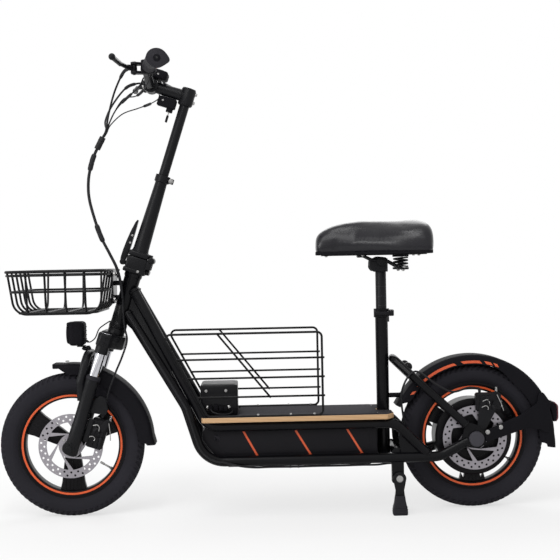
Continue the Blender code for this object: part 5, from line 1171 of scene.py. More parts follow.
@dataclass
class FrameSides:
    """The two long tubes of each side, with their gussets, dropouts and welds."""

    radius: float = 0.0125
    gusset: float = 0.004
    dropout: float = 0.006

    def build(self) -> None:
        """Makes a piece for each side."""
        for name, side in SIDES.items():
            self.side(name, side)

    def side(self, name: str, side: int) -> None:
        """Makes one side's tubes, plates and beads.

        Args:
            name: the side's name.
            side: the side of the frame.
        """
        deck_rail = bent(
            [
                DECK_RAIL_HEAD * (1, side, 1), (-0.180, side * RAIL_Y, DECK_RAIL_HEIGHT),
                (DECK_REAR + 0.003, side * RAIL_Y, DECK_RAIL_HEIGHT),
                (DECK_REAR + 0.090, side * (RAIL_Y - 0.0035), LOWER_RAIL_HEIGHT - 0.002),
            ],
            radius=0.045, steps=10,
        )
        lower = lower_rail(side)
        drop_y = side * DROPOUT_Y
        piece = Piece(f"frame_tubes_{name}", "frame", f"frame_side_{name}")
        piece.add(FRAME_COAT, tube(deck_rail, self.radius, sides=28), tube(lower, self.radius, sides=28))
        piece.add(FRAME_COAT, self.web(side), self.rear_plate(side), self.drop(drop_y))
        head = DECK_RAIL_HEAD * (1, side, 1)
        inward = unit(deck_rail[1] - deck_rail[0])
        piece.add(FRAME_COAT, collar_bead(head + inward * 0.006, inward, self.radius + 0.0003))
        head = LOWER_RAIL_HEAD * (1, side, 1)
        inward = unit(lower[1] - lower[0])
        piece.add(FRAME_COAT, collar_bead(head + inward * 0.006, inward, self.radius + 0.0003))
        foot = from_rear(-0.030, side * 0.0705, -0.0135)
        bead = collar_bead(foot, unit(lower[-1] - lower[-2]), self.radius + 0.0002, radius=0.0018)
        piece.add(FRAME_COAT, bead)
        joint = np.array((DECK_REAR + 0.083, side * 0.0768, 0.1475))
        piece.add(FRAME_COAT, collar_bead(joint, unit(deck_rail[-1] - deck_rail[-2]), self.radius + 0.0004))
        if side == LEFT:
            bracket = rounded_box(0.272, 0.0765, 0.302, 0.135, radius=0.006)
            hole = circle(0.0053, sides=20) + np.array((0.290, 0.0885))
            piece.add(FRAME_COAT, pierced([bracket, hole], thickness=0.0135, matrix=upright(0, -RAIL_Y, 0)))
        piece.make(angle=40)

    def web(self, side: int) -> Skin:
        """The sheet between the two tubes behind the head tube, a strip between two lines in space.

        Args:
            side: the side of the frame.

        Returns:
            The sheet's skin.
        """
        rows = []
        share = np.linspace(0, 1, 12)[:, None]
        for head, foot, reach in (
            (DECK_RAIL_HEAD, np.array((-0.180, RAIL_Y, DECK_RAIL_HEIGHT)), (0.004, 0.230)),
            (LOWER_RAIL_HEAD, np.array((-0.232, RAIL_Y, 0.275)), (0.004, 0.185)),
        ):
            along = unit(foot - head)
            rows.append((head + along * (reach[0] + (reach[1] - reach[0]) * share)) * (1, side, 1))
        across = np.linspace(0, 1, 5)[:, None, None]
        points = rows[0][None] * (1 - across) + rows[1][None] * across
        return shell(points, self.gusset)

    def rear_plate(self, side: int) -> Skin:
        """The plate between the deck tube's falling end and the lower tube.

        Args:
            side: the side of the frame.

        Returns:
            The plate's skin.
        """
        low = LOWER_RAIL_HEIGHT + 0.003
        outline = [
            (DECK_REAR + 0.0105, DECK_RAIL_HEIGHT - 0.013), (DECK_REAR + 0.0125, DECK_RAIL_HEIGHT - 0.055),
            (DECK_REAR + 0.0175, low), (DECK_REAR + 0.0700, low), (DECK_REAR + 0.0650, low + 0.018),
            (DECK_REAR + 0.0200, DECK_RAIL_HEIGHT - 0.019),
        ]
        return plate(
            np.array(outline), -self.gusset / 2, self.gusset / 2, edge=0.0008,
            matrix=upright(0, side * 0.079, 0),
        )

    def drop(self, y: float) -> Skin:
        """The dropout: a plate that holds the axle, with a hole for it.

        Args:
            y: where the plate's middle is.

        Returns:
            The plate's skin.
        """
        away = unit(STAY_END - STAY_KNEE)
        across = np.array((away[2], 0, -away[0])) * 0.0105
        seat = STAY_END + away * GAP
        outline = np.array([
            (-0.0385, -0.014), (seat + across - REAR_AXLE)[[0, 2]], (seat - across - REAR_AXLE)[[0, 2]],
            (0.0075, 0.032), (0.0245, 0.016), (0.0245, -0.012), (0.0075, -0.025), (-0.0265, -0.020),
        ])
        ring = rounded(outline.tolist(), radius=0.004, steps=3)
        return pierced([ring, circle(0.0063, sides=24)], self.dropout, upright(REAR_AXLE[0], y, REAR_AXLE[2]))


@dataclass
class HeadTube:
    """The steering tube with its headset cups, its web, and the plate that carries the basket."""

    bottom: float = 0.311
    top: float = 0.459
    radius: float = 0.0205
    cup: float = 0.0225
    plate_x: float = -0.4117

    def build(self) -> None:
        """Makes the head tube."""
        low, high, radius, cup = self.bottom, self.top, self.radius, self.cup
        profile = [
            (0.0162, high), (cup - 0.0008, high), (cup, high - 0.001), (cup, high - 0.0115),
            (cup - 0.0006, high - 0.0125), (radius + 0.0004, high - 0.0145), (radius, high - 0.016),
            (radius, low + 0.016), (radius + 0.0004, low + 0.0145), (cup - 0.0006, low + 0.0125),
            (cup, low + 0.0115), (cup, low + 0.001), (cup - 0.0008, low), (0.0162, low),
        ]
        body = turned(profile, steps=72, closed=True).placed(STEER)
        rings = [
            turned([(cup, h - 0.0007), (cup + 0.0006, h), (cup, h + 0.0007)], steps=72).placed(STEER)
            for h in (high - 0.004, low + 0.004)
        ]
        x = self.plate_x
        place = moved(x, 0, 0) @ spun(math.pi / 2, "Y")
        flange = plate(
            rounded_box(-0.617, -0.045, -0.532, 0.045, radius=0.008), 0.0, 0.003, edge=0.0008, matrix=place,
        )
        arms, bolts = [], []
        for height in (0.547, 0.583):
            along = (height - STEER_BASE[2]) / math.cos(HEAD_LEAN)
            tube_x = STEER_BASE[0] + along * math.sin(HEAD_LEAN)
            box = block(
                (x + 0.001, -0.012, height - 0.006), (tube_x - 0.008, 0.012, height + 0.006), edge=0.002,
            )
            arms.append(box)
        for y in (-0.034, 0.034):
            for height in (0.543, 0.606):
                bolts.append(hex_bolt((x + 0.003, y, height), (1, 0, 0), size=0.0045, height=0.0035))
        web = plate(
            np.array([
                (0.1385, 0.3005), (0.1665, 0.273), (0.1825, 0.264), (0.1885, 0.29), (0.1625, 0.365),
                (0.1505, 0.378),
            ]) + FRONT_AXLE[[0, 2]],
            -0.002, 0.002, edge=0.0008, matrix=upright(),
        )
        piece = Piece("head_tube_weldment", "frame", "head_tube")
        piece.add(FRAME_COAT, body, flange, web, *arms, *rings).add(ZINC, *bolts).make()


@dataclass
class SeatMast:
    """The seat tube with its slit collar, its cross tube, the stays round it, and the quick release."""

    radius: float = 0.0159
    top: float = 0.505
    foot: float = 0.1315
    stay: float = 0.0105

    def build(self) -> None:
        """Makes the seat tube, the stays and the clamp's lever."""
        self.tube()
        self.stays()
        self.lever()

    def tube(self) -> None:
        """The tube: a hollow profile whose collar is thicker, with its slit drawn as a thin block of painted
        shade, and two ears behind.
        """
        radius, top, foot = self.radius, self.top, self.foot
        profile = [
            (0.0139, top), (radius + 0.0029, top), (radius + 0.0035, top - 0.0006),
            (radius + 0.0035, top - 0.0214), (radius + 0.0029, top - 0.022), (radius + 0.0004, top - 0.0225),
            (radius, top - 0.024), (radius, foot), (0.0139, foot),
        ]
        body = turned(profile, (SEAT_TUBE_X, 0, 0), steps=64, closed=True)
        x, z = SEAT_TUBE_X + radius + 0.0095, LOWER_RAIL_HEIGHT + 0.011
        cross = rod((x, -0.0767, z), (x, 0.0767, z), radius=0.011)
        beads = [
            collar_bead(np.array((x, side * 0.074, z)), np.array((0, 1.0, 0)), ring=0.0112)
            for side in (LEFT, RIGHT)
        ]
        ears = [
            block(
                (SEAT_TUBE_X + radius, y, top - 0.019),
                (SEAT_TUBE_X + radius + 0.014, y + 0.0108, top - 0.003), edge=0.0015,
            )
            for y in (-0.012, 0.0012)
        ]
        nut = hex_bolt(
            (SEAT_TUBE_X + radius + 0.008, 0.012, top - 0.011), (0, 1, 0), size=0.0048, height=0.004,
        )
        # A thin dark block in the collar's slit: painted shade where the slit opens
        line = block(
            (SEAT_TUBE_X + radius - 0.001, -0.0009, top - 0.034),
            (SEAT_TUBE_X + radius + 0.0038, 0.0009, top + 0.0002), edge=0.0003,
        )
        piece = Piece("seat_tube_weldment", "frame", "seat_tube")
        piece.add(FRAME_COAT, body, cross, *beads, *ears).add(DARK_GLASS_AND_GAP_SHADE, line).add(ZINC, nut).make()

    def stays(self) -> None:
        """The stays: one tube bent round the seat tube, from dropout to dropout."""
        wrap = SEAT_TUBE_X + self.radius + GAP + self.stay
        half = [
            np.array((STAY_END[0], DROPOUT_Y, STAY_END[2])), np.array((STAY_KNEE[0], 0.053, STAY_KNEE[2])),
            np.array((wrap, 0.022, STAY_KNEE[2] + 0.040)),
        ]
        path = bent(both_sides(half), radius=0.022, steps=8)
        piece = Piece("bent_stays", "frame", "seat_stays")
        piece.add(FRAME_COAT, tube(path, self.stay, sides=24, across=(0.1, 0, 1)))
        for side in (LEFT, RIGHT):
            away = unit(STAY_END - STAY_KNEE)
            end = np.array((STAY_END[0], side * DROPOUT_Y, STAY_END[2]))
            piece.add(FRAME_COAT, collar_bead(end - away * 0.004, away, self.stay))
            knee = np.array((STAY_KNEE[0] - 0.0075, side * 0.0345, STAY_KNEE[2] + 0.021))
            piece.add(FRAME_COAT, ball(tuple(knee), size=0.0112, steps=20))
        piece.make(angle=60)

    def lever(self) -> None:
        """The quick release: a cam barrel with its lever, a bar that flattens towards its end."""
        pivot = np.array((SEAT_TUBE_X + self.radius + 0.008, -0.0185, self.top - 0.011))
        barrel = rod(pivot - (0, 0, 0.007), pivot + (0, 0, 0.007), radius=0.006)
        path = bent(
            [pivot, pivot + (-0.012, -0.0075, 0), pivot + (-0.030, -0.0075, 0), pivot + (-0.044, -0.0055, 0)],
            radius=0.010,
        )
        share = np.linspace(0, 1, len(path))
        arm = swept(path, circle(1, sides=20) * (0.62, 1.35), (0, 0, 1), 0.0032 + 0.0014 * share)
        piece = Piece("quick_release_lever", "seat_clamp", "seat_clamp_lever")
        piece.add(BLACK_ALLOY, barrel, arm).make()


@dataclass
class Deck:
    """The plywood board, its grip sheet, the controller on its front, and the battery under it."""

    half: float = 0.108
    front: float = -0.200
    thickness: float = 0.012
    case_floor: float = 0.122
    case_half: float = 0.0663
    case_rear: float = 0.240

    def build(self) -> None:
        """Makes the deck's pieces."""
        self.board()
        self.sheet()
        self.controller()
        self.battery()

    def board(self) -> None:
        """The board: the outline of the CAD board, with rounded corners and a sealed edge."""
        half, front = self.half, self.front
        rear_slot = 0.0167
        side = [
            (front, 0.0595), (front + 0.050, 0.0595), (front + 0.050, 0.094), (front + 0.003, 0.094),
            (front + 0.010, half), (DECK_REAR - 0.018, half), (DECK_REAR, half - 0.030),
            (DECK_REAR, rear_slot), (SEAT_TUBE_X - rear_slot, rear_slot),
        ]
        outline = rounded(both_sides(side), radius=0.006, steps=3)
        skin = plate(outline, DECK_TOP - self.thickness, DECK_TOP, edge=0.0008)
        piece = Piece("plywood_board", "frame", "deck_board").add(PLYWOOD, skin)
        sheet = plate(inset(outline, by=0.0016), DECK_TOP - 0.0006, DECK_TOP + 0.0002, edge=0.0002)
        piece.add(GRIT_SHEET, sheet)
        bolts = []
        for x in (-0.128, 0.235):
            for y in (-0.078, 0.078):
                bolts.append(socket_bolt((x, y, DECK_TOP - 0.0006), (0, 0, 1), size=0.0055, height=0.0016))
        piece.add(ZINC, *bolts).make(angle=30)

    def sheet(self) -> None:
        """The grip sheet: a thin plate of grit."""
        x0, x1, y = -0.101, DECK_REAR - 0.042, self.half - 0.010
        skin = plate(
            rounded_box(x0, -y, x1, y, radius=0.006), DECK_TOP + GAP, DECK_TOP + GAP + 0.0014, edge=0.0004,
        )
        Piece("grit_sheet", "frame", "grip_tape").add(GRIT_SHEET, skin).make()

    def controller(self) -> None:
        """The controller's housing: a casting with its lid and bolts, its plugs and its short leads."""
        low, high = (self.front + 0.003, -0.058, DECK_TOP + GAP), (-0.105, 0.058, DECK_TOP + 0.076)
        piece = Piece("controller_housing", "frame", "controller_box")
        piece.add(BLACK_ALLOY, block(low, high, edge=0.004))
        lid = rounded_box(low[0] + 0.006, -0.050, high[0] - 0.006, 0.050, radius=0.006)
        piece.add(BLACK_ALLOY, plate(lid, high[2] - 0.001, high[2] + 0.0012, edge=0.0008))
        box = block(
            (low[0] + 0.004, low[1] - 0.0016, low[2] + 0.046),
            (high[0] - 0.004, low[1] + 0.002, high[2] - 0.004), edge=0.0012,
        )
        piece.add(BLACK_ALLOY, box)
        for x in (-0.183, -0.134):
            bolt = socket_bolt((x, low[1] - 0.0016, high[2] - 0.0145), (0, -1, 0), size=0.0038, height=0.002)
            piece.add(ZINC, bolt)
        for x, tall in ((-0.172, 0.013), (-0.158, 0.015), (-0.146, 0.013), (-0.135, 0.011)):
            box = block(
                (x - 0.0055, low[1] - 0.010, low[2] + 0.012),
                (x + 0.0045, low[1] + 0.001, low[2] + 0.012 + tall), edge=0.0012,
            )
            piece.add(BLACK_ABS, box)
        for x in (-0.180, -0.127):
            piece.add(ZINC, ball((x, low[1] - 0.003, low[2] + 0.020), (0.005, 0.004, 0.006), steps=16))
        route = [
            (-0.172, -0.068, low[2] + 0.016), (-0.166, -0.074, low[2] + 0.010),
            (-0.150, -0.076, low[2] + 0.005), (-0.132, -0.072, low[2] + 0.004),
            (-0.121, -0.064, low[2] + 0.007), (-0.118, -0.056, low[2] + 0.012),
        ]
        piece.add(CABLE_PVC, tube(flowing(route, spacing=0.003), radius=0.0022, sides=12, across=(0, 0, 1)))
        piece.make()

    def battery(self) -> None:
        """The battery tray: a moulded tub with raised side panels, three slashes a side, and screws."""
        top, floor, rear, half = 0.2377, self.case_floor, self.case_rear, self.case_half
        outline = rounded(
            [(-0.170, top), (-0.194, 0.212), (-0.194, 0.190), (-0.150, 0.134), (-0.130, floor),
             (rear - 0.018, floor), (rear, floor + 0.016), (rear, top)], radius=0.004, steps=3,
        )
        piece = Piece("battery_tray", "frame", "battery_case")
        piece.add(BATTERY_ABS, plate(outline, -half + 0.0012, half - 0.0012, edge=0.003, matrix=upright()))
        for side in (LEFT, RIGHT):
            panel = rounded(
                [(-0.160, 0.2115), (-0.172, 0.200), (-0.139, 0.1545), (0.219, 0.1545), (0.219, 0.2115)],
                radius=0.005, steps=3,
            )
            y = side * (half - 0.0012)
            face = sorted((0.0, -side * 0.0010))
            sheet = plate(panel, face[0], face[1] + 0.0002, edge=0.0004, matrix=upright(0, y, 0))
            piece.add(BATTERY_ABS, sheet)
            wide = 0.0029
            for top_x, foot_x in ((-0.092, -0.059), (0.037, 0.073), (0.165, 0.201)):
                slash = np.array([(top_x - wide, 0.2100), (foot_x - wide, 0.1500),
                                  (foot_x + wide, 0.1500), (top_x + wide, 0.2100)])
                low, high = sorted((-side * 0.0008, -side * 0.0014))
                piece.add(ORANGE_VINYL, plate(slash, low, high, edge=0.0002, matrix=upright(0, y, 0)))
            for x in (-0.150, -0.020, 0.110, 0.226):
                bolt = socket_bolt(
                    (x, side * (half - 0.0014), 0.2235), (0, side, 0), size=0.0035, height=0.0014,
                )
                piece.add(ZINC, bolt)
            bar = rod((-0.157, y, 0.196), (-0.157, y + side * 0.0012, 0.196), radius=0.0095, edge=0.0005)
            piece.add(CAP_RUBBER, bar)
        piece.make(angle=30)
        pack = block((-0.138, -0.0627, 0.1253), (0.130, 0.0627, 0.210), edge=0.003)
        Piece("cell_pack", "frame", "battery_pack").add(BATTERY_ABS, pack).make()


@dataclass
class LuggageCage:
    """The luggage cage: two wire panels with rounded corners, four rails each and a slanted brace."""

    y: float = 0.1035
    base: float = 0.2528
    height: float = 0.2025
    rear: float = 0.104
    lean: float = -0.53
    wire: float = 0.0025

    def build(self) -> None:
        """Makes both panels."""
        for name, side in SIDES.items():
            self.panel(name, side)

    def front(self, z: float) -> float:
        """Where the leaning front wire is at a height."""
        return -0.178 + self.lean * (z - self.base)

    def panel(self, name: str, side: int) -> None:
        """One panel: a rounded loop of wire, crossed by rails whose tips show behind the rear post.

        Args:
            name: the side's name.
            side: the side of the deck.
        """
        y, base, top = side * self.y, self.base, self.base + self.height
        loop = rounded(
            [
                (self.front(base), y, base), (self.front(top), y, top), (self.rear, y, top),
                (self.rear, y, base),
            ],
            radius=0.012, steps=6,
        )
        skins = [tube(loop, self.wire + 0.0003, sides=16, across=(0, 1, 0), closed=True)]
        inner = y - side * 0.0032
        for share in (0.23, 0.46, 0.69):
            z = base + self.height * share
            bar = rod(
                (self.front(z) - 0.002, inner, z), (self.rear + 0.006, inner, z), self.wire, edge=0.0008,
                sides=16,
            )
            skins.append(bar)
        foot = base + self.height * 0.23
        bar = rod(
            (-0.023, inner + side * 0.0012, foot - 0.003), (-0.152, inner + side * 0.0012, top), self.wire,
            edge=0.0008, sides=16,
        )
        skins.append(bar)
        piece = Piece(f"cage_wires_{name}", "frame", f"cage_{name}").add(WIRE_COAT, *skins)
        for x in (-0.060, 0.020, 0.078):
            tab = rounded_box(x - 0.009, y - 0.0035, x + 0.009, y + 0.0035, radius=0.002)
            piece.add(ZINC, plate(tab, DECK_TOP + 0.0002, DECK_TOP + 0.0014, edge=0.0004))
            bolt = hex_bolt(
                (x + 0.005, y - side * 0.001, base + 0.0015), (0, 0, 1), size=0.0030, height=0.002,
            )
            piece.add(ZINC, bolt)
        strap = rounded_box(self.front(base) + 0.030, y - 0.0045, self.rear - 0.004, y + 0.0045, radius=0.002)
        piece.add(WIRE_COAT, plate(strap, DECK_TOP + 0.0002, DECK_TOP + 0.0026, edge=0.0006))
        piece.make(angle=50)


@dataclass
class FrontBasket:
    """The front basket: a rim, hoops that run down one wall, across the floor and up the other, and rings."""

    back: float = -0.414
    length: float = 0.240
    half: float = 0.165
    top: float = 0.617
    height: float = 0.105
    wire: float = 0.0028

    def build(self) -> None:
        """Makes the basket's wires."""
        x1, x0 = self.back, self.back - self.length
        low, high = self.top - self.height, self.top
        skins = []
        for z, inset_by, thick, corner in (
            (high - 0.0016, 0.0, 0.0036, 0.030), (high - 0.0105, 0.0010, 0.0028, 0.030),
            (low + 0.055, 0.0085, self.wire, 0.032),
            (low + 0.0035, 0.026, self.wire, 0.030),
        ):
            a, b, c = x0 + inset_by, x1 - inset_by, self.half - inset_by
            loop = rounded([(a, -c, z), (b, -c, z), (b, c, z), (a, c, z)], corner, steps=10)
            skins.append(tube(loop, thick, sides=16, across=(0, 0, 1), closed=True))
        drop = 0.026
        for y in (-0.135, -0.081, -0.027, 0.027, 0.081, 0.135):
            path = bent(
                [
                    (x0 + 0.002, y, high), (x0 + drop * 0.72, y, low + 0.001),
                    (x1 - drop * 0.72, y, low + 0.001), (x1 - 0.002, y, high),
                ],
                radius=0.034, steps=8,
            )
            skins.append(tube(path, self.wire, sides=12, across=(0, 1, 0)))
        for x in (-0.603, -0.558, -0.510, -0.463):
            path = bent(
                [
                    (x, -self.half + 0.002, high), (x, -self.half + drop * 0.72, low + 0.004),
                    (x, self.half - drop * 0.72, low + 0.004), (x, self.half - 0.002, high),
                ],
                radius=0.030, steps=8,
            )
            skins.append(tube(path, self.wire, sides=12, across=(1, 0, 0)))
        piece = Piece("basket_wires", "frame", "basket").add(WIRE_COAT, *skins)
        for z in (low + 0.028, low + 0.092):
            box = block((x1 - 0.0085, -0.042, z - 0.006), (x1 + 0.0012, 0.042, z + 0.006), edge=0.0015)
            piece.add(WIRE_COAT, box)
            for y in (-0.036, -0.018, 0.018, 0.036):
                piece.add(ZINC, hex_bolt((x1 - 0.0085, y, z), (-1, 0, 0), size=0.0034, height=0.0026))
        piece.make(angle=60)


# Fenders and lamps


@dataclass
class Fender:
    """A fender: a rounded channel carried round the axle, whose skirts grow deeper along it.

    It runs from the angle first to the angle last, in degrees above the ground line behind the
    axle. Its skirts grow by deeper from the share deepens of its length, and its front end narrows
    over the share point. Each stripe is a pair of such angles.
    """

    name: str
    body: str
    axle: Array
    radius: float
    first: float
    last: float
    skirt: float
    deeper: float
    deepens: float
    point: float
    half: float = 0.037
    wall: float = 0.003
    stripes: tuple[tuple[float, float], ...] = ()

    def channel(self) -> Skin:
        """The wall over a grid: stations by angle, and a section of crown, corners and skirts.

        Returns:
            The fender's skin.
        """
        stations = 84
        share = np.linspace(0, 1, stations)
        angle = np.radians(self.first + (self.last - self.first) * share)[:, None]
        flare = 0.004 * np.clip((0.06 - share) / 0.06, 0, 1) + 0.005 * np.clip((share - 0.94) / 0.06, 0, 1)
        rise = np.clip((share - self.deepens) / 0.16, 0, 1)
        depth = self.skirt + self.deeper * rise * rise * (3 - 2 * rise)
        tip = np.clip(share / self.point, 0.22, 1) * np.clip((1 - share) / 0.02, 0.55, 1)
        depth = (depth * tip)[:, None]
        corner = bent(
            [
                (-self.half, -0.020), (-self.half, -0.003), (self.half, -0.003), (self.half, -0.020),
            ], radius=0.013, steps=8,
        )
        top = corner[1:-1]
        crown = 0.003 * (1 - (top[:, 0] / self.half) ** 2)
        edge = np.linspace(1, 0, 6)[:-1]
        left = -self.half * np.ones(5)
        across = np.concatenate([left, top[:, 0], -left])[None]
        first_drop, last_drop = top[0, 1], top[-1, 1]
        fall_left = first_drop * (1 - edge) - depth * edge
        fall_right = (last_drop * (1 - edge) - depth * edge)[:, ::-1]
        middle = np.broadcast_to(top[:, 1] + crown, (stations, len(top)))
        drop = np.concatenate([fall_left, middle, fall_right], axis=1) + flare[:, None]
        radius = self.radius - self.wall / 2 + drop
        spread = np.broadcast_to(across, radius.shape)
        points = self.axle + np.stack([radius * np.cos(angle), spread, radius * np.sin(angle)], -1)
        return shell(points, self.wall)

    def stripe(self, start: float, end: float, side: int) -> Skin:
        """A thin stripe with slanted ends on a skirt, between two angles and two radii.

        Args:
            start: the stripe's first angle, in degrees.
            end: its last angle.
            side: the side of the fender.

        Returns:
            The stripe's skin.
        """
        along = np.linspace(0, 1, 24)[:, None]
        up = np.linspace(0, 1, 3)[None]
        angle = np.radians(start + (end - start) * along + 2.2 * (up - 0.5))
        radius = self.radius - 0.0228 + 0.0066 * up + 0 * along
        y = np.full_like(radius, side * (self.half + self.wall / 2 + 0.0003))
        points = self.axle + np.stack([radius * np.cos(angle), y, radius * np.sin(angle)], -1)
        return shell(points, wall=0.0005)

    def build(self) -> None:
        """Makes the fender with its stripes, and the rear one's arms."""
        piece = Piece(f"{self.name}_shell", self.body, self.name).add(BLACK_ABS, self.channel())
        for side in (LEFT, RIGHT) if self.stripes else ():
            piece.add(ORANGE_VINYL, *[self.stripe(a, b, side) for a, b in self.stripes])
            self.arm(piece, side)
        if self.stripes:
            piece.add(BLACK_ABS, rod((0.2782, 0, 0.285), (0.3070, 0, 0.285), radius=0.006))
        else:
            crown = tuple(self.axle + (-0.010, 0, self.radius + 0.0016))
            piece.add(BLACK_ALLOY, socket_bolt(crown, (0, 0, 1), size=0.005, height=0.002))
        piece.make(angle=40)

    def arm(self, piece: Piece, side: int) -> None:
        """The arm from the axle to the fender's tail, with its bolts.

        Args:
            piece: the piece that takes its skins.
            side: the side of the fender.
        """
        foot, reach = self.axle[0] + 0.0215, self.radius - 0.033
        foot_y, tail_y = side * 0.0766, side * 0.036
        lean = math.atan2(tail_y - foot_y, reach)
        place = moved(foot, foot_y, self.axle[2]) @ spun(lean, "Z") @ spun(math.pi / 2, "X")
        outline = rounded(
            [
                (0.000, -0.009), (0.060, 0.006), (reach - 0.0645, 0.020), (reach - 0.0245, 0.015),
                (reach - 0.0025, 0.000), (reach + 0.0035, 0.082), (reach - 0.0245, 0.120),
                (reach - 0.0325, 0.082), (reach - 0.0745, 0.056), (0.050, 0.038), (0.000, 0.020),
            ],
            radius=0.010, steps=4,
        )
        piece.add(BLACK_ABS, plate(outline, -0.00225, 0.00225, edge=0.0015, matrix=place))
        for x, z in ((0.0060, 0.0165), (0.0410, 0.0270)):
            face = place[:3, :3] @ np.array((x, z, side * -0.0022)) + place[:3, 3]
            piece.add(ZINC, hex_bolt(tuple(face), (0, side, 0), size=0.0042, height=0.0032))


@dataclass
class Lamps:
    """The head lamp with its glass and hood, and the tail lamp."""

    low: float = 0.428
    back: float = -0.4855

    def build(self) -> None:
        """Makes both lamps."""
        low, back = self.low, self.back
        front, high = back - 0.040, low + 0.060
        middle = (front, 0, low + 0.030)
        shell_box = block((front, -0.029, low), (back, 0.029, high), edge=0.009)
        hood = block((front - 0.004, -0.026, high - 0.012), (front + 0.012, 0.026, high - 0.001), edge=0.004)
        rim = turned(
            [
                (0.0225, 0.004), (0.0245, 0.0050), (0.0258, 0.0035), (0.0260, -0.004), (0.0205, -0.004),
                (0.0205, 0.001),
            ],
            middle, (-1, 0, 0), steps=64, closed=True,
        )
        glass = turned(
            [(0.0222, 0.0005), (0.018, 0.0024), (0.010, 0.0034), (0.0, 0.0038)], middle, (-1, 0, 0), steps=48,
        )
        bowl = turned([(0.0212, 0.0004), (0.012, -0.0012), (0.0, -0.0018)], middle, (-1, 0, 0), steps=48)
        chips = [
            block(
                (front - 0.0008, y - 0.003, middle[2] + z - 0.003),
                (front + 0.0012, y + 0.003, middle[2] + z + 0.003), edge=0.0006,
            )
            for y in (-0.007, 0.007) for z in (-0.007, 0.007)
        ]
        fins = [block((back - 0.002, -0.022, low + h), (back + 0.0007, 0.022, low + h + 0.0025), edge=0.0005)
                for h in (0.014, 0.024, 0.034, 0.044)]
        piece = Piece("head_lamp", "fork_lower", "headlight").add(BLACK_ABS, shell_box, hood, rim, *fins)
        piece.add(CHROME, bowl).add(LAMP_CHIP, *chips).add(CLEAR_ACRYLIC, glass)
        bolt = hex_bolt((back - 0.010, 0, low - 0.0005), (0, 0, -1), size=0.004, height=0.003)
        piece.add(ZINC, bolt)
        piece.make()
        rear = REAR_AXLE[0] + 0.218
        rise = np.linspace(0.032, 0.081, 9)
        seat = REAR_AXLE[0] + np.sqrt(0.2078**2 - rise**2) + GAP
        outline = np.vstack(
            [
                np.column_stack([seat, rise + REAR_AXLE[2]]),
                [
                    (rear - 0.009, 0.261), (rear - 0.0015, 0.2535), (rear, 0.249), (rear, 0.222),
                    (rear - 0.0015, 0.217), (rear - 0.005, 0.212),
                ],
            ]
        )
        lens = plate(outline, -0.026, 0.026, edge=0.0025, matrix=upright())
        band = outline.copy()
        band[9:, 0] -= 0.0040
        base = plate(band, -0.0266, 0.0266, edge=0.0012, matrix=upright())
        Piece("tail_lamp", "frame", "tail_light").add(RED_ACRYLIC, lens).add(BLACK_ABS, base).make()


# Fork and brakes


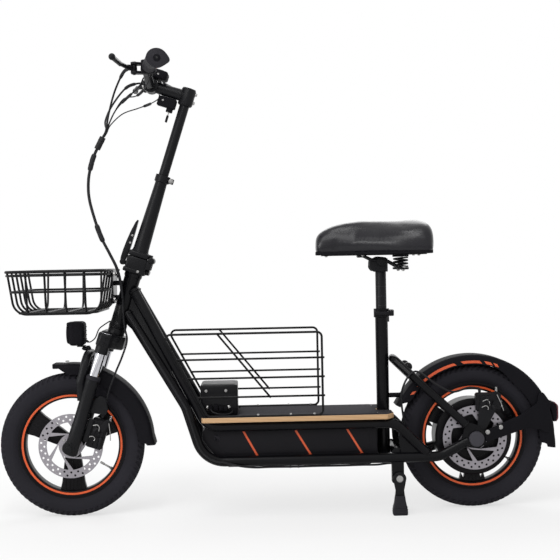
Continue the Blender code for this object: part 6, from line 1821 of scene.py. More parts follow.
@dataclass
class Fork:
    """The crown with its steerer, the chromed stanchions, and the sliding legs with their arch."""

    leg_y: float = 0.065
    lead: float = -0.015
    leg: float = 0.0175
    stanchion: float = 0.013

    def build(self) -> None:
        """Makes the crown, the stanchions and the legs."""
        lead, y = self.lead, self.leg_y
        outline = rounded(
            [
                (lead - 0.019, y + 0.006), (lead - 0.012, y + 0.016), (lead + 0.012, y + 0.017),
                (lead + 0.020, y + 0.004), (0.0295, 0.020), (0.0295, -0.020), (lead + 0.020, -y - 0.004),
                (lead + 0.012, -y - 0.017), (lead - 0.012, -y - 0.016), (lead - 0.019, -y - 0.006),
            ],
            radius=0.009, steps=5,
        )
        crown = plate(outline, 0.262, 0.296, edge=0.004)
        race = rod((0, 0, 0.286), (0, 0, 0.3107), radius=0.0215, edge=0.001, sides=48)
        steerer = rod((0, 0, 0.266), (0, 0, 0.485), radius=0.0143, edge=0.0005, sides=40)
        piece = Piece("cast_crown", "fork_upper", "fork_crown")
        piece.steer(SATIN_COAT, crown, race, steerer)
        for side in (LEFT, RIGHT):
            cap = turned(
                [
                    (0.0125, 0), (0.0125, 0.0035), (0.0110, 0.0048), (0.006, 0.0048), (0.0055, 0.0026),
                    (0, 0.0026),
                ],
                (lead, side * y, 0.2965), steps=32,
            )
            socket = turned(
                [(0.0131, 0.2445), (0.0158, 0.2445), (0.0166, 0.2455), (0.0166, 0.264), (0.0131, 0.264)],
                (lead, side * y, 0), steps=40, closed=True,
            )
            piece.steer(SATIN_COAT, socket).steer(BLACK_ALLOY, cap)
            for height in (0.271, 0.286):
                bolt = socket_bolt(
                    (lead + 0.004, side * (y + 0.0160), height), (0, side, 0), size=0.0040, height=0.003,
                )
                piece.steer(BLACK_ALLOY, bolt)
        piece.make()
        for name, side in SIDES.items():
            bar = rod((lead, side * y, 0.075), (lead, side * y, 0.297), self.stanchion, edge=0.0005, sides=48)
            piece = Piece(f"chrome_stanchion_{name}", "fork_upper", f"stanchion_{name}")
            piece.steer(CHROME, bar).make()
        self.legs()

    def legs(self) -> None:
        """The sliding legs: turned profiles with dust seals, joined by an arch that carries the lamp."""
        lead, y, leg = self.lead, self.leg_y, self.leg
        profile = [
            (0, -0.018), (0.011, -0.018), (0.0160, -0.0155), (leg, -0.010), (leg, 0.060),
            (leg - 0.0008, 0.066), (leg - 0.0008, 0.158), (leg, 0.164), (leg, 0.176), (0.0132, 0.178),
        ]
        seal = [
            (0.0132, 0.176), (leg - 0.001, 0.176), (leg + 0.0002, 0.1775), (leg + 0.0002, 0.184),
            (leg - 0.002, 0.187), (0.0132, 0.187),
        ]
        piece = Piece("sliding_legs", "fork_lower", "fork_lowers")
        for side in (LEFT, RIGHT):
            piece.steer(SATIN_COAT, turned(profile, (lead, side * y, 0), steps=48))
            piece.steer(GRIP_RUBBER, turned(seal, (lead, side * y, 0), steps=48, closed=True))
            ring = collar(AXLE_BORE, outer=0.0155, low=-0.017, high=0.017, edge=0.0015)
            lug = turned(ring, (-FORK_RAKE, side * y, 0), (0, 1, 0), steps=40, closed=True)
            piece.steer(SATIN_COAT, lug)
        half = [
            np.array((lead - 0.012, y - 0.003, 0.120)), np.array((lead - 0.027, y - 0.002, 0.160)),
            np.array((lead - 0.0325, y - 0.010, 0.232)),
        ]
        arch = swept(
            bent(both_sides(half), radius=0.032, steps=8), circle(1, sides=24) * (1.0, 1.25), (1, 0, 0),
            size=0.0085,
        )
        tab = rounded(
            [
                (0.000, 0.096), (0.040, 0.101), (0.042, 0.116), (0.028, 0.142), (0.012, 0.143),
                (0.000, 0.128),
            ],
            radius=0.005, steps=4,
        )
        piece.add(SATIN_COAT, plate(tab, y - 0.009, y - 0.005, edge=0.001, matrix=STEER @ upright()))
        for x, z in ((0.0204, 0.134), (0.0187, 0.1095), (0.0353, 0.108)):
            piece.steer(ZINC, socket_bolt((x, 0.009 - y, z), (0, -1, 0), size=0.0031, height=0.0020))
        crown = np.array((lead - 0.0325, 0, 0.232))
        axle = np.array((-FORK_RAKE, 0, 0))
        boss = rod(axle + unit(crown - axle) * 0.2063, crown, radius=0.009)
        piece.steer(SATIN_COAT, arch, boss)
        start, end = steered(*crown), np.array((-0.4935, 0, 0.4225))
        route = flowing([start, start + (-0.003, 0, 0.014), end + (0.008, 0, -0.004), end], spacing=0.003)
        piece.add(SATIN_COAT, tube(route, radius=0.0050, sides=16))
        piece.add(SATIN_COAT, block((-0.506, -0.011, 0.4242), (-0.4855, 0.011, 0.4277), edge=0.001))
        piece.make()


@dataclass
class Brake:
    """A disc brake's fittings on its CAD caliper: the arm, the adjuster, the spring and the bolts."""

    name: str
    body: str
    matrix: Array
    x: float
    y: float
    low: float
    high: float

    def build(self) -> None:
        """Makes the fittings. The spring is a helix about the cable's line."""
        x, y, low, high = self.x, self.y, self.low, self.high
        middle = (low + high) / 2
        arm = rounded(
            [
                (x - 0.008, middle - 0.008), (x + 0.006, middle - 0.010), (x + 0.024, high - 0.004),
                (x + 0.020, high + 0.004), (x + 0.012, high + 0.003), (x - 0.008, middle + 0.006),
            ],
            radius=0.004, steps=3,
        )
        skins = [
            plate(arm, -y, 0.0035 - y, edge=0.0008, matrix=spun(math.pi / 2, "X")),
            block((x - 0.020, y - 0.0028, low + 0.004), (x - 0.004, y + 0.001, high - 0.006), edge=0.0018),
        ]
        pin_x, pin_y = x + 0.012, y - 0.002
        start, end = (pin_x, pin_y, low + 0.004), (pin_x, pin_y, middle - 0.006)
        skins.append(rod(start, end, radius=0.0052, edge=0.001, sides=24))
        for lift in (0.0, 0.0045):
            rib = [(0.0135, lift), (0.0150, lift + 0.0008), (0.0150, lift + 0.0022), (0.0135, lift + 0.003)]
            skins.append(turned(rib, (x, y + 0.004, middle), (0, -1, 0), steps=24))
        for foot in (low + 0.024, low + 0.033):
            skins.append(block((x - 0.021, y - 0.0036, foot), (x - 0.006, y, foot + 0.0025), edge=0.0006))
        turn = np.linspace(0, 9 * 2 * math.pi, 9 * 14)
        helix = np.stack(
            [
                x + 0.020 + 0.0032 * np.cos(turn), y + 0.006 + 0.0032 * np.sin(turn), high + turn * 0.00024,
            ], 1,
        )
        piece = Piece(f"{self.name}_brake_fittings", self.body)
        piece.add(BLACK_ALLOY, *[s.placed(self.matrix) for s in skins])
        piece.add(ZINC, tube(helix, radius=0.0007, sides=6, across=(0, 0.1, 1)).placed(self.matrix))
        screw = socket_bolt(
            (x, y - 0.0035, middle), (0, -1, 0), size=0.0060, height=0.0035,
        ).placed(self.matrix)
        piece.add(BLACK_ALLOY, screw)
        for dx, z in (
            (-0.012, high - 0.010), (0.016, low + 0.008), (-0.012, low + 0.010), (0.019, high - 0.001),
        ):
            bolt = hex_bolt((x + dx, y - 0.0034, z), (0, -1, 0), size=0.0034, height=0.0028)
            piece.add(BLACK_ALLOY, bolt.placed(self.matrix))
        hooks = [
            [
                (x - 0.016, high - 0.020), (x - 0.006, high - 0.016), (x + 0.000, high - 0.020),
                (x + 0.002, high - 0.030),
            ],
            [
                (x - 0.018, middle - 0.012), (x - 0.008, middle - 0.008), (x - 0.002, middle - 0.013),
                (x - 0.003, middle - 0.018),
            ],
            [(x + 0.020, high - 0.004), (x + 0.030, high - 0.026), (x + 0.036, high - 0.044)],
        ]
        for hook in hooks:
            path = flowing([(a, y - 0.0055, b) for a, b in hook], spacing=0.002)
            piece.add(ZINC, tube(path, radius=0.0011, sides=8, across=(0, 1, 0)).placed(self.matrix))
        piece.make()


@dataclass
class Axles:
    """The threaded axle ends with their nuts in front, and the round caps behind."""

    def build(self) -> None:
        """Makes both axles."""
        piece = Piece("front_axle_nuts", "fork_lower", "front_axle")
        bar = rod(from_front(0, -0.0905, 0), from_front(0, 0.0905, 0), radius=0.006, edge=0.0010, sides=24)
        piece.add(BLACK_ALLOY, bar)
        for side in (LEFT, RIGHT):
            bolt = hex_bolt(from_front(0, side * 0.0828, 0), (0, side, 0), size=0.0105, height=0.0060)
            piece.add(BLACK_ALLOY, bolt)
        piece.make()
        piece = Piece("rear_axle_caps", "frame", "rear_axle")
        bar = rod(from_rear(0, -0.080, 0), from_rear(0, 0.080, 0), radius=0.006, edge=0.0010, sides=24)
        piece.add(ZINC, bar)
        for side in (LEFT, RIGHT):
            profile = [
                (0, 0), (0.0178, 0), (0.0190, 0.0012), (0.0186, 0.0090), (0.0165, 0.0114), (0.010, 0.0120),
                (0, 0.0120),
            ]
            piece.add(CAP_RUBBER, turned(profile, from_rear(0, side * 0.0733, 0), (0, side, 0), steps=56))
        piece.make()


# Stem


@dataclass
class FoldingStem:
    """The fold joint with its latch, the lower stem with its clamp, and the upper stem with its head."""

    hinge: float = 0.4975
    hinge_x: float = 0.034
    latch_x: float = -0.0345
    latch_z: float = 0.476
    half: float = 0.023

    def build(self) -> None:
        """Makes the four pieces that carry the bar."""
        self.base()
        self.latch()
        self.lower()
        self.upper()

    def base(self) -> None:
        """The block under the hinge, with its pin, its ears and the hook's rod."""
        half = self.half
        body = block((-0.026, -half, 0.4593), (0.026, half, 0.4973), edge=0.004)
        skirt = block((-0.0285, -half - 0.0015, 0.4560), (0.0285, half + 0.0015, 0.4670), edge=0.003)
        piece = Piece("fold_base_casting", "fork_upper", "fold_base")
        piece.steer(SATIN_COAT, body, skirt)
        for side in (LEFT, RIGHT):
            knuckle = rod(
                (self.hinge_x, side * 0.0105, self.hinge), (self.hinge_x, side * 0.0210, self.hinge),
                radius=0.0085, edge=0.001,
            )
            ear = block(
                (0.022, side * 0.0158 - 0.0052, 0.4735), (0.0385, side * 0.0158 + 0.0052, 0.4935),
                edge=0.0015,
            )
            piece.steer(SATIN_COAT, knuckle, ear)
            nut = hex_bolt(
                (self.hinge_x, side * 0.0210, self.hinge), (0, side, 0), size=0.0048, height=0.0030,
            )
            screw = socket_bolt(
                (0.010, side * (half + 0.001), 0.4630), (0, side, 0), size=0.0035, height=0.0020,
            )
            piece.steer(BLACK_ALLOY, nut).steer(ZINC, screw)
        hook = rod((0.024, 0, 0.467), (0.036, 0, 0.467), radius=0.0075, edge=0.0012)
        cap = ball((0.0365, 0, 0.467), (0.0030, 0.0070, 0.0070), steps=20)
        piece.steer(BLACK_ALLOY, hook).steer(ZINC, cap).make()

    def latch(self) -> None:
        """The latch: a broad curved blade on a barrel, with two screws."""
        outline = rounded(
            [
                (-0.0405, 0.472), (-0.0428, 0.486), (-0.0425, 0.505), (-0.0405, 0.530), (-0.0372, 0.556),
                (-0.0325, 0.580), (-0.0290, 0.588), (-0.0268, 0.586), (-0.0262, 0.560), (-0.0262, 0.520),
                (-0.0275, 0.496), (-0.0310, 0.474),
            ],
            radius=0.005, steps=4,
        )
        blade = plate(outline, -0.011, 0.011, edge=0.0016, matrix=STEER @ upright())
        barrel = rod(
            (self.latch_x, -0.0130, self.latch_z), (self.latch_x, 0.0130, self.latch_z), radius=0.0075,
            edge=0.001,
        )
        piece = Piece("fold_latch_blade", "stem_latch", "fold_latch")
        piece.add(BLACK_ALLOY, blade).steer(BLACK_ALLOY, barrel)
        for height in (0.527, 0.546):
            for side in (LEFT, RIGHT):
                bolt = socket_bolt((-0.0300, side * 0.011, height), (0, side, 0), size=0.0029, height=0.0016)
                piece.steer(ZINC, bolt)
        for side in (LEFT, RIGHT):
            bolt = socket_bolt(
                (self.latch_x, side * 0.013, self.latch_z), (0, side, 0), size=0.0045, height=0.0018,
            )
            piece.steer(BLACK_ALLOY, bolt)
        piece.make()

    def lower(self) -> None:
        """The lower stem: a tapered tube between the hinge's foot and the clamp."""
        foot = block((-0.026, -self.half, 0.4978), (0.026, self.half, 0.5115), edge=0.004)
        tube_skin = turned(
            [
                (0.0128, 0.7125), (0.0178, 0.7125), (0.0185, 0.7117), (0.0185, 0.6953), (0.0178, 0.6945),
                (0.0152, 0.6935), (0.0150, 0.6915), (0.0190, 0.5425), (0.0196, 0.5200), (0.0215, 0.5100),
                (0.0128, 0.5080),
            ],
            steps=56, closed=True,
        )
        # A thin dark block in the clamp's slit: painted shade where the slit opens
        slot = block((0.0140, -0.0014, 0.6950), (0.0192, 0.0014, 0.7120), edge=0.0002)
        piece = Piece("lower_stem", "stem_lower", "stem_lower")
        piece.steer(SATIN_COAT, foot, tube_skin).steer(DARK_GLASS_AND_GAP_SHADE, slot)
        ear = block((0.022, -0.0100, 0.4985), (0.034, 0.0100, 0.5115), edge=0.0015)
        knuckle = rod(
            (self.hinge_x, -0.010, self.hinge), (self.hinge_x, 0.010, self.hinge), radius=0.0085,
            edge=0.0008,
        )
        piece.steer(SATIN_COAT, ear, knuckle)
        piece.add(SATIN_COAT, collar_bead(steered(0, 0, 0.5112), STEER[:3, 2], ring=0.0205, radius=0.0022))
        bolt_x, bolt_z = 0.0232, 0.7035
        for side in (LEFT, RIGHT):
            lug = block(
                (0.0150, side * 0.0052 - 0.0033, 0.6968), (0.0293, side * 0.0052 + 0.0033, 0.7102),
                edge=0.0015,
            )
            piece.steer(SATIN_COAT, lug)
            bolt = hex_bolt((bolt_x, side * 0.0085, bolt_z), (0, side, 0), size=0.0042, height=0.0030)
            piece.steer(ZINC, bolt)
        piece.steer(ZINC, rod((bolt_x, -0.012, bolt_z), (bolt_x, 0.012, bolt_z), radius=0.0025))
        piece.make()

    def upper(self) -> None:
        """The upper stem: a plain tube, a head with its bolts, and an arm forward to the bar's jaw."""
        reach, height = 0.094, 0.919
        inner = rod((0, 0, 0.655), (0, 0, 0.926), radius=0.0125, edge=0.0006, sides=40)
        head = turned(
            [
                (0.0122, 0.8950), (0.0160, 0.8955), (0.0185, 0.8990), (0.0185, 0.9360), (0.0165, 0.9405),
                (0.0080, 0.9420), (0, 0.9420),
            ],
            steps=56,
        )
        stations = np.linspace(0, 1, 10)
        path = np.column_stack([-reach * stations, 0 * stations, height + 0 * stations])
        arm = tube(path, 0.0155 - 0.0020 * stations, sides=40)
        jaw = turned(
            collar(inner=0.0114, outer=0.0185, low=-0.023, high=0.023, edge=0.0013),
            (-reach, 0, height), (0, 1, 0), steps=56, closed=True,
        )
        piece = Piece("upper_stem", "stem_upper", "stem_upper")
        piece.steer(SATIN_COAT, inner, head, arm, jaw)
        bead = collar_bead(steered(-0.0150, 0, height), STEER[:3, 0], ring=0.0158, radius=0.0016)
        piece.add(SATIN_COAT, bead)
        # Thin dark blocks along the split of the bar's jaw: painted shade in the seam
        seam_shade = [
            block(
                (-reach - 0.0188, s * 0.0125 - 0.0088, height - 0.0007),
                (-reach - 0.0120, s * 0.0125 + 0.0088, height + 0.0007), edge=0.0002,
            )
            for s in (LEFT, RIGHT)
        ]
        piece.steer(DARK_GLASS_AND_GAP_SHADE, *seam_shade)
        for side in (LEFT, RIGHT):
            for lift in (-0.0085, 0.0085):
                bolt = socket_bolt(
                    (-reach - 0.0165, side * 0.0145, height + lift), (-1, 0, lift * 45), size=0.0034,
                    height=0.0034,
                )
                piece.steer(ZINC, bolt)
        for lift in (0.9080, 0.9300):
            piece.steer(ZINC, hex_bolt((0.0180, 0.0, lift), (1, 0, 0), size=0.0044, height=0.0038))
        piece.make()


# Bar

BAR_CENTRE = np.array((-0.3069897, 0.0, 1.0762705))
# From the bar's centre to where the right grip starts and to the bar's end
GRIP_START = np.array((0.010, 0.176, 0.022))
BAR_END = np.array((0.033, 0.300, 0.022))
# The right brake lever's pivot
LEVER_PIVOT = (-0.33500, 0.150, 1.09800)


def on_bar(side: int, reach: float) -> Array:
    """The point on the axis of the bar's outer part at a distance from where the grip starts.

    Args:
        side: the side of the bar.
        reach: the distance outwards.

    Returns:
        The point.
    """
    first = BAR_CENTRE + GRIP_START * (1, side, 1)
    last = BAR_CENTRE + BAR_END * (1, side, 1)
    return first + unit(last - first) * reach


@dataclass
class Handlebar:
    """The bar with its grips, the levers on their perches, the horn, the display and the lock."""

    pivot: Triple = LEVER_PIVOT
    radius: float = 0.0111

    def build(self) -> None:
        """Makes the bar's pieces."""
        half = [BAR_CENTRE + (0, 0.040, 0), on_bar(RIGHT, -0.059), BAR_CENTRE + BAR_END]
        route = [p * (1, -1, 1) for p in reversed(half)] + half
        bar = tube(bent(route, radius=0.04, steps=9), self.radius, sides=40)
        Piece("tube_bar", "stem_upper", "handlebar").add(SATIN_COAT, bar).make()
        self.grip(LEFT, flare=1.0, piece=Piece("palm_grip", "stem_upper", "grip_left"))
        self.grip(RIGHT, flare=0.35, piece=Piece("twist_grip", "throttle", "grip_right"))
        for name, side in SIDES.items():
            self.perch(name, side)
            self.lever(name, side)
        self.display()
        self.lock()

    def grip(self, side: int, flare: float, piece: Piece) -> None:
        """A grip: rings round the bar, ribbed in its middle, whose end swells backwards to the palm.

        Args:
            side: the side of the bar.
            flare: how much its end swells, from 0 to 1.
            piece: the piece that takes its skins.
        """
        inner, outer = on_bar(side, 0.004), on_bar(side, 0.133)
        along = unit(outer - inner)
        up = np.array((0.0, 0.0, 1.0))
        back = np.cross(up, along) * -side
        back /= np.linalg.norm(back)
        share = np.concatenate([[0, 0.004], np.linspace(0.012, 0.985, 120), [0.994, 1.0]])
        swell = flare * np.clip((share - 0.3) / 0.7, 0, None) ** 1.5
        size = 0.0165 + 0.0008 * np.sin(math.pi * share)
        size -= 0.0015 * (
            np.clip((0.012 - share) / 0.012, 0, 1) ** 2 + np.clip((share - 0.985) / 0.015, 0, 1) ** 2
        )
        ribs = 0.00045 * np.clip(np.sin(2 * math.pi * share * 26), -0.2, 1) * np.clip(1 - 4 * swell, 0, 1)
        ribs *= np.clip((share - 0.05) / 0.05, 0, 1) * np.clip((0.9 - share) / 0.05, 0, 1)
        flange = 0.0028 * np.clip((0.040 - share) / 0.006, 0, 1) * (share > 0.003)
        size = size - 0.0003 + ribs + flange * 0.35
        middle = inner + share[:, None] * (outer - inner)
        middle = middle + back * 0.004 * swell[:, None] - up * 0.003 * swell[:, None]
        angle = np.linspace(0, 2 * math.pi, 72, endpoint=False)
        wide = (size + 0.0085 * swell)[:, None, None] * np.cos(angle)[None, :, None] * back
        tall = (size + 0.0065 * swell)[:, None, None] * np.sin(angle)[None, :, None] * up
        heel = np.clip(np.cos(angle + 0.15), 0, 1) ** 8 * 0.0060
        corner = heel + np.clip(np.cos(angle + 2.0), 0, 1) ** 4 * 0.0035
        wide = wide + (swell[:, None] * corner)[..., None] * back
        tall = tall - (swell[:, None] * corner)[..., None] * up * 0.35
        rings = middle[:, None] + wide + tall
        piece.add(GRIP_RUBBER, grid_skin(rings))
        end = middle[-1] + along * 0.0002
        bar = rod(end - along * 0.002, end + along * 0.0008, radius=0.0085, edge=0.0006, sides=28)
        piece.add(BLACK_ABS, bar)
        piece.add(DARK_GLASS_AND_GAP_SHADE, rod(end, end + along * 0.0011, radius=0.0028, edge=0.0002, sides=18))
        piece.make(angle=40)

    def perch(self, name: str, side: int) -> None:
        """The clamp on the bar, with two cheeks, the adjuster, its lock nut and the bolts.

        Args:
            name: the side's name.
            side: the side of the bar.
        """
        px, py, pz = self.pivot[0], side * self.pivot[1], self.pivot[2]
        start, end = on_bar(side, -0.046), on_bar(side, -0.028)
        middle = (start + end) / 2
        profile = collar(self.radius + 0.0002, outer=0.0165, low=0, high=0.018, edge=0.001)
        piece = Piece(f"perch_{name}", "stem_upper", f"brake_perch_{name}")
        piece.add(BLACK_ALLOY, turned(profile, tuple(start), tuple(end - start), steps=48, closed=True))
        outline = rounded(
            [
                (middle[0], side * 0.127), (middle[0], side * 0.144), (px + 0.004, py + side * 0.0095),
                (px - 0.0075, py + side * 0.0085), (px - 0.0085, py - side * 0.006),
                (px - 0.0065, py - side * 0.0165), (px + 0.004, py - side * 0.0185),
            ][::side],
            radius=0.0025, steps=3,
        )
        for low in (-0.0135, 0.0075):
            piece.add(BLACK_ALLOY, plate(outline, pz + low, pz + low + 0.006, edge=0.0012))
        web = py - side * 0.0135
        box = block(
            (px - 0.006, web - 0.0028, pz - 0.0080), (px + 0.006, web + 0.0028, pz + 0.0080), edge=0.0008,
        )
        piece.add(BLACK_ALLOY, box)
        tip = np.array((px - 0.001, web - side * 0.012, pz))
        root = np.array((px, web, pz))
        barrel = rod(root, tip, radius=0.0040, edge=0.0006, sides=24)
        knurl = rod(
            root + (tip - root) * 0.45, root + (tip - root) * 0.72, radius=0.0052, edge=0.0004, sides=14,
        )
        piece.add(BLACK_ALLOY, barrel, knurl)
        screw = socket_bolt((px, py, pz + 0.0135), (0, 0, 1), size=0.0045, height=0.0022)
        nut = hex_bolt((px, py, pz - 0.0135), (0, 0, -1), size=0.0040, height=0.0022)
        clamp = socket_bolt(
            (middle[0] + 0.008, middle[1], middle[2] - 0.0150), (0.3, 0, -1), size=0.0034, height=0.0030,
        )
        piece.add(ZINC, screw).add(BLACK_ALLOY, nut, clamp)
        if side == LEFT:
            self.housing(piece)
        piece.make()

    def housing(self, piece: Piece) -> None:
        """The left switch housing: a rounded box with a bored rear face, a parting line drawn as a thin slab
        of painted shade, and a rocker.

        Args:
            piece: the piece that takes its skins.
        """
        first, last = on_bar(LEFT, -0.029), on_bar(LEFT, -0.0015)
        centre = (first + last) / 2
        low = (centre[0] - 0.0175, last[1], centre[2] - 0.0165)
        high = (-0.2835, first[1], centre[2] + 0.0165)
        piece.add(BLACK_ABS, block(low, high, edge=0.0045))
        # A thin dark slab round the housing: painted shade in the parting line between its halves
        box = block(
            (low[0] - 0.0002, centre[1] - 0.0003, low[2] - 0.0002),
            (high[0] + 0.0001, centre[1] + 0.0003, high[2] + 0.0002), edge=0.0001,
        )
        piece.add(DARK_GLASS_AND_GAP_SHADE, box)
        rocker = block((-0.2843, last[1] + 0.006, 1.0860), (-0.2815, last[1] + 0.018, 1.0925), edge=0.0010)
        piece.add(GRIP_RUBBER, rocker)
        place = (-0.2835, -0.160, 1.1000)
        ring = turned(
            [(0.0068, 0), (0.0084, 0), (0.0084, 0.0008), (0.0078, 0.0014), (0.0068, 0.0014)], place,
            (1, 0, 0), steps=32, closed=True,
        )
        piece.add(BLACK_ABS, ring)
        button = turned(
            [(0.0064, -0.001), (0.0064, 0.0019), (0.0056, 0.0027), (0.0030, 0.0023), (0, 0.0021)], place,
            (1, 0, 0), steps=32,
        )
        Piece("horn_cap", "horn", "horn_button").add(ORANGE_VINYL, button).make()

    def lever(self, name: str, side: int) -> None:
        """A brake lever: a blade that is flatter than a bar and ends in a ball, on a barrel.

        Args:
            name: the side's name.
            side: the side of the bar.
        """
        pivot = np.array((self.pivot[0], side * self.pivot[1], self.pivot[2]))
        route = bent([pivot, pivot + (-0.015, side * 0.012, 0), pivot + (-0.027, side * 0.055, 0.002),
                      pivot + (-0.038, side * 0.127, 0.006)], radius=0.03, steps=10)
        share = np.linspace(0, 1, len(route))
        size = 0.0052 + 0.0007 * np.cos(share * 2 * math.pi)
        blade = swept(route, circle(1, sides=28) * (0.80, 1.25), (0, 0, 1), size)
        eye = rod(pivot - (0, 0, 0.0068), pivot + (0, 0, 0.0068), radius=0.0065, edge=0.0010)
        knob = ball(tuple(route[-1]), size=0.0080, steps=28)
        piece = Piece(f"lever_{name}_blade", f"lever_{name}", f"brake_lever_{name}")
        piece.add(BLACK_ALLOY, blade, eye, knob).make(angle=40)

    def display(self) -> None:
        """The display: a rounded case on a foot, with dark glass, a rubber button and screws."""
        case = block((-0.106, -0.029, 0.940), (-0.060, 0.029, 0.962), edge=0.006)
        front = -0.103
        foot = block((front, -0.018, 0.9385), (-0.080, 0.018, 0.942), edge=0.001)
        straps = [
            block((front, s * 0.0155 - 0.0025, 0.9300), (-0.0985, s * 0.0155 + 0.0025, 0.9420), edge=0.0008)
            for s in (LEFT, RIGHT)
        ]
        glass = plate(
            rounded_box(-0.1015, -0.0240, -0.0720, 0.0240, radius=0.004), 0.9612, 0.9626, edge=0.0005,
        )
        button = plate(
            rounded_box(
                -0.0690, -0.009, -0.0640, 0.009, radius=0.002, steps=4,
            ), 0.9612, 0.9632, edge=0.0006,
        )
        piece = Piece("trip_display", "stem_upper", "display")
        piece.steer(BLACK_ABS, case, foot, *straps)
        piece.steer(DARK_GLASS_AND_GAP_SHADE, glass).steer(GRIP_RUBBER, button)
        for side in (LEFT, RIGHT):
            bolt = socket_bolt((-0.0830, side * 0.0290, 0.950), (0, side, 0), size=0.0026, height=0.0010)
            piece.steer(ZINC, bolt)
        piece.make()

    def lock(self) -> None:
        """The lock's housing under the arm, its barrel, and the key that hangs from it."""
        x = -0.033
        body = block((-0.068, -0.012, 0.878), (-0.0205, 0.012, 0.9028), edge=0.0035)
        barrel = turned(
            [(0.0057, 0.8682), (0.0078, 0.8682), (0.0085, 0.8690), (0.0085, 0.884), (0.0057, 0.884)],
            (x, 0, 0), steps=40, closed=True,
        )
        piece = Piece("lock_housing", "stem_upper", "key_switch").steer(BLACK_ABS, body, barrel)
        for side in (LEFT, RIGHT):
            bolt = socket_bolt((-0.055, side * 0.012, 0.893), (0, side, 0), size=0.0028, height=0.0012)
            piece.steer(ZINC, bolt)
        piece.make()
        plug = rod((x, 0, 0.8674), (x, 0, 0.8740), radius=0.0054, edge=0.0006, sides=32)
        blade = block((-0.0342, -0.0031, 0.8585), (-0.0318, 0.0031, 0.8680), edge=0.0003)
        bow = rounded(
            [
                (-0.0085, 0.8425), (0.0085, 0.8425), (0.0085, 0.8600), (0.0030, 0.8605), (-0.0030, 0.8605),
                (-0.0085, 0.8600),
            ],
            radius=0.004, steps=5,
        )
        place = moved(x, 0, 0) @ spun(math.pi / 2, "Z") @ spun(math.pi / 2, "X")
        head = plate(bow, -0.0023, 0.0023, edge=0.0008, matrix=place)
        key = Piece("switch_key", "ignition_key", "key").steer(ZINC, plug, blade)
        key.steer(BLACK_ABS, head).make()


# Saddle and stand


def apply_modifiers(body: bpy.types.Object) -> None:
    """Replaces an object's mesh by what its modifiers make of it, and removes them.

    Args:
        body: the object.
    """
    graph = bpy.context.evaluated_depsgraph_get()
    finished = bpy.data.meshes.new_from_object(body.evaluated_get(graph), depsgraph=graph)
    body.modifiers.clear()
    body.data = finished


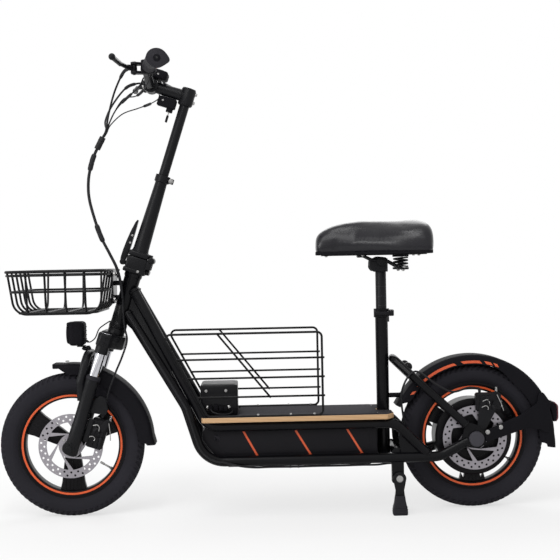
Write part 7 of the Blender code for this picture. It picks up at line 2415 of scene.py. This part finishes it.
@dataclass
class Saddle:
    """The post, the saddle's frame and pan, the padded cover, and the two springs."""

    seat_x: float = SEAT_TUBE_X
    low: float = 0.6460
    clamp_z: float = 0.624
    spring_x: float = 0.313
    spring_y: float = 0.050
    post_radius: float = 0.0136
    cloth_frames: int = 20
    most_swell: float = 0.0045
    foot_height: float = 0.0045

    def build(self) -> None:
        """Makes the saddle's pieces."""
        post = Piece("telescopic_post", "seat", "seat_post")
        shaft = rod((self.seat_x, 0, 0.300), (self.seat_x, 0, 0.612), self.post_radius, edge=0.0008, sides=44)
        neck = turned(
            [(self.post_radius, 0.600), (0.0134, 0.608), (0.0120, 0.6145), (0.010, 0.615), (0, 0.615)],
            (self.seat_x, 0, 0), steps=44,
        )
        rings = [
            rod((self.seat_x, 0, z), (self.seat_x, 0, z + 0.0007), radius=0.01372, edge=0.0001, sides=44)
            for z in np.arange(0.44, 0.56, 0.024)
        ]
        post.add(SATIN_COAT, shaft, neck).add(DARK_GLASS_AND_GAP_SHADE, *rings).make()
        self.frame()
        self.pan()
        self.cushion()
        self.springs()

    def frame(self) -> None:
        """The clamp round the post, the two bent rails, and the seats under the springs."""
        x, rail_z = self.seat_x, 0.6382
        piece = Piece("saddle_clamp_and_rails", "seat", "saddle_frame")
        clamp = turned(
            [
                (0.0138, 0.598), (0.0178, 0.598), (0.0185, 0.599), (0.0185, 0.631), (0.0178, 0.632),
                (0.0138, 0.632),
            ],
            (x, 0, 0), steps=48, closed=True,
        )
        cross = turned(
            [
                (0.0045, -0.028), (0.0108, -0.028), (0.0120, -0.0268), (0.0120, -0.0160), (0.0100, -0.0148),
                (0.0100, 0.0148), (0.0120, 0.0160), (0.0120, 0.0268), (0.0108, 0.028), (0.0045, 0.028),
            ],
            (x, 0, self.clamp_z), (0, 1, 0), steps=40, closed=True,
        )
        piece.add(BLACK_ALLOY, clamp, cross)
        bar = rod((x, -0.0330, self.clamp_z), (x, 0.0330, self.clamp_z), radius=0.0042, edge=0.0006, sides=24)
        piece.add(BLACK_ALLOY, bar)
        lump = [
            (-0.030, 0.609), (-0.024, 0.600), (0.000, 0.599), (0.014, 0.604), (0.016, 0.634),
            (-0.010, 0.637), (-0.029, 0.628),
        ]
        outline = rounded([(x + a, b) for a, b in lump], radius=0.007, steps=4)
        for side in (LEFT, RIGHT):
            low, high = sorted((side * 0.0145, side * 0.0195))
            piece.add(BLACK_ALLOY, plate(outline, low, high, edge=0.0015, matrix=upright()))
        for side in (LEFT, RIGHT):
            bolt = hex_bolt((x, side * 0.0280, self.clamp_z), (0, side, 0), size=0.0068, height=0.0042)
            piece.add(BLACK_ALLOY, bolt)
            route = bent(
                [
                    (0.205, side * 0.015, rail_z), (0.220, side * 0.018, rail_z),
                    (0.240, side * 0.022, 0.628), (0.279, side * 0.022, 0.625),
                    (0.309, side * 0.024, 0.6075), (0.314, side * 0.044, 0.6043),
                ],
                radius=0.010, steps=6,
            )
            piece.add(BLACK_ALLOY, tube(route, radius=0.0035, sides=20, across=(0.1, 0.2, 1)))
            cup = turned(
                [
                    (0, 0.603), (0.0130, 0.603), (0.0145, 0.6040), (0.0145, 0.6080), (0.0138, 0.6085),
                    (0.006, 0.6078), (0, 0.6078),
                ],
                (self.spring_x, side * self.spring_y, 0), steps=40,
            )
            piece.add(BLACK_ALLOY, cup)
            bolt = hex_bolt(
                (self.spring_x, side * self.spring_y, 0.6032), (0, 0, -1), size=0.0040, height=0.0030,
            )
            piece.add(ZINC, bolt)
        piece.add(BLACK_ALLOY, rod((0.207, -0.020, rail_z), (0.207, 0.020, rail_z), radius=0.0038))
        piece.make()

    def outline(self, by: float = 0.0) -> Array:
        """The pan's outline, all round.

        Args:
            by: how far the outline is moved inwards.

        Returns:
            The outline's points.
        """
        half = [
            (0.0985, 0.022), (0.1075, 0.029), (0.153, 0.036), (0.204, 0.052), (0.249, 0.078),
            (0.298, 0.104), (0.348, 0.121), (0.371, 0.121), (0.381, 0.108),
        ]
        return inset(rounded(both_sides(half), radius=0.011), by)

    def pan(self) -> None:
        """The moulded pan with its rolled edge, and the cups over the springs."""
        piece = Piece("saddle_pan", "seat", "saddle_base")
        piece.add(BLACK_ABS, plate(self.outline(), 0.6422, 0.6520, edge=0.0022))
        piece.add(BLACK_ABS, plate(self.outline(by=0.016), 0.6402, 0.6440, edge=0.0012))
        for side in (LEFT, RIGHT):
            cup = turned(
                [
                    (0, 0.6375), (0.0110, 0.6375), (0.0115, 0.6351), (0.0140, 0.6351), (0.0145, 0.6360),
                    (0.0145, 0.646), (0, 0.646),
                ],
                (self.spring_x, side * self.spring_y, 0), steps=40,
            )
            piece.add(BLACK_ABS, cup)
        for x, y in (
            (0.125, 0.0), (0.215, 0.030), (0.215, -0.030), (0.335, 0.085), (0.335, -0.085), (0.360, 0.0),
        ):
            piece.add(ZINC, hex_bolt((x, y, 0.6404), (0, 0, -1), size=0.0036, height=0.0022))
        piece.make()

    def stations(self) -> tuple[Array, Array, Array]:
        """The cover's half width and its top along its length, through the same stations as the CAD.

        Returns:
            Places along X, half widths and heights above the ground.
        """
        x = np.array(
            (0.0962, 0.0990, 0.1050, 0.1155, 0.132, 0.153, 0.194, 0.244, 0.303, 0.356, 0.376, 0.3840)
        )
        half = np.array(
            (0.0195, 0.0275, 0.0315, 0.0340, 0.0362, 0.0398, 0.0540, 0.0815, 0.1140, 0.1285, 0.1275, 0.1140)
        )
        rise = np.array(
            (0.038, 0.0495, 0.0575, 0.0655, 0.0738, 0.0800, 0.0845, 0.0832, 0.0825, 0.0858, 0.0818, 0.0690)
        )
        return x, half, 0.642 + rise

    def section(self, half: Array, top: Array) -> Array:
        """Sections of the cover: a flat foot, upright sides, a rolled shoulder and a shallow dish.

        Each section is one closed loop. A superellipse gives the roll: its height above the foot is
        a power of the cosine of the turn, and its width a power of the sine.

        Args:
            half: the half width at each station.
            top: the height at each station.

        Returns:
            For each station, the loop's points (y, z).
        """
        turn = np.linspace(-math.pi / 2, math.pi / 2, 33)[None, :, None]
        height = (top - self.low)[:, None, None]
        wide = half[:, None, None] * np.sign(np.sin(turn)) * np.abs(np.sin(turn)) ** 0.62
        lift = np.abs(np.cos(turn)) ** 0.50
        sag = (0.0050 * (half / 0.125))[:, None, None] * np.exp(
            -((wide / (half[:, None, None] * 0.40)) ** 2)
        ) * 0.55
        tall = self.low + height * lift - sag
        return np.concatenate([wide, tall], -1)

    def cushion(self) -> None:
        """The cover: a smooth skin over the foam, blown up a little by a cloth simulation."""
        x, half, top = self.stations()
        route = flowing(list(np.column_stack([x, half, top])), spacing=0.004)
        loops = self.section(route[:, 1], route[:, 2])
        along = np.broadcast_to(route[:, None, 0:1], loops.shape[:2] + (1,))
        rings = np.concatenate([along, loops], -1)
        middle = np.array((0.24, 0.0, self.low))
        inner = middle + (rings - middle) * (0.985, 0.978, 0.965)
        piece = Piece("padded_cover", "seat", "saddle_cushion").add(PU_LEATHER, grid_skin(inner))
        body = piece.make(angle=60)
        self.inflate(body)

    def inflate(self, body: bpy.types.Object) -> None:
        """Blows the cover up with a short cloth simulation, and holds every point near where it began.

        Args:
            body: the cover, whose mesh is replaced.
        """
        skin = body.modifiers.new("even_mesh", "REMESH")
        skin.mode = "VOXEL"
        skin.voxel_size = 0.0050
        apply_modifiers(body)
        start = np.empty(len(body.data.vertices) * 3, np.float32)
        body.data.vertices.foreach_get("co", start)
        foot = np.nonzero(start[2::3] < self.low + self.foot_height)[0]
        body.vertex_groups.new(name="foot").add(foot.tolist(), 1.0, "REPLACE")
        cloth = body.modifiers.new("foam_pressure", "CLOTH")
        cloth.settings.vertex_group_mass = "foot"
        cloth.settings.quality = 5
        cloth.settings.mass = 0.3
        cloth.settings.use_pressure = True
        cloth.settings.uniform_pressure_force = 4.0
        cloth.settings.effector_weights.gravity = 0.0
        cloth.settings.tension_stiffness = 40
        cloth.settings.compression_stiffness = 40
        scene = bpy.context.scene
        for number in range(1, self.cloth_frames + 1):
            scene.frame_set(number)
        apply_modifiers(body)
        scene.frame_set(1)
        points = np.empty_like(start)
        body.data.vertices.foreach_get("co", points)
        step = (points - start).reshape(-1, 3)
        length = np.linalg.norm(step, axis=1, keepdims=True)
        step *= np.minimum(1.0, self.most_swell / np.maximum(length, 1e-9))
        body.data.vertices.foreach_set("co", (start.reshape(-1, 3) + step).ravel())
        smooth = body.modifiers.new("settle", "SMOOTH")
        smooth.factor = 0.5
        smooth.iterations = 14
        finer = body.modifiers.new("finer", "SUBSURF")
        finer.levels = finer.render_levels = 1
        apply_modifiers(body)
        body.data.shade_smooth()

    def springs(self) -> None:
        """The coil springs: a helix whose end turns lie flat."""
        turns, coil, wire = 3, 0.0115, 0.002
        foot, rise = 0.6108, 0.022
        turn = np.linspace(0, turns * 2 * math.pi, turns * 40)
        climb = np.clip((turn / (turns * 2 * math.pi) - 0.04) / 0.92, 0, 1)
        for name, side in SIDES.items():
            along, across = self.spring_x + coil * np.cos(turn), side * (self.spring_y + coil * np.sin(turn))
            route = np.stack([along, across, foot + rise * climb], 1)
            piece = Piece(f"coil_{name}", "seat", f"saddle_spring_{name}")
            piece.add(BLACK_ALLOY, tube(route, wire, sides=16, across=(0.02, 0.1, 1))).make()


@dataclass
class Kickstand:
    """The parking stand: a flat leg on its bolt, with a moulded foot."""

    x: float = 0.290
    pivot_z: float = 0.0885
    y: float = -0.0916
    eye: float = 0.0165
    half_thickness: float = 0.004

    def build(self) -> None:
        """Makes the leg, the foot and the bolt."""
        x, z, y = self.x, self.pivot_z, self.y
        angle = np.linspace(0, math.pi, 17)
        top = np.column_stack([x + self.eye * np.cos(angle), z + self.eye * np.sin(angle)])
        outline = np.vstack(
            [top, [(x - 0.0105, 0.060), (x - 0.0130, 0.036), (x + 0.0130, 0.036), (x + 0.0105, 0.060)]]
        )
        leg = plate(outline, -self.half_thickness - y, self.half_thickness - y, edge=0.0012, matrix=upright())
        profile = [
            (0.0, 0.0172), (0.0020, 0.0180), (0.0100, 0.0180), (0.0200, 0.0165), (0.0330, 0.0138),
            (0.0420, 0.0128), (0.0470, 0.0120),
        ]
        rings = []
        for height, half in profile:
            wide = half * (0.0145 / 0.018)
            ring = rounded_box(-half, -wide, half, wide, radius=0.0045)
            rings.append(np.column_stack([ring[:, 0] + x, ring[:, 1] + y, np.full(len(ring), height)]))
        piece = Piece("parking_stand", "stand", "kickstand").add(SATIN_COAT, leg)
        piece.add(GRIP_RUBBER, grid_skin(np.array(rings)))
        for height, half in ((0.006, 0.0184), (0.012, 0.0182), (0.018, 0.0174)):
            wide = half * (0.0148 / 0.018)
            band = rounded_box(-half, -wide, half, wide, radius=0.0045, steps=4)
            piece.add(GRIP_RUBBER, plate(band, height, height + 0.0030, edge=0.0012, matrix=moved(x, y, 0)))
        piece.add(ZINC, rod((x, y, z), (x, -0.078, z), radius=0.005, edge=0.0004, sides=28))
        piece.add(ZINC, hex_bolt((x, y - self.half_thickness, z), (0, -1, 0), size=0.0062, height=0.0056))
        piece.make()


# Cables

# The loom's gathering sleeve, from its top to its end, and the loom's foot at the crown
LOOM_TOP = from_front(0.0940, -0.020, 0.768)
LOOM_END = from_front(0.0785, -0.020, 0.738)
LOOM_FOOT = from_front(0.1345, -0.0272, 0.365)
# A direction that no cable follows
CABLE_ACROSS = (0.05, 0.99, 0.1)


@dataclass
class Cables:
    """The cables between the bar, the lamp and the brakes, with their sleeves and plugs.

    The loom is two pieces, cut at the height split_z; neither rides on a body.
    """

    pivot: Triple = LEVER_PIVOT
    radius: float = 0.0025
    loom: float = 0.0045
    split_z: float = 0.680

    def build(self) -> None:
        """Makes every cable on its CAD route, and the thin wires beside them."""
        self.bar_cables()
        self.long_loom()
        self.frame_cables()

    def jacket(self, piece: Piece, route: list, radius: float) -> Array:
        """A round jacket along a smooth route; the route is handed back for its fittings.

        Args:
            piece: the piece that takes its skin.
            route: the points that it goes through.
            radius: the jacket's radius.

        Returns:
            The path's points.
        """
        path = flowing(route, spacing=0.004)
        piece.add(CABLE_PVC, tube(path, radius, sides=16, across=CABLE_ACROSS))
        return path

    def sleeve(self, piece: Piece, path: Array, start: float, end: float, radius: float) -> None:
        """A plug or a heat-shrink sleeve over part of a path, with shoulders and a ribbed waist.

        Args:
            piece: the piece that takes its skin.
            path: the cable's path.
            start: where it starts, measured along the path.
            end: where it ends.
            radius: the sleeve's radius.
        """
        step = np.linalg.norm(np.diff(path, axis=0), axis=1)
        length = np.concatenate([[0], np.cumsum(step)])
        spots = np.linspace(start, end, 26)
        part = np.column_stack([np.interp(spots, length, path[:, k]) for k in range(3)])
        share = np.linspace(0, 1, 26)
        size = radius * (0.78 + 0.22 * np.clip(np.minimum(share, 1 - share) / 0.10, 0, 1))
        size *= 1 - 0.05 * (np.abs(share - 0.5) < 0.03)
        piece.add(CABLE_PVC, tube(part, size, sides=20, across=CABLE_ACROSS))

    def bar_cables(self) -> None:
        """The two brake cables from the levers to the loom's sleeve, and the switches' wires with them."""
        px, py, pz = self.pivot
        start_y = py - 0.0135 - 0.012 - GAP
        start_x = px - 0.001
        top, end = LOOM_TOP, LOOM_END
        along = unit(top - end)
        meet = top + along * GAP
        left = [
            (start_x, -start_y, pz), (start_x - 0.0004, -start_y + 0.005, pz),
            (start_x - 0.012, -start_y + 0.015, pz + 0.003), from_front(0.1565, -0.092, 0.918),
            from_front(0.1305, -0.062, 0.876), from_front(0.1115, -0.036, 0.824),
            meet + along * 0.018 + (0, -0.005, 0), meet + (0, -0.004, 0),
        ]
        right = [
            (start_x, start_y, pz), (start_x - 0.0004, start_y - 0.005, pz),
            (start_x - 0.014, start_y - 0.014, pz + 0.002), from_front(0.1425, 0.088, 0.905),
            from_front(0.1105, 0.052, 0.856), from_front(0.0965, 0.016, 0.812),
            meet + along * 0.018 + (0, 0.006, 0), meet + (0, 0.004, 0),
        ]
        for name, route in (("left", left), ("right", right)):
            piece = Piece(f"brake_cable_{name}", "stem_upper", f"cable_{name}")
            path = self.jacket(piece, route, self.radius)
            self.sleeve(piece, path, start=0.0, end=0.014, radius=0.0034)
            self.sleeve(piece, path, start=0.030, end=0.066, radius=0.0042)
            piece.make()
        switches = [
            [
                (-0.301, -0.158, 1.083), (-0.300, -0.150, 1.070), from_front(0.2060, -0.110, 0.872),
                from_front(0.1830, -0.070, 0.862), from_front(0.1480, -0.042, 0.858),
                from_front(0.1180, -0.030, 0.815), meet + along * 0.012 + (0.004, -0.0015, 0),
                meet + (0.003, 0, 0),
            ],
            [
                (-0.300, 0.160, 1.081), (-0.300, 0.150, 1.066), from_front(0.2040, 0.105, 0.866),
                from_front(0.1760, 0.055, 0.848), from_front(0.1400, 0.020, 0.830),
                from_front(0.1120, -0.004, 0.800), meet + along * 0.012 + (0.004, 0.002, 0),
                meet + (0.003, 0.001, 0),
            ],
            [
                steered(-0.100, -0.012, 0.941), steered(-0.116, -0.014, 0.932),
                steered(-0.122, -0.016, 0.905), from_front(0.1300, -0.022, 0.838),
                meet + along * 0.010 + (0.001, -0.0005, 0), meet + (0.0, 0.0, 0),
            ],
        ]
        piece = Piece("switch_wires", "stem_upper")
        for index, route in enumerate(switches):
            path = self.jacket(piece, route, 0.0015 if index < 2 else 0.0019)
            self.sleeve(piece, path, start=0.070, end=0.105, radius=0.0037)
        piece.make()

    def long_loom(self) -> None:
        """The loom down the stem: its sleeve, the jacket, and the tie that gathers it."""
        top, end = LOOM_TOP, LOOM_END
        along = unit(top - end)
        route = [
            end + along * 0.010, end - along * 0.012, from_front(0.0645, -0.0205, 0.704),
            from_front(0.056, -0.0210, 0.665), from_front(0.056, -0.0220, 0.62),
            from_front(0.0675, -0.0240, 0.57), from_front(0.0845, -0.0260, 0.519),
            from_front(0.1045, -0.0275, 0.478), from_front(0.1215, -0.0285, 0.442),
            from_front(0.1305, -0.0285, 0.405), LOOM_FOOT,
        ]
        path = flowing(route, spacing=0.004)
        split = int(np.argmin(np.abs(path[:, 2] - self.split_z)))
        for name, part, bodies in (
            ("upper_loom", path[: split + 1], ("stem_upper", "stem_lower")),
            ("lower_loom", path[split:], ("stem_lower", "fork_upper")),
        ):
            piece = Piece(name, "stem_lower", "main_loom")
            piece.add(CABLE_PVC, tube(part, self.loom - 0.0008, sides=16, across=CABLE_ACROSS))
            strand = tube(part + (0.0016, 0.0014, 0), radius=0.0022, sides=12, across=CABLE_ACROSS)
            piece.add(CABLE_PVC, strand)
            if name == "upper_loom":
                piece.add(CABLE_PVC, rod(top, end, radius=0.0078, edge=0.0012, sides=28))
                bar = rod(top - along * 0.009, top - along * 0.011, radius=0.0083, edge=0.0003, sides=28)
                piece.add(CABLE_PVC, bar)
                self.sleeve(piece, path, start=0.024, end=0.066, radius=0.0066)
                self.sleeve(piece, path, start=0.205, end=0.250, radius=0.0064)
            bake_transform(piece.make(ride=False))

    def frame_cables(self) -> None:
        """The front brake's cable, the lamp's wire, and the rear brake's cable along the left side."""
        caliper = (0.0335, -0.041)
        front = [
            LOOM_FOOT + (0.0008, 0, -0.0006), LOOM_FOOT + (0.0010, 0.0005, -0.030),
            from_front(0.1385, -0.0310, 0.294), from_front(0.1445, -0.0360, 0.26),
            from_front(0.1325, -0.0450, 0.22), from_front(0.1155, -0.0510, 0.18),
            from_front(0.0965, -0.0510, 0.13), steered(caliper[0], caliper[1] - 0.002, 0.110),
            steered(*caliper, 0.0883),
        ]
        piece = Piece("front_disc_cable", "fork_lower", "front_brake_cable")
        path = self.jacket(piece, front, self.radius)
        self.sleeve(piece, path[::-1], start=0.0, end=0.016, radius=0.0036)
        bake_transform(piece.make(ride=False))
        lamp = [
            (-0.4852, -0.012, 0.440), (-0.4815, -0.012, 0.440), from_front(0.0485, -0.012, 0.256),
            from_front(0.0625, -0.012, 0.266), from_front(0.0725, -0.012, 0.288),
            from_front(0.0875, -0.011, 0.300), from_front(0.1010, -0.010, 0.308),
        ]
        piece = Piece("lamp_wire", "fork_lower", "headlight_wire")
        path = self.jacket(piece, lamp, radius=0.0015)
        self.sleeve(piece, path, start=0.0, end=0.010, radius=0.0028)
        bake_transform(piece.make(ride=False))
        out = 0.0125 + 0.0037
        under = LOWER_RAIL_HEIGHT - out
        beside = [p - (0, out, 0) for p in lower_rail(LEFT) if p[0] < -0.130]
        wave = [
            np.array((x, -RAIL_Y + 0.001 * sideways, under - 0.0007 * sag))
            for x, sideways, sag in ((-0.03, 0, 0), (0.03, 1, 1), (0.09, -1, 0), (0.15, 1, 1))
        ]
        rear = [
            *beside, (-0.100, -RAIL_Y - 0.0125, LOWER_RAIL_HEIGHT - 0.0105),
            (-0.065, -RAIL_Y - 0.005, LOWER_RAIL_HEIGHT - 0.0157), *wave,
            (SEAT_TUBE_X - 0.062, -0.080, under), (SEAT_TUBE_X - 0.027, -0.079, under - 0.0005),
            (SEAT_TUBE_X + 0.002, -0.060, under - 0.001), (SEAT_TUBE_X + 0.04, -0.050, 0.124),
            (SEAT_TUBE_X + 0.051, -0.050, 0.150), (SEAT_TUBE_X + 0.046, -0.053, 0.220),
            (SEAT_TUBE_X + 0.04, -0.068, 0.300), (SEAT_TUBE_X + 0.073, -0.071, 0.350),
            from_rear(-0.0945, -0.078, 0.135), from_rear(-0.0565, -0.075, 0.118),
            from_rear(-0.0165, -0.062, 0.126), from_rear(0.010, -0.0535, 0.123),
            from_rear(0.0135, -0.053, 0.1173), from_rear(0.0135, -0.053, 0.1123),
        ]
        piece = Piece("rear_disc_cable", "frame", "rear_brake_cable")
        path = self.jacket(piece, rear, self.radius)
        self.sleeve(piece, path[::-1], start=0.0, end=0.014, radius=0.0036)
        for x in (-0.28, -0.20, 0.02, 0.14):
            spot = int(np.argmin(np.abs(path[: len(path) // 2, 0] - x)))
            step = unit(path[spot + 1] - path[spot - 1]) * 0.0018
            bar = rod(path[spot] - step, path[spot] + step, radius=0.0033, edge=0.0004, sides=20)
            piece.add(CABLE_PVC, bar)
        piece.make()


# Studio

WHITE = (1, 1, 1, 1)


@dataclass
class Studio:
    """The camera at the photograph's place, the lamps, the white surround and the pale floor."""

    camera_place: Triple = (-0.0603, -3.0525, 0.6259)
    yaw: float = 1.265
    pitch: float = -0.8205
    roll: float = -1.1308
    focal_pixels: float = 1208.59
    image_size: float = 560.0
    sensor_mm: float = 36.0
    soft_light: float = 0.60
    paper: float = 0.92

    def camera(self) -> None:
        """The camera: its axes follow from yaw, pitch and roll, and its lens from the focal length."""
        yaw, pitch, roll = (math.radians(v) for v in (self.yaw, self.pitch, self.roll))
        forward = np.array(
            (math.sin(yaw) * math.cos(pitch), math.cos(yaw) * math.cos(pitch), math.sin(pitch))
        )
        right = np.array((math.cos(yaw), -math.sin(yaw), 0.0))
        up = np.cross(right, forward)
        turned_right = math.cos(roll) * right + math.sin(roll) * up
        turned_up = -math.sin(roll) * right + math.cos(roll) * up
        data = bpy.data.cameras.new("camera")
        data.sensor_width = self.sensor_mm
        data.lens = self.focal_pixels / self.image_size * data.sensor_width
        made = bpy.data.objects.new("camera", data)
        matrix = np.eye(4)
        matrix[:3, :3] = np.stack([turned_right, turned_up, -forward], axis=1)
        matrix[:3, 3] = self.camera_place
        made.matrix_world = Matrix(matrix.tolist())
        bpy.context.scene.collection.objects.link(made)
        bpy.context.scene.camera = made

    def lamp(self, name: str, place: Triple, target: Triple, size: tuple[float, float], power: float) -> None:
        """A soft lamp of a width and a height that faces a target.

        Args:
            name: the lamp's name.
            place: where it hangs.
            target: the point that it faces.
            size: its width and height.
            power: its power in watts.
        """
        data = bpy.data.lights.new(name, "AREA")
        data.shape = "RECTANGLE"
        data.size, data.size_y = size
        data.energy = power
        made = bpy.data.objects.new(name, data)
        away = np.array(place, float) - np.array(target, float)
        turn = np.eye(4)
        turn[:3, :3] = axes_along(tuple(away))
        turn[:3, 3] = place
        made.matrix_world = Matrix(turn.tolist())
        bpy.context.scene.collection.objects.link(made)

    def surround(self) -> None:
        """The world: white to the camera, to gloss and through glass, and a soft grey light elsewhere."""
        world = bpy.data.worlds.new("studio")
        bpy.context.scene.world = world
        world.use_nodes = True
        tree = world.node_tree
        tree.nodes.clear()
        tree_paths = add_node(tree, "ShaderNodeLightPath", {}, {}).outputs
        clear = add_node(
            tree, "ShaderNodeMath", {"operation": "MAXIMUM"},
            {0: tree_paths["Is Camera Ray"], 1: tree_paths["Is Transmission Ray"]},
        )
        seen = add_node(
            tree, "ShaderNodeMath", {"operation": "MAXIMUM"},
            {0: clear.outputs[0], 1: tree_paths["Is Glossy Ray"]},
        )
        soft = add_node(tree, "ShaderNodeBackground", {"Color": WHITE, "Strength": self.soft_light}, {})
        white = add_node(tree, "ShaderNodeBackground", {"Color": WHITE, "Strength": 1.0}, {})
        mixed = add_node(
            tree, "ShaderNodeMixShader", {}, {0: seen.outputs[0], 1: soft.outputs[0], 2: white.outputs[0]}
        )
        add_node(tree, "ShaderNodeOutputWorld", {}, {0: mixed.outputs[0]})

    def floor(self) -> None:
        """The floor: a pale sheet that keeps the shadow and fades to the white surround."""
        made = bpy.data.materials.new("pale_paper")
        made.use_nodes = True
        tree = made.node_tree
        shader = tree.nodes["Principled BSDF"]
        shader.inputs["Base Color"].default_value = (self.paper, self.paper, self.paper, 1)
        shader.inputs["Roughness"].default_value = 0.95
        shader.inputs["Specular IOR Level"].default_value = 0.0
        place = add_node(tree, "ShaderNodeTexCoord", {}, {}).outputs["Object"]
        flat = add_node(
            tree, "ShaderNodeVectorMath", {"operation": "MULTIPLY", 1: (1.0, 1.7, 0.0)}, {0: place},
        )
        away = add_node(tree, "ShaderNodeVectorMath", {"operation": "LENGTH"}, {0: flat.outputs[0]})
        fade = add_node(
            tree, "ShaderNodeMapRange", {"interpolation_type": "SMOOTHSTEP", 1: 0.75, 2: 1.55, 3: 0.62},
            {0: away.outputs["Value"]},
        )
        paths = add_node(tree, "ShaderNodeLightPath", {}, {}).outputs
        seen = add_node(
            tree, "ShaderNodeMath", {"operation": "MULTIPLY"},
            {0: fade.outputs[0], 1: paths["Is Camera Ray"]},
        )
        glow = add_node(tree, "ShaderNodeEmission", {"Color": WHITE, "Strength": 1.0}, {})
        mixed = add_node(
            tree, "ShaderNodeMixShader", {}, {0: seen.outputs[0], 1: shader.outputs[0], 2: glow.outputs[0]}
        )
        tree.links.new(mixed.outputs[0], tree.nodes["Material Output"].inputs[0])
        mesh = bpy.data.meshes.new("floor")
        sheet = np.array([(-12, -12, 0), (12, -12, 0), (12, 12, 0), (-12, 12, 0)], float)
        mesh.from_pydata(sheet.tolist(), [], [(0, 1, 2, 3)])
        mesh.materials.append(made)
        ground = bpy.data.objects.new("floor", mesh)
        bpy.context.scene.collection.objects.link(ground)

    def build(self) -> None:
        """Makes the camera, the surround, the floor and four soft lamps."""
        bpy.context.scene.view_settings.view_transform = "Standard"
        self.camera()
        self.surround()
        self.floor()
        middle = (0, 0, 0.5)
        self.lamp("key", (-1.6, -2.6, 2.6), middle, size=(1.6, 1.6), power=22.0)
        self.lamp("overhead", (-0.4, -1.5, 2.9), middle, size=(2.8, 0.30), power=24.0)
        self.lamp("side", (-2.4, -1.7, 1.1), (0, 0, 0.6), size=(0.30, 2.2), power=20.0)
        self.lamp("rim", (0.4, 2.6, 2.4), middle, size=(2.0, 2.0), power=24.0)


SLOT_FINISHES = {
    "frame_paint": FRAME_COAT, "satin_paint": SATIN_COAT, "tyre_rubber": TYRE_RUBBER,
    "grip_rubber": GRIP_RUBBER, "wheel_enamel": WHEEL_ENAMEL, "disc_steel": DISC_STEEL,
    "zinc_steel": ZINC, "chrome_plate": CHROME, "black_aluminium": BLACK_ALLOY,
    "moulded_plastic": BLACK_ABS, "battery_plastic": BATTERY_ABS, "plywood": PLYWOOD,
    "grip_tape": GRIT_SHEET, "saddle_leather": PU_LEATHER, "coated_wire": WIRE_COAT,
    "cable_sheath": CABLE_PVC, "red_lens": RED_ACRYLIC,
}


def dress_nodes() -> None:
    """Gives every CAD node the finish of its material slot."""
    for entry in frame["record"]["subparts"]:
        node = frame["nodes"][entry["node"]]
        node.data.materials.clear()
        node.data.materials.append(SLOT_FINISHES[entry["material_slot"]].material())


def main() -> None:
    """Builds the studio and each sub-assembly in order, and reports each one."""
    logging.basicConfig(level=logging.INFO, format="%(name)s: %(message)s")
    Studio().build()
    dress_nodes()
    parts = [
        Wheel("front", FRONT_AXLE, hub_radius=0.028, hub_left=-0.0397, hub_right=0.036, disc_y=-0.041),
        Wheel("rear", REAR_AXLE, hub_radius=0.096, hub_left=-0.040, hub_right=0.040, disc_y=-0.053),
        Axles(),
        FrameSides(),
        HeadTube(),
        SeatMast(),
        Deck(),
        LuggageCage(),
        FrontBasket(),
        Fender(
            "front_fender", "fork_lower", FRONT_AXLE, radius=0.206, first=102, last=-1,
            skirt=0.027, deeper=0.010, deepens=0.20, point=0.10,
        ),
        Fender(
            "rear_fender", "frame", REAR_AXLE, radius=0.2075, first=157, last=-9,
            skirt=0.0245, deeper=0.016, deepens=0.50, point=0.04,
            stripes=((144.5, 141.5), (136.5, 103.5), (98.0, 83.5), (80.0, 75.0), (73.0, 70.0)),
        ),
        Lamps(),
        Fork(),
        Brake("front", "fork_lower", STEER, x=0.0335, y=-0.0525, low=0.012, high=0.088),
        Brake("rear", "frame", moved(*REAR_AXLE), x=0.034, y=-0.0640, low=0.066, high=0.112),
        FoldingStem(),
        Handlebar(),
        Saddle(),
        Kickstand(),
        Cables(),
    ]
    for part in parts:
        part.build()
        LOG.info("built %s", type(part).__name__)


if __name__ == "__main__":
    main()
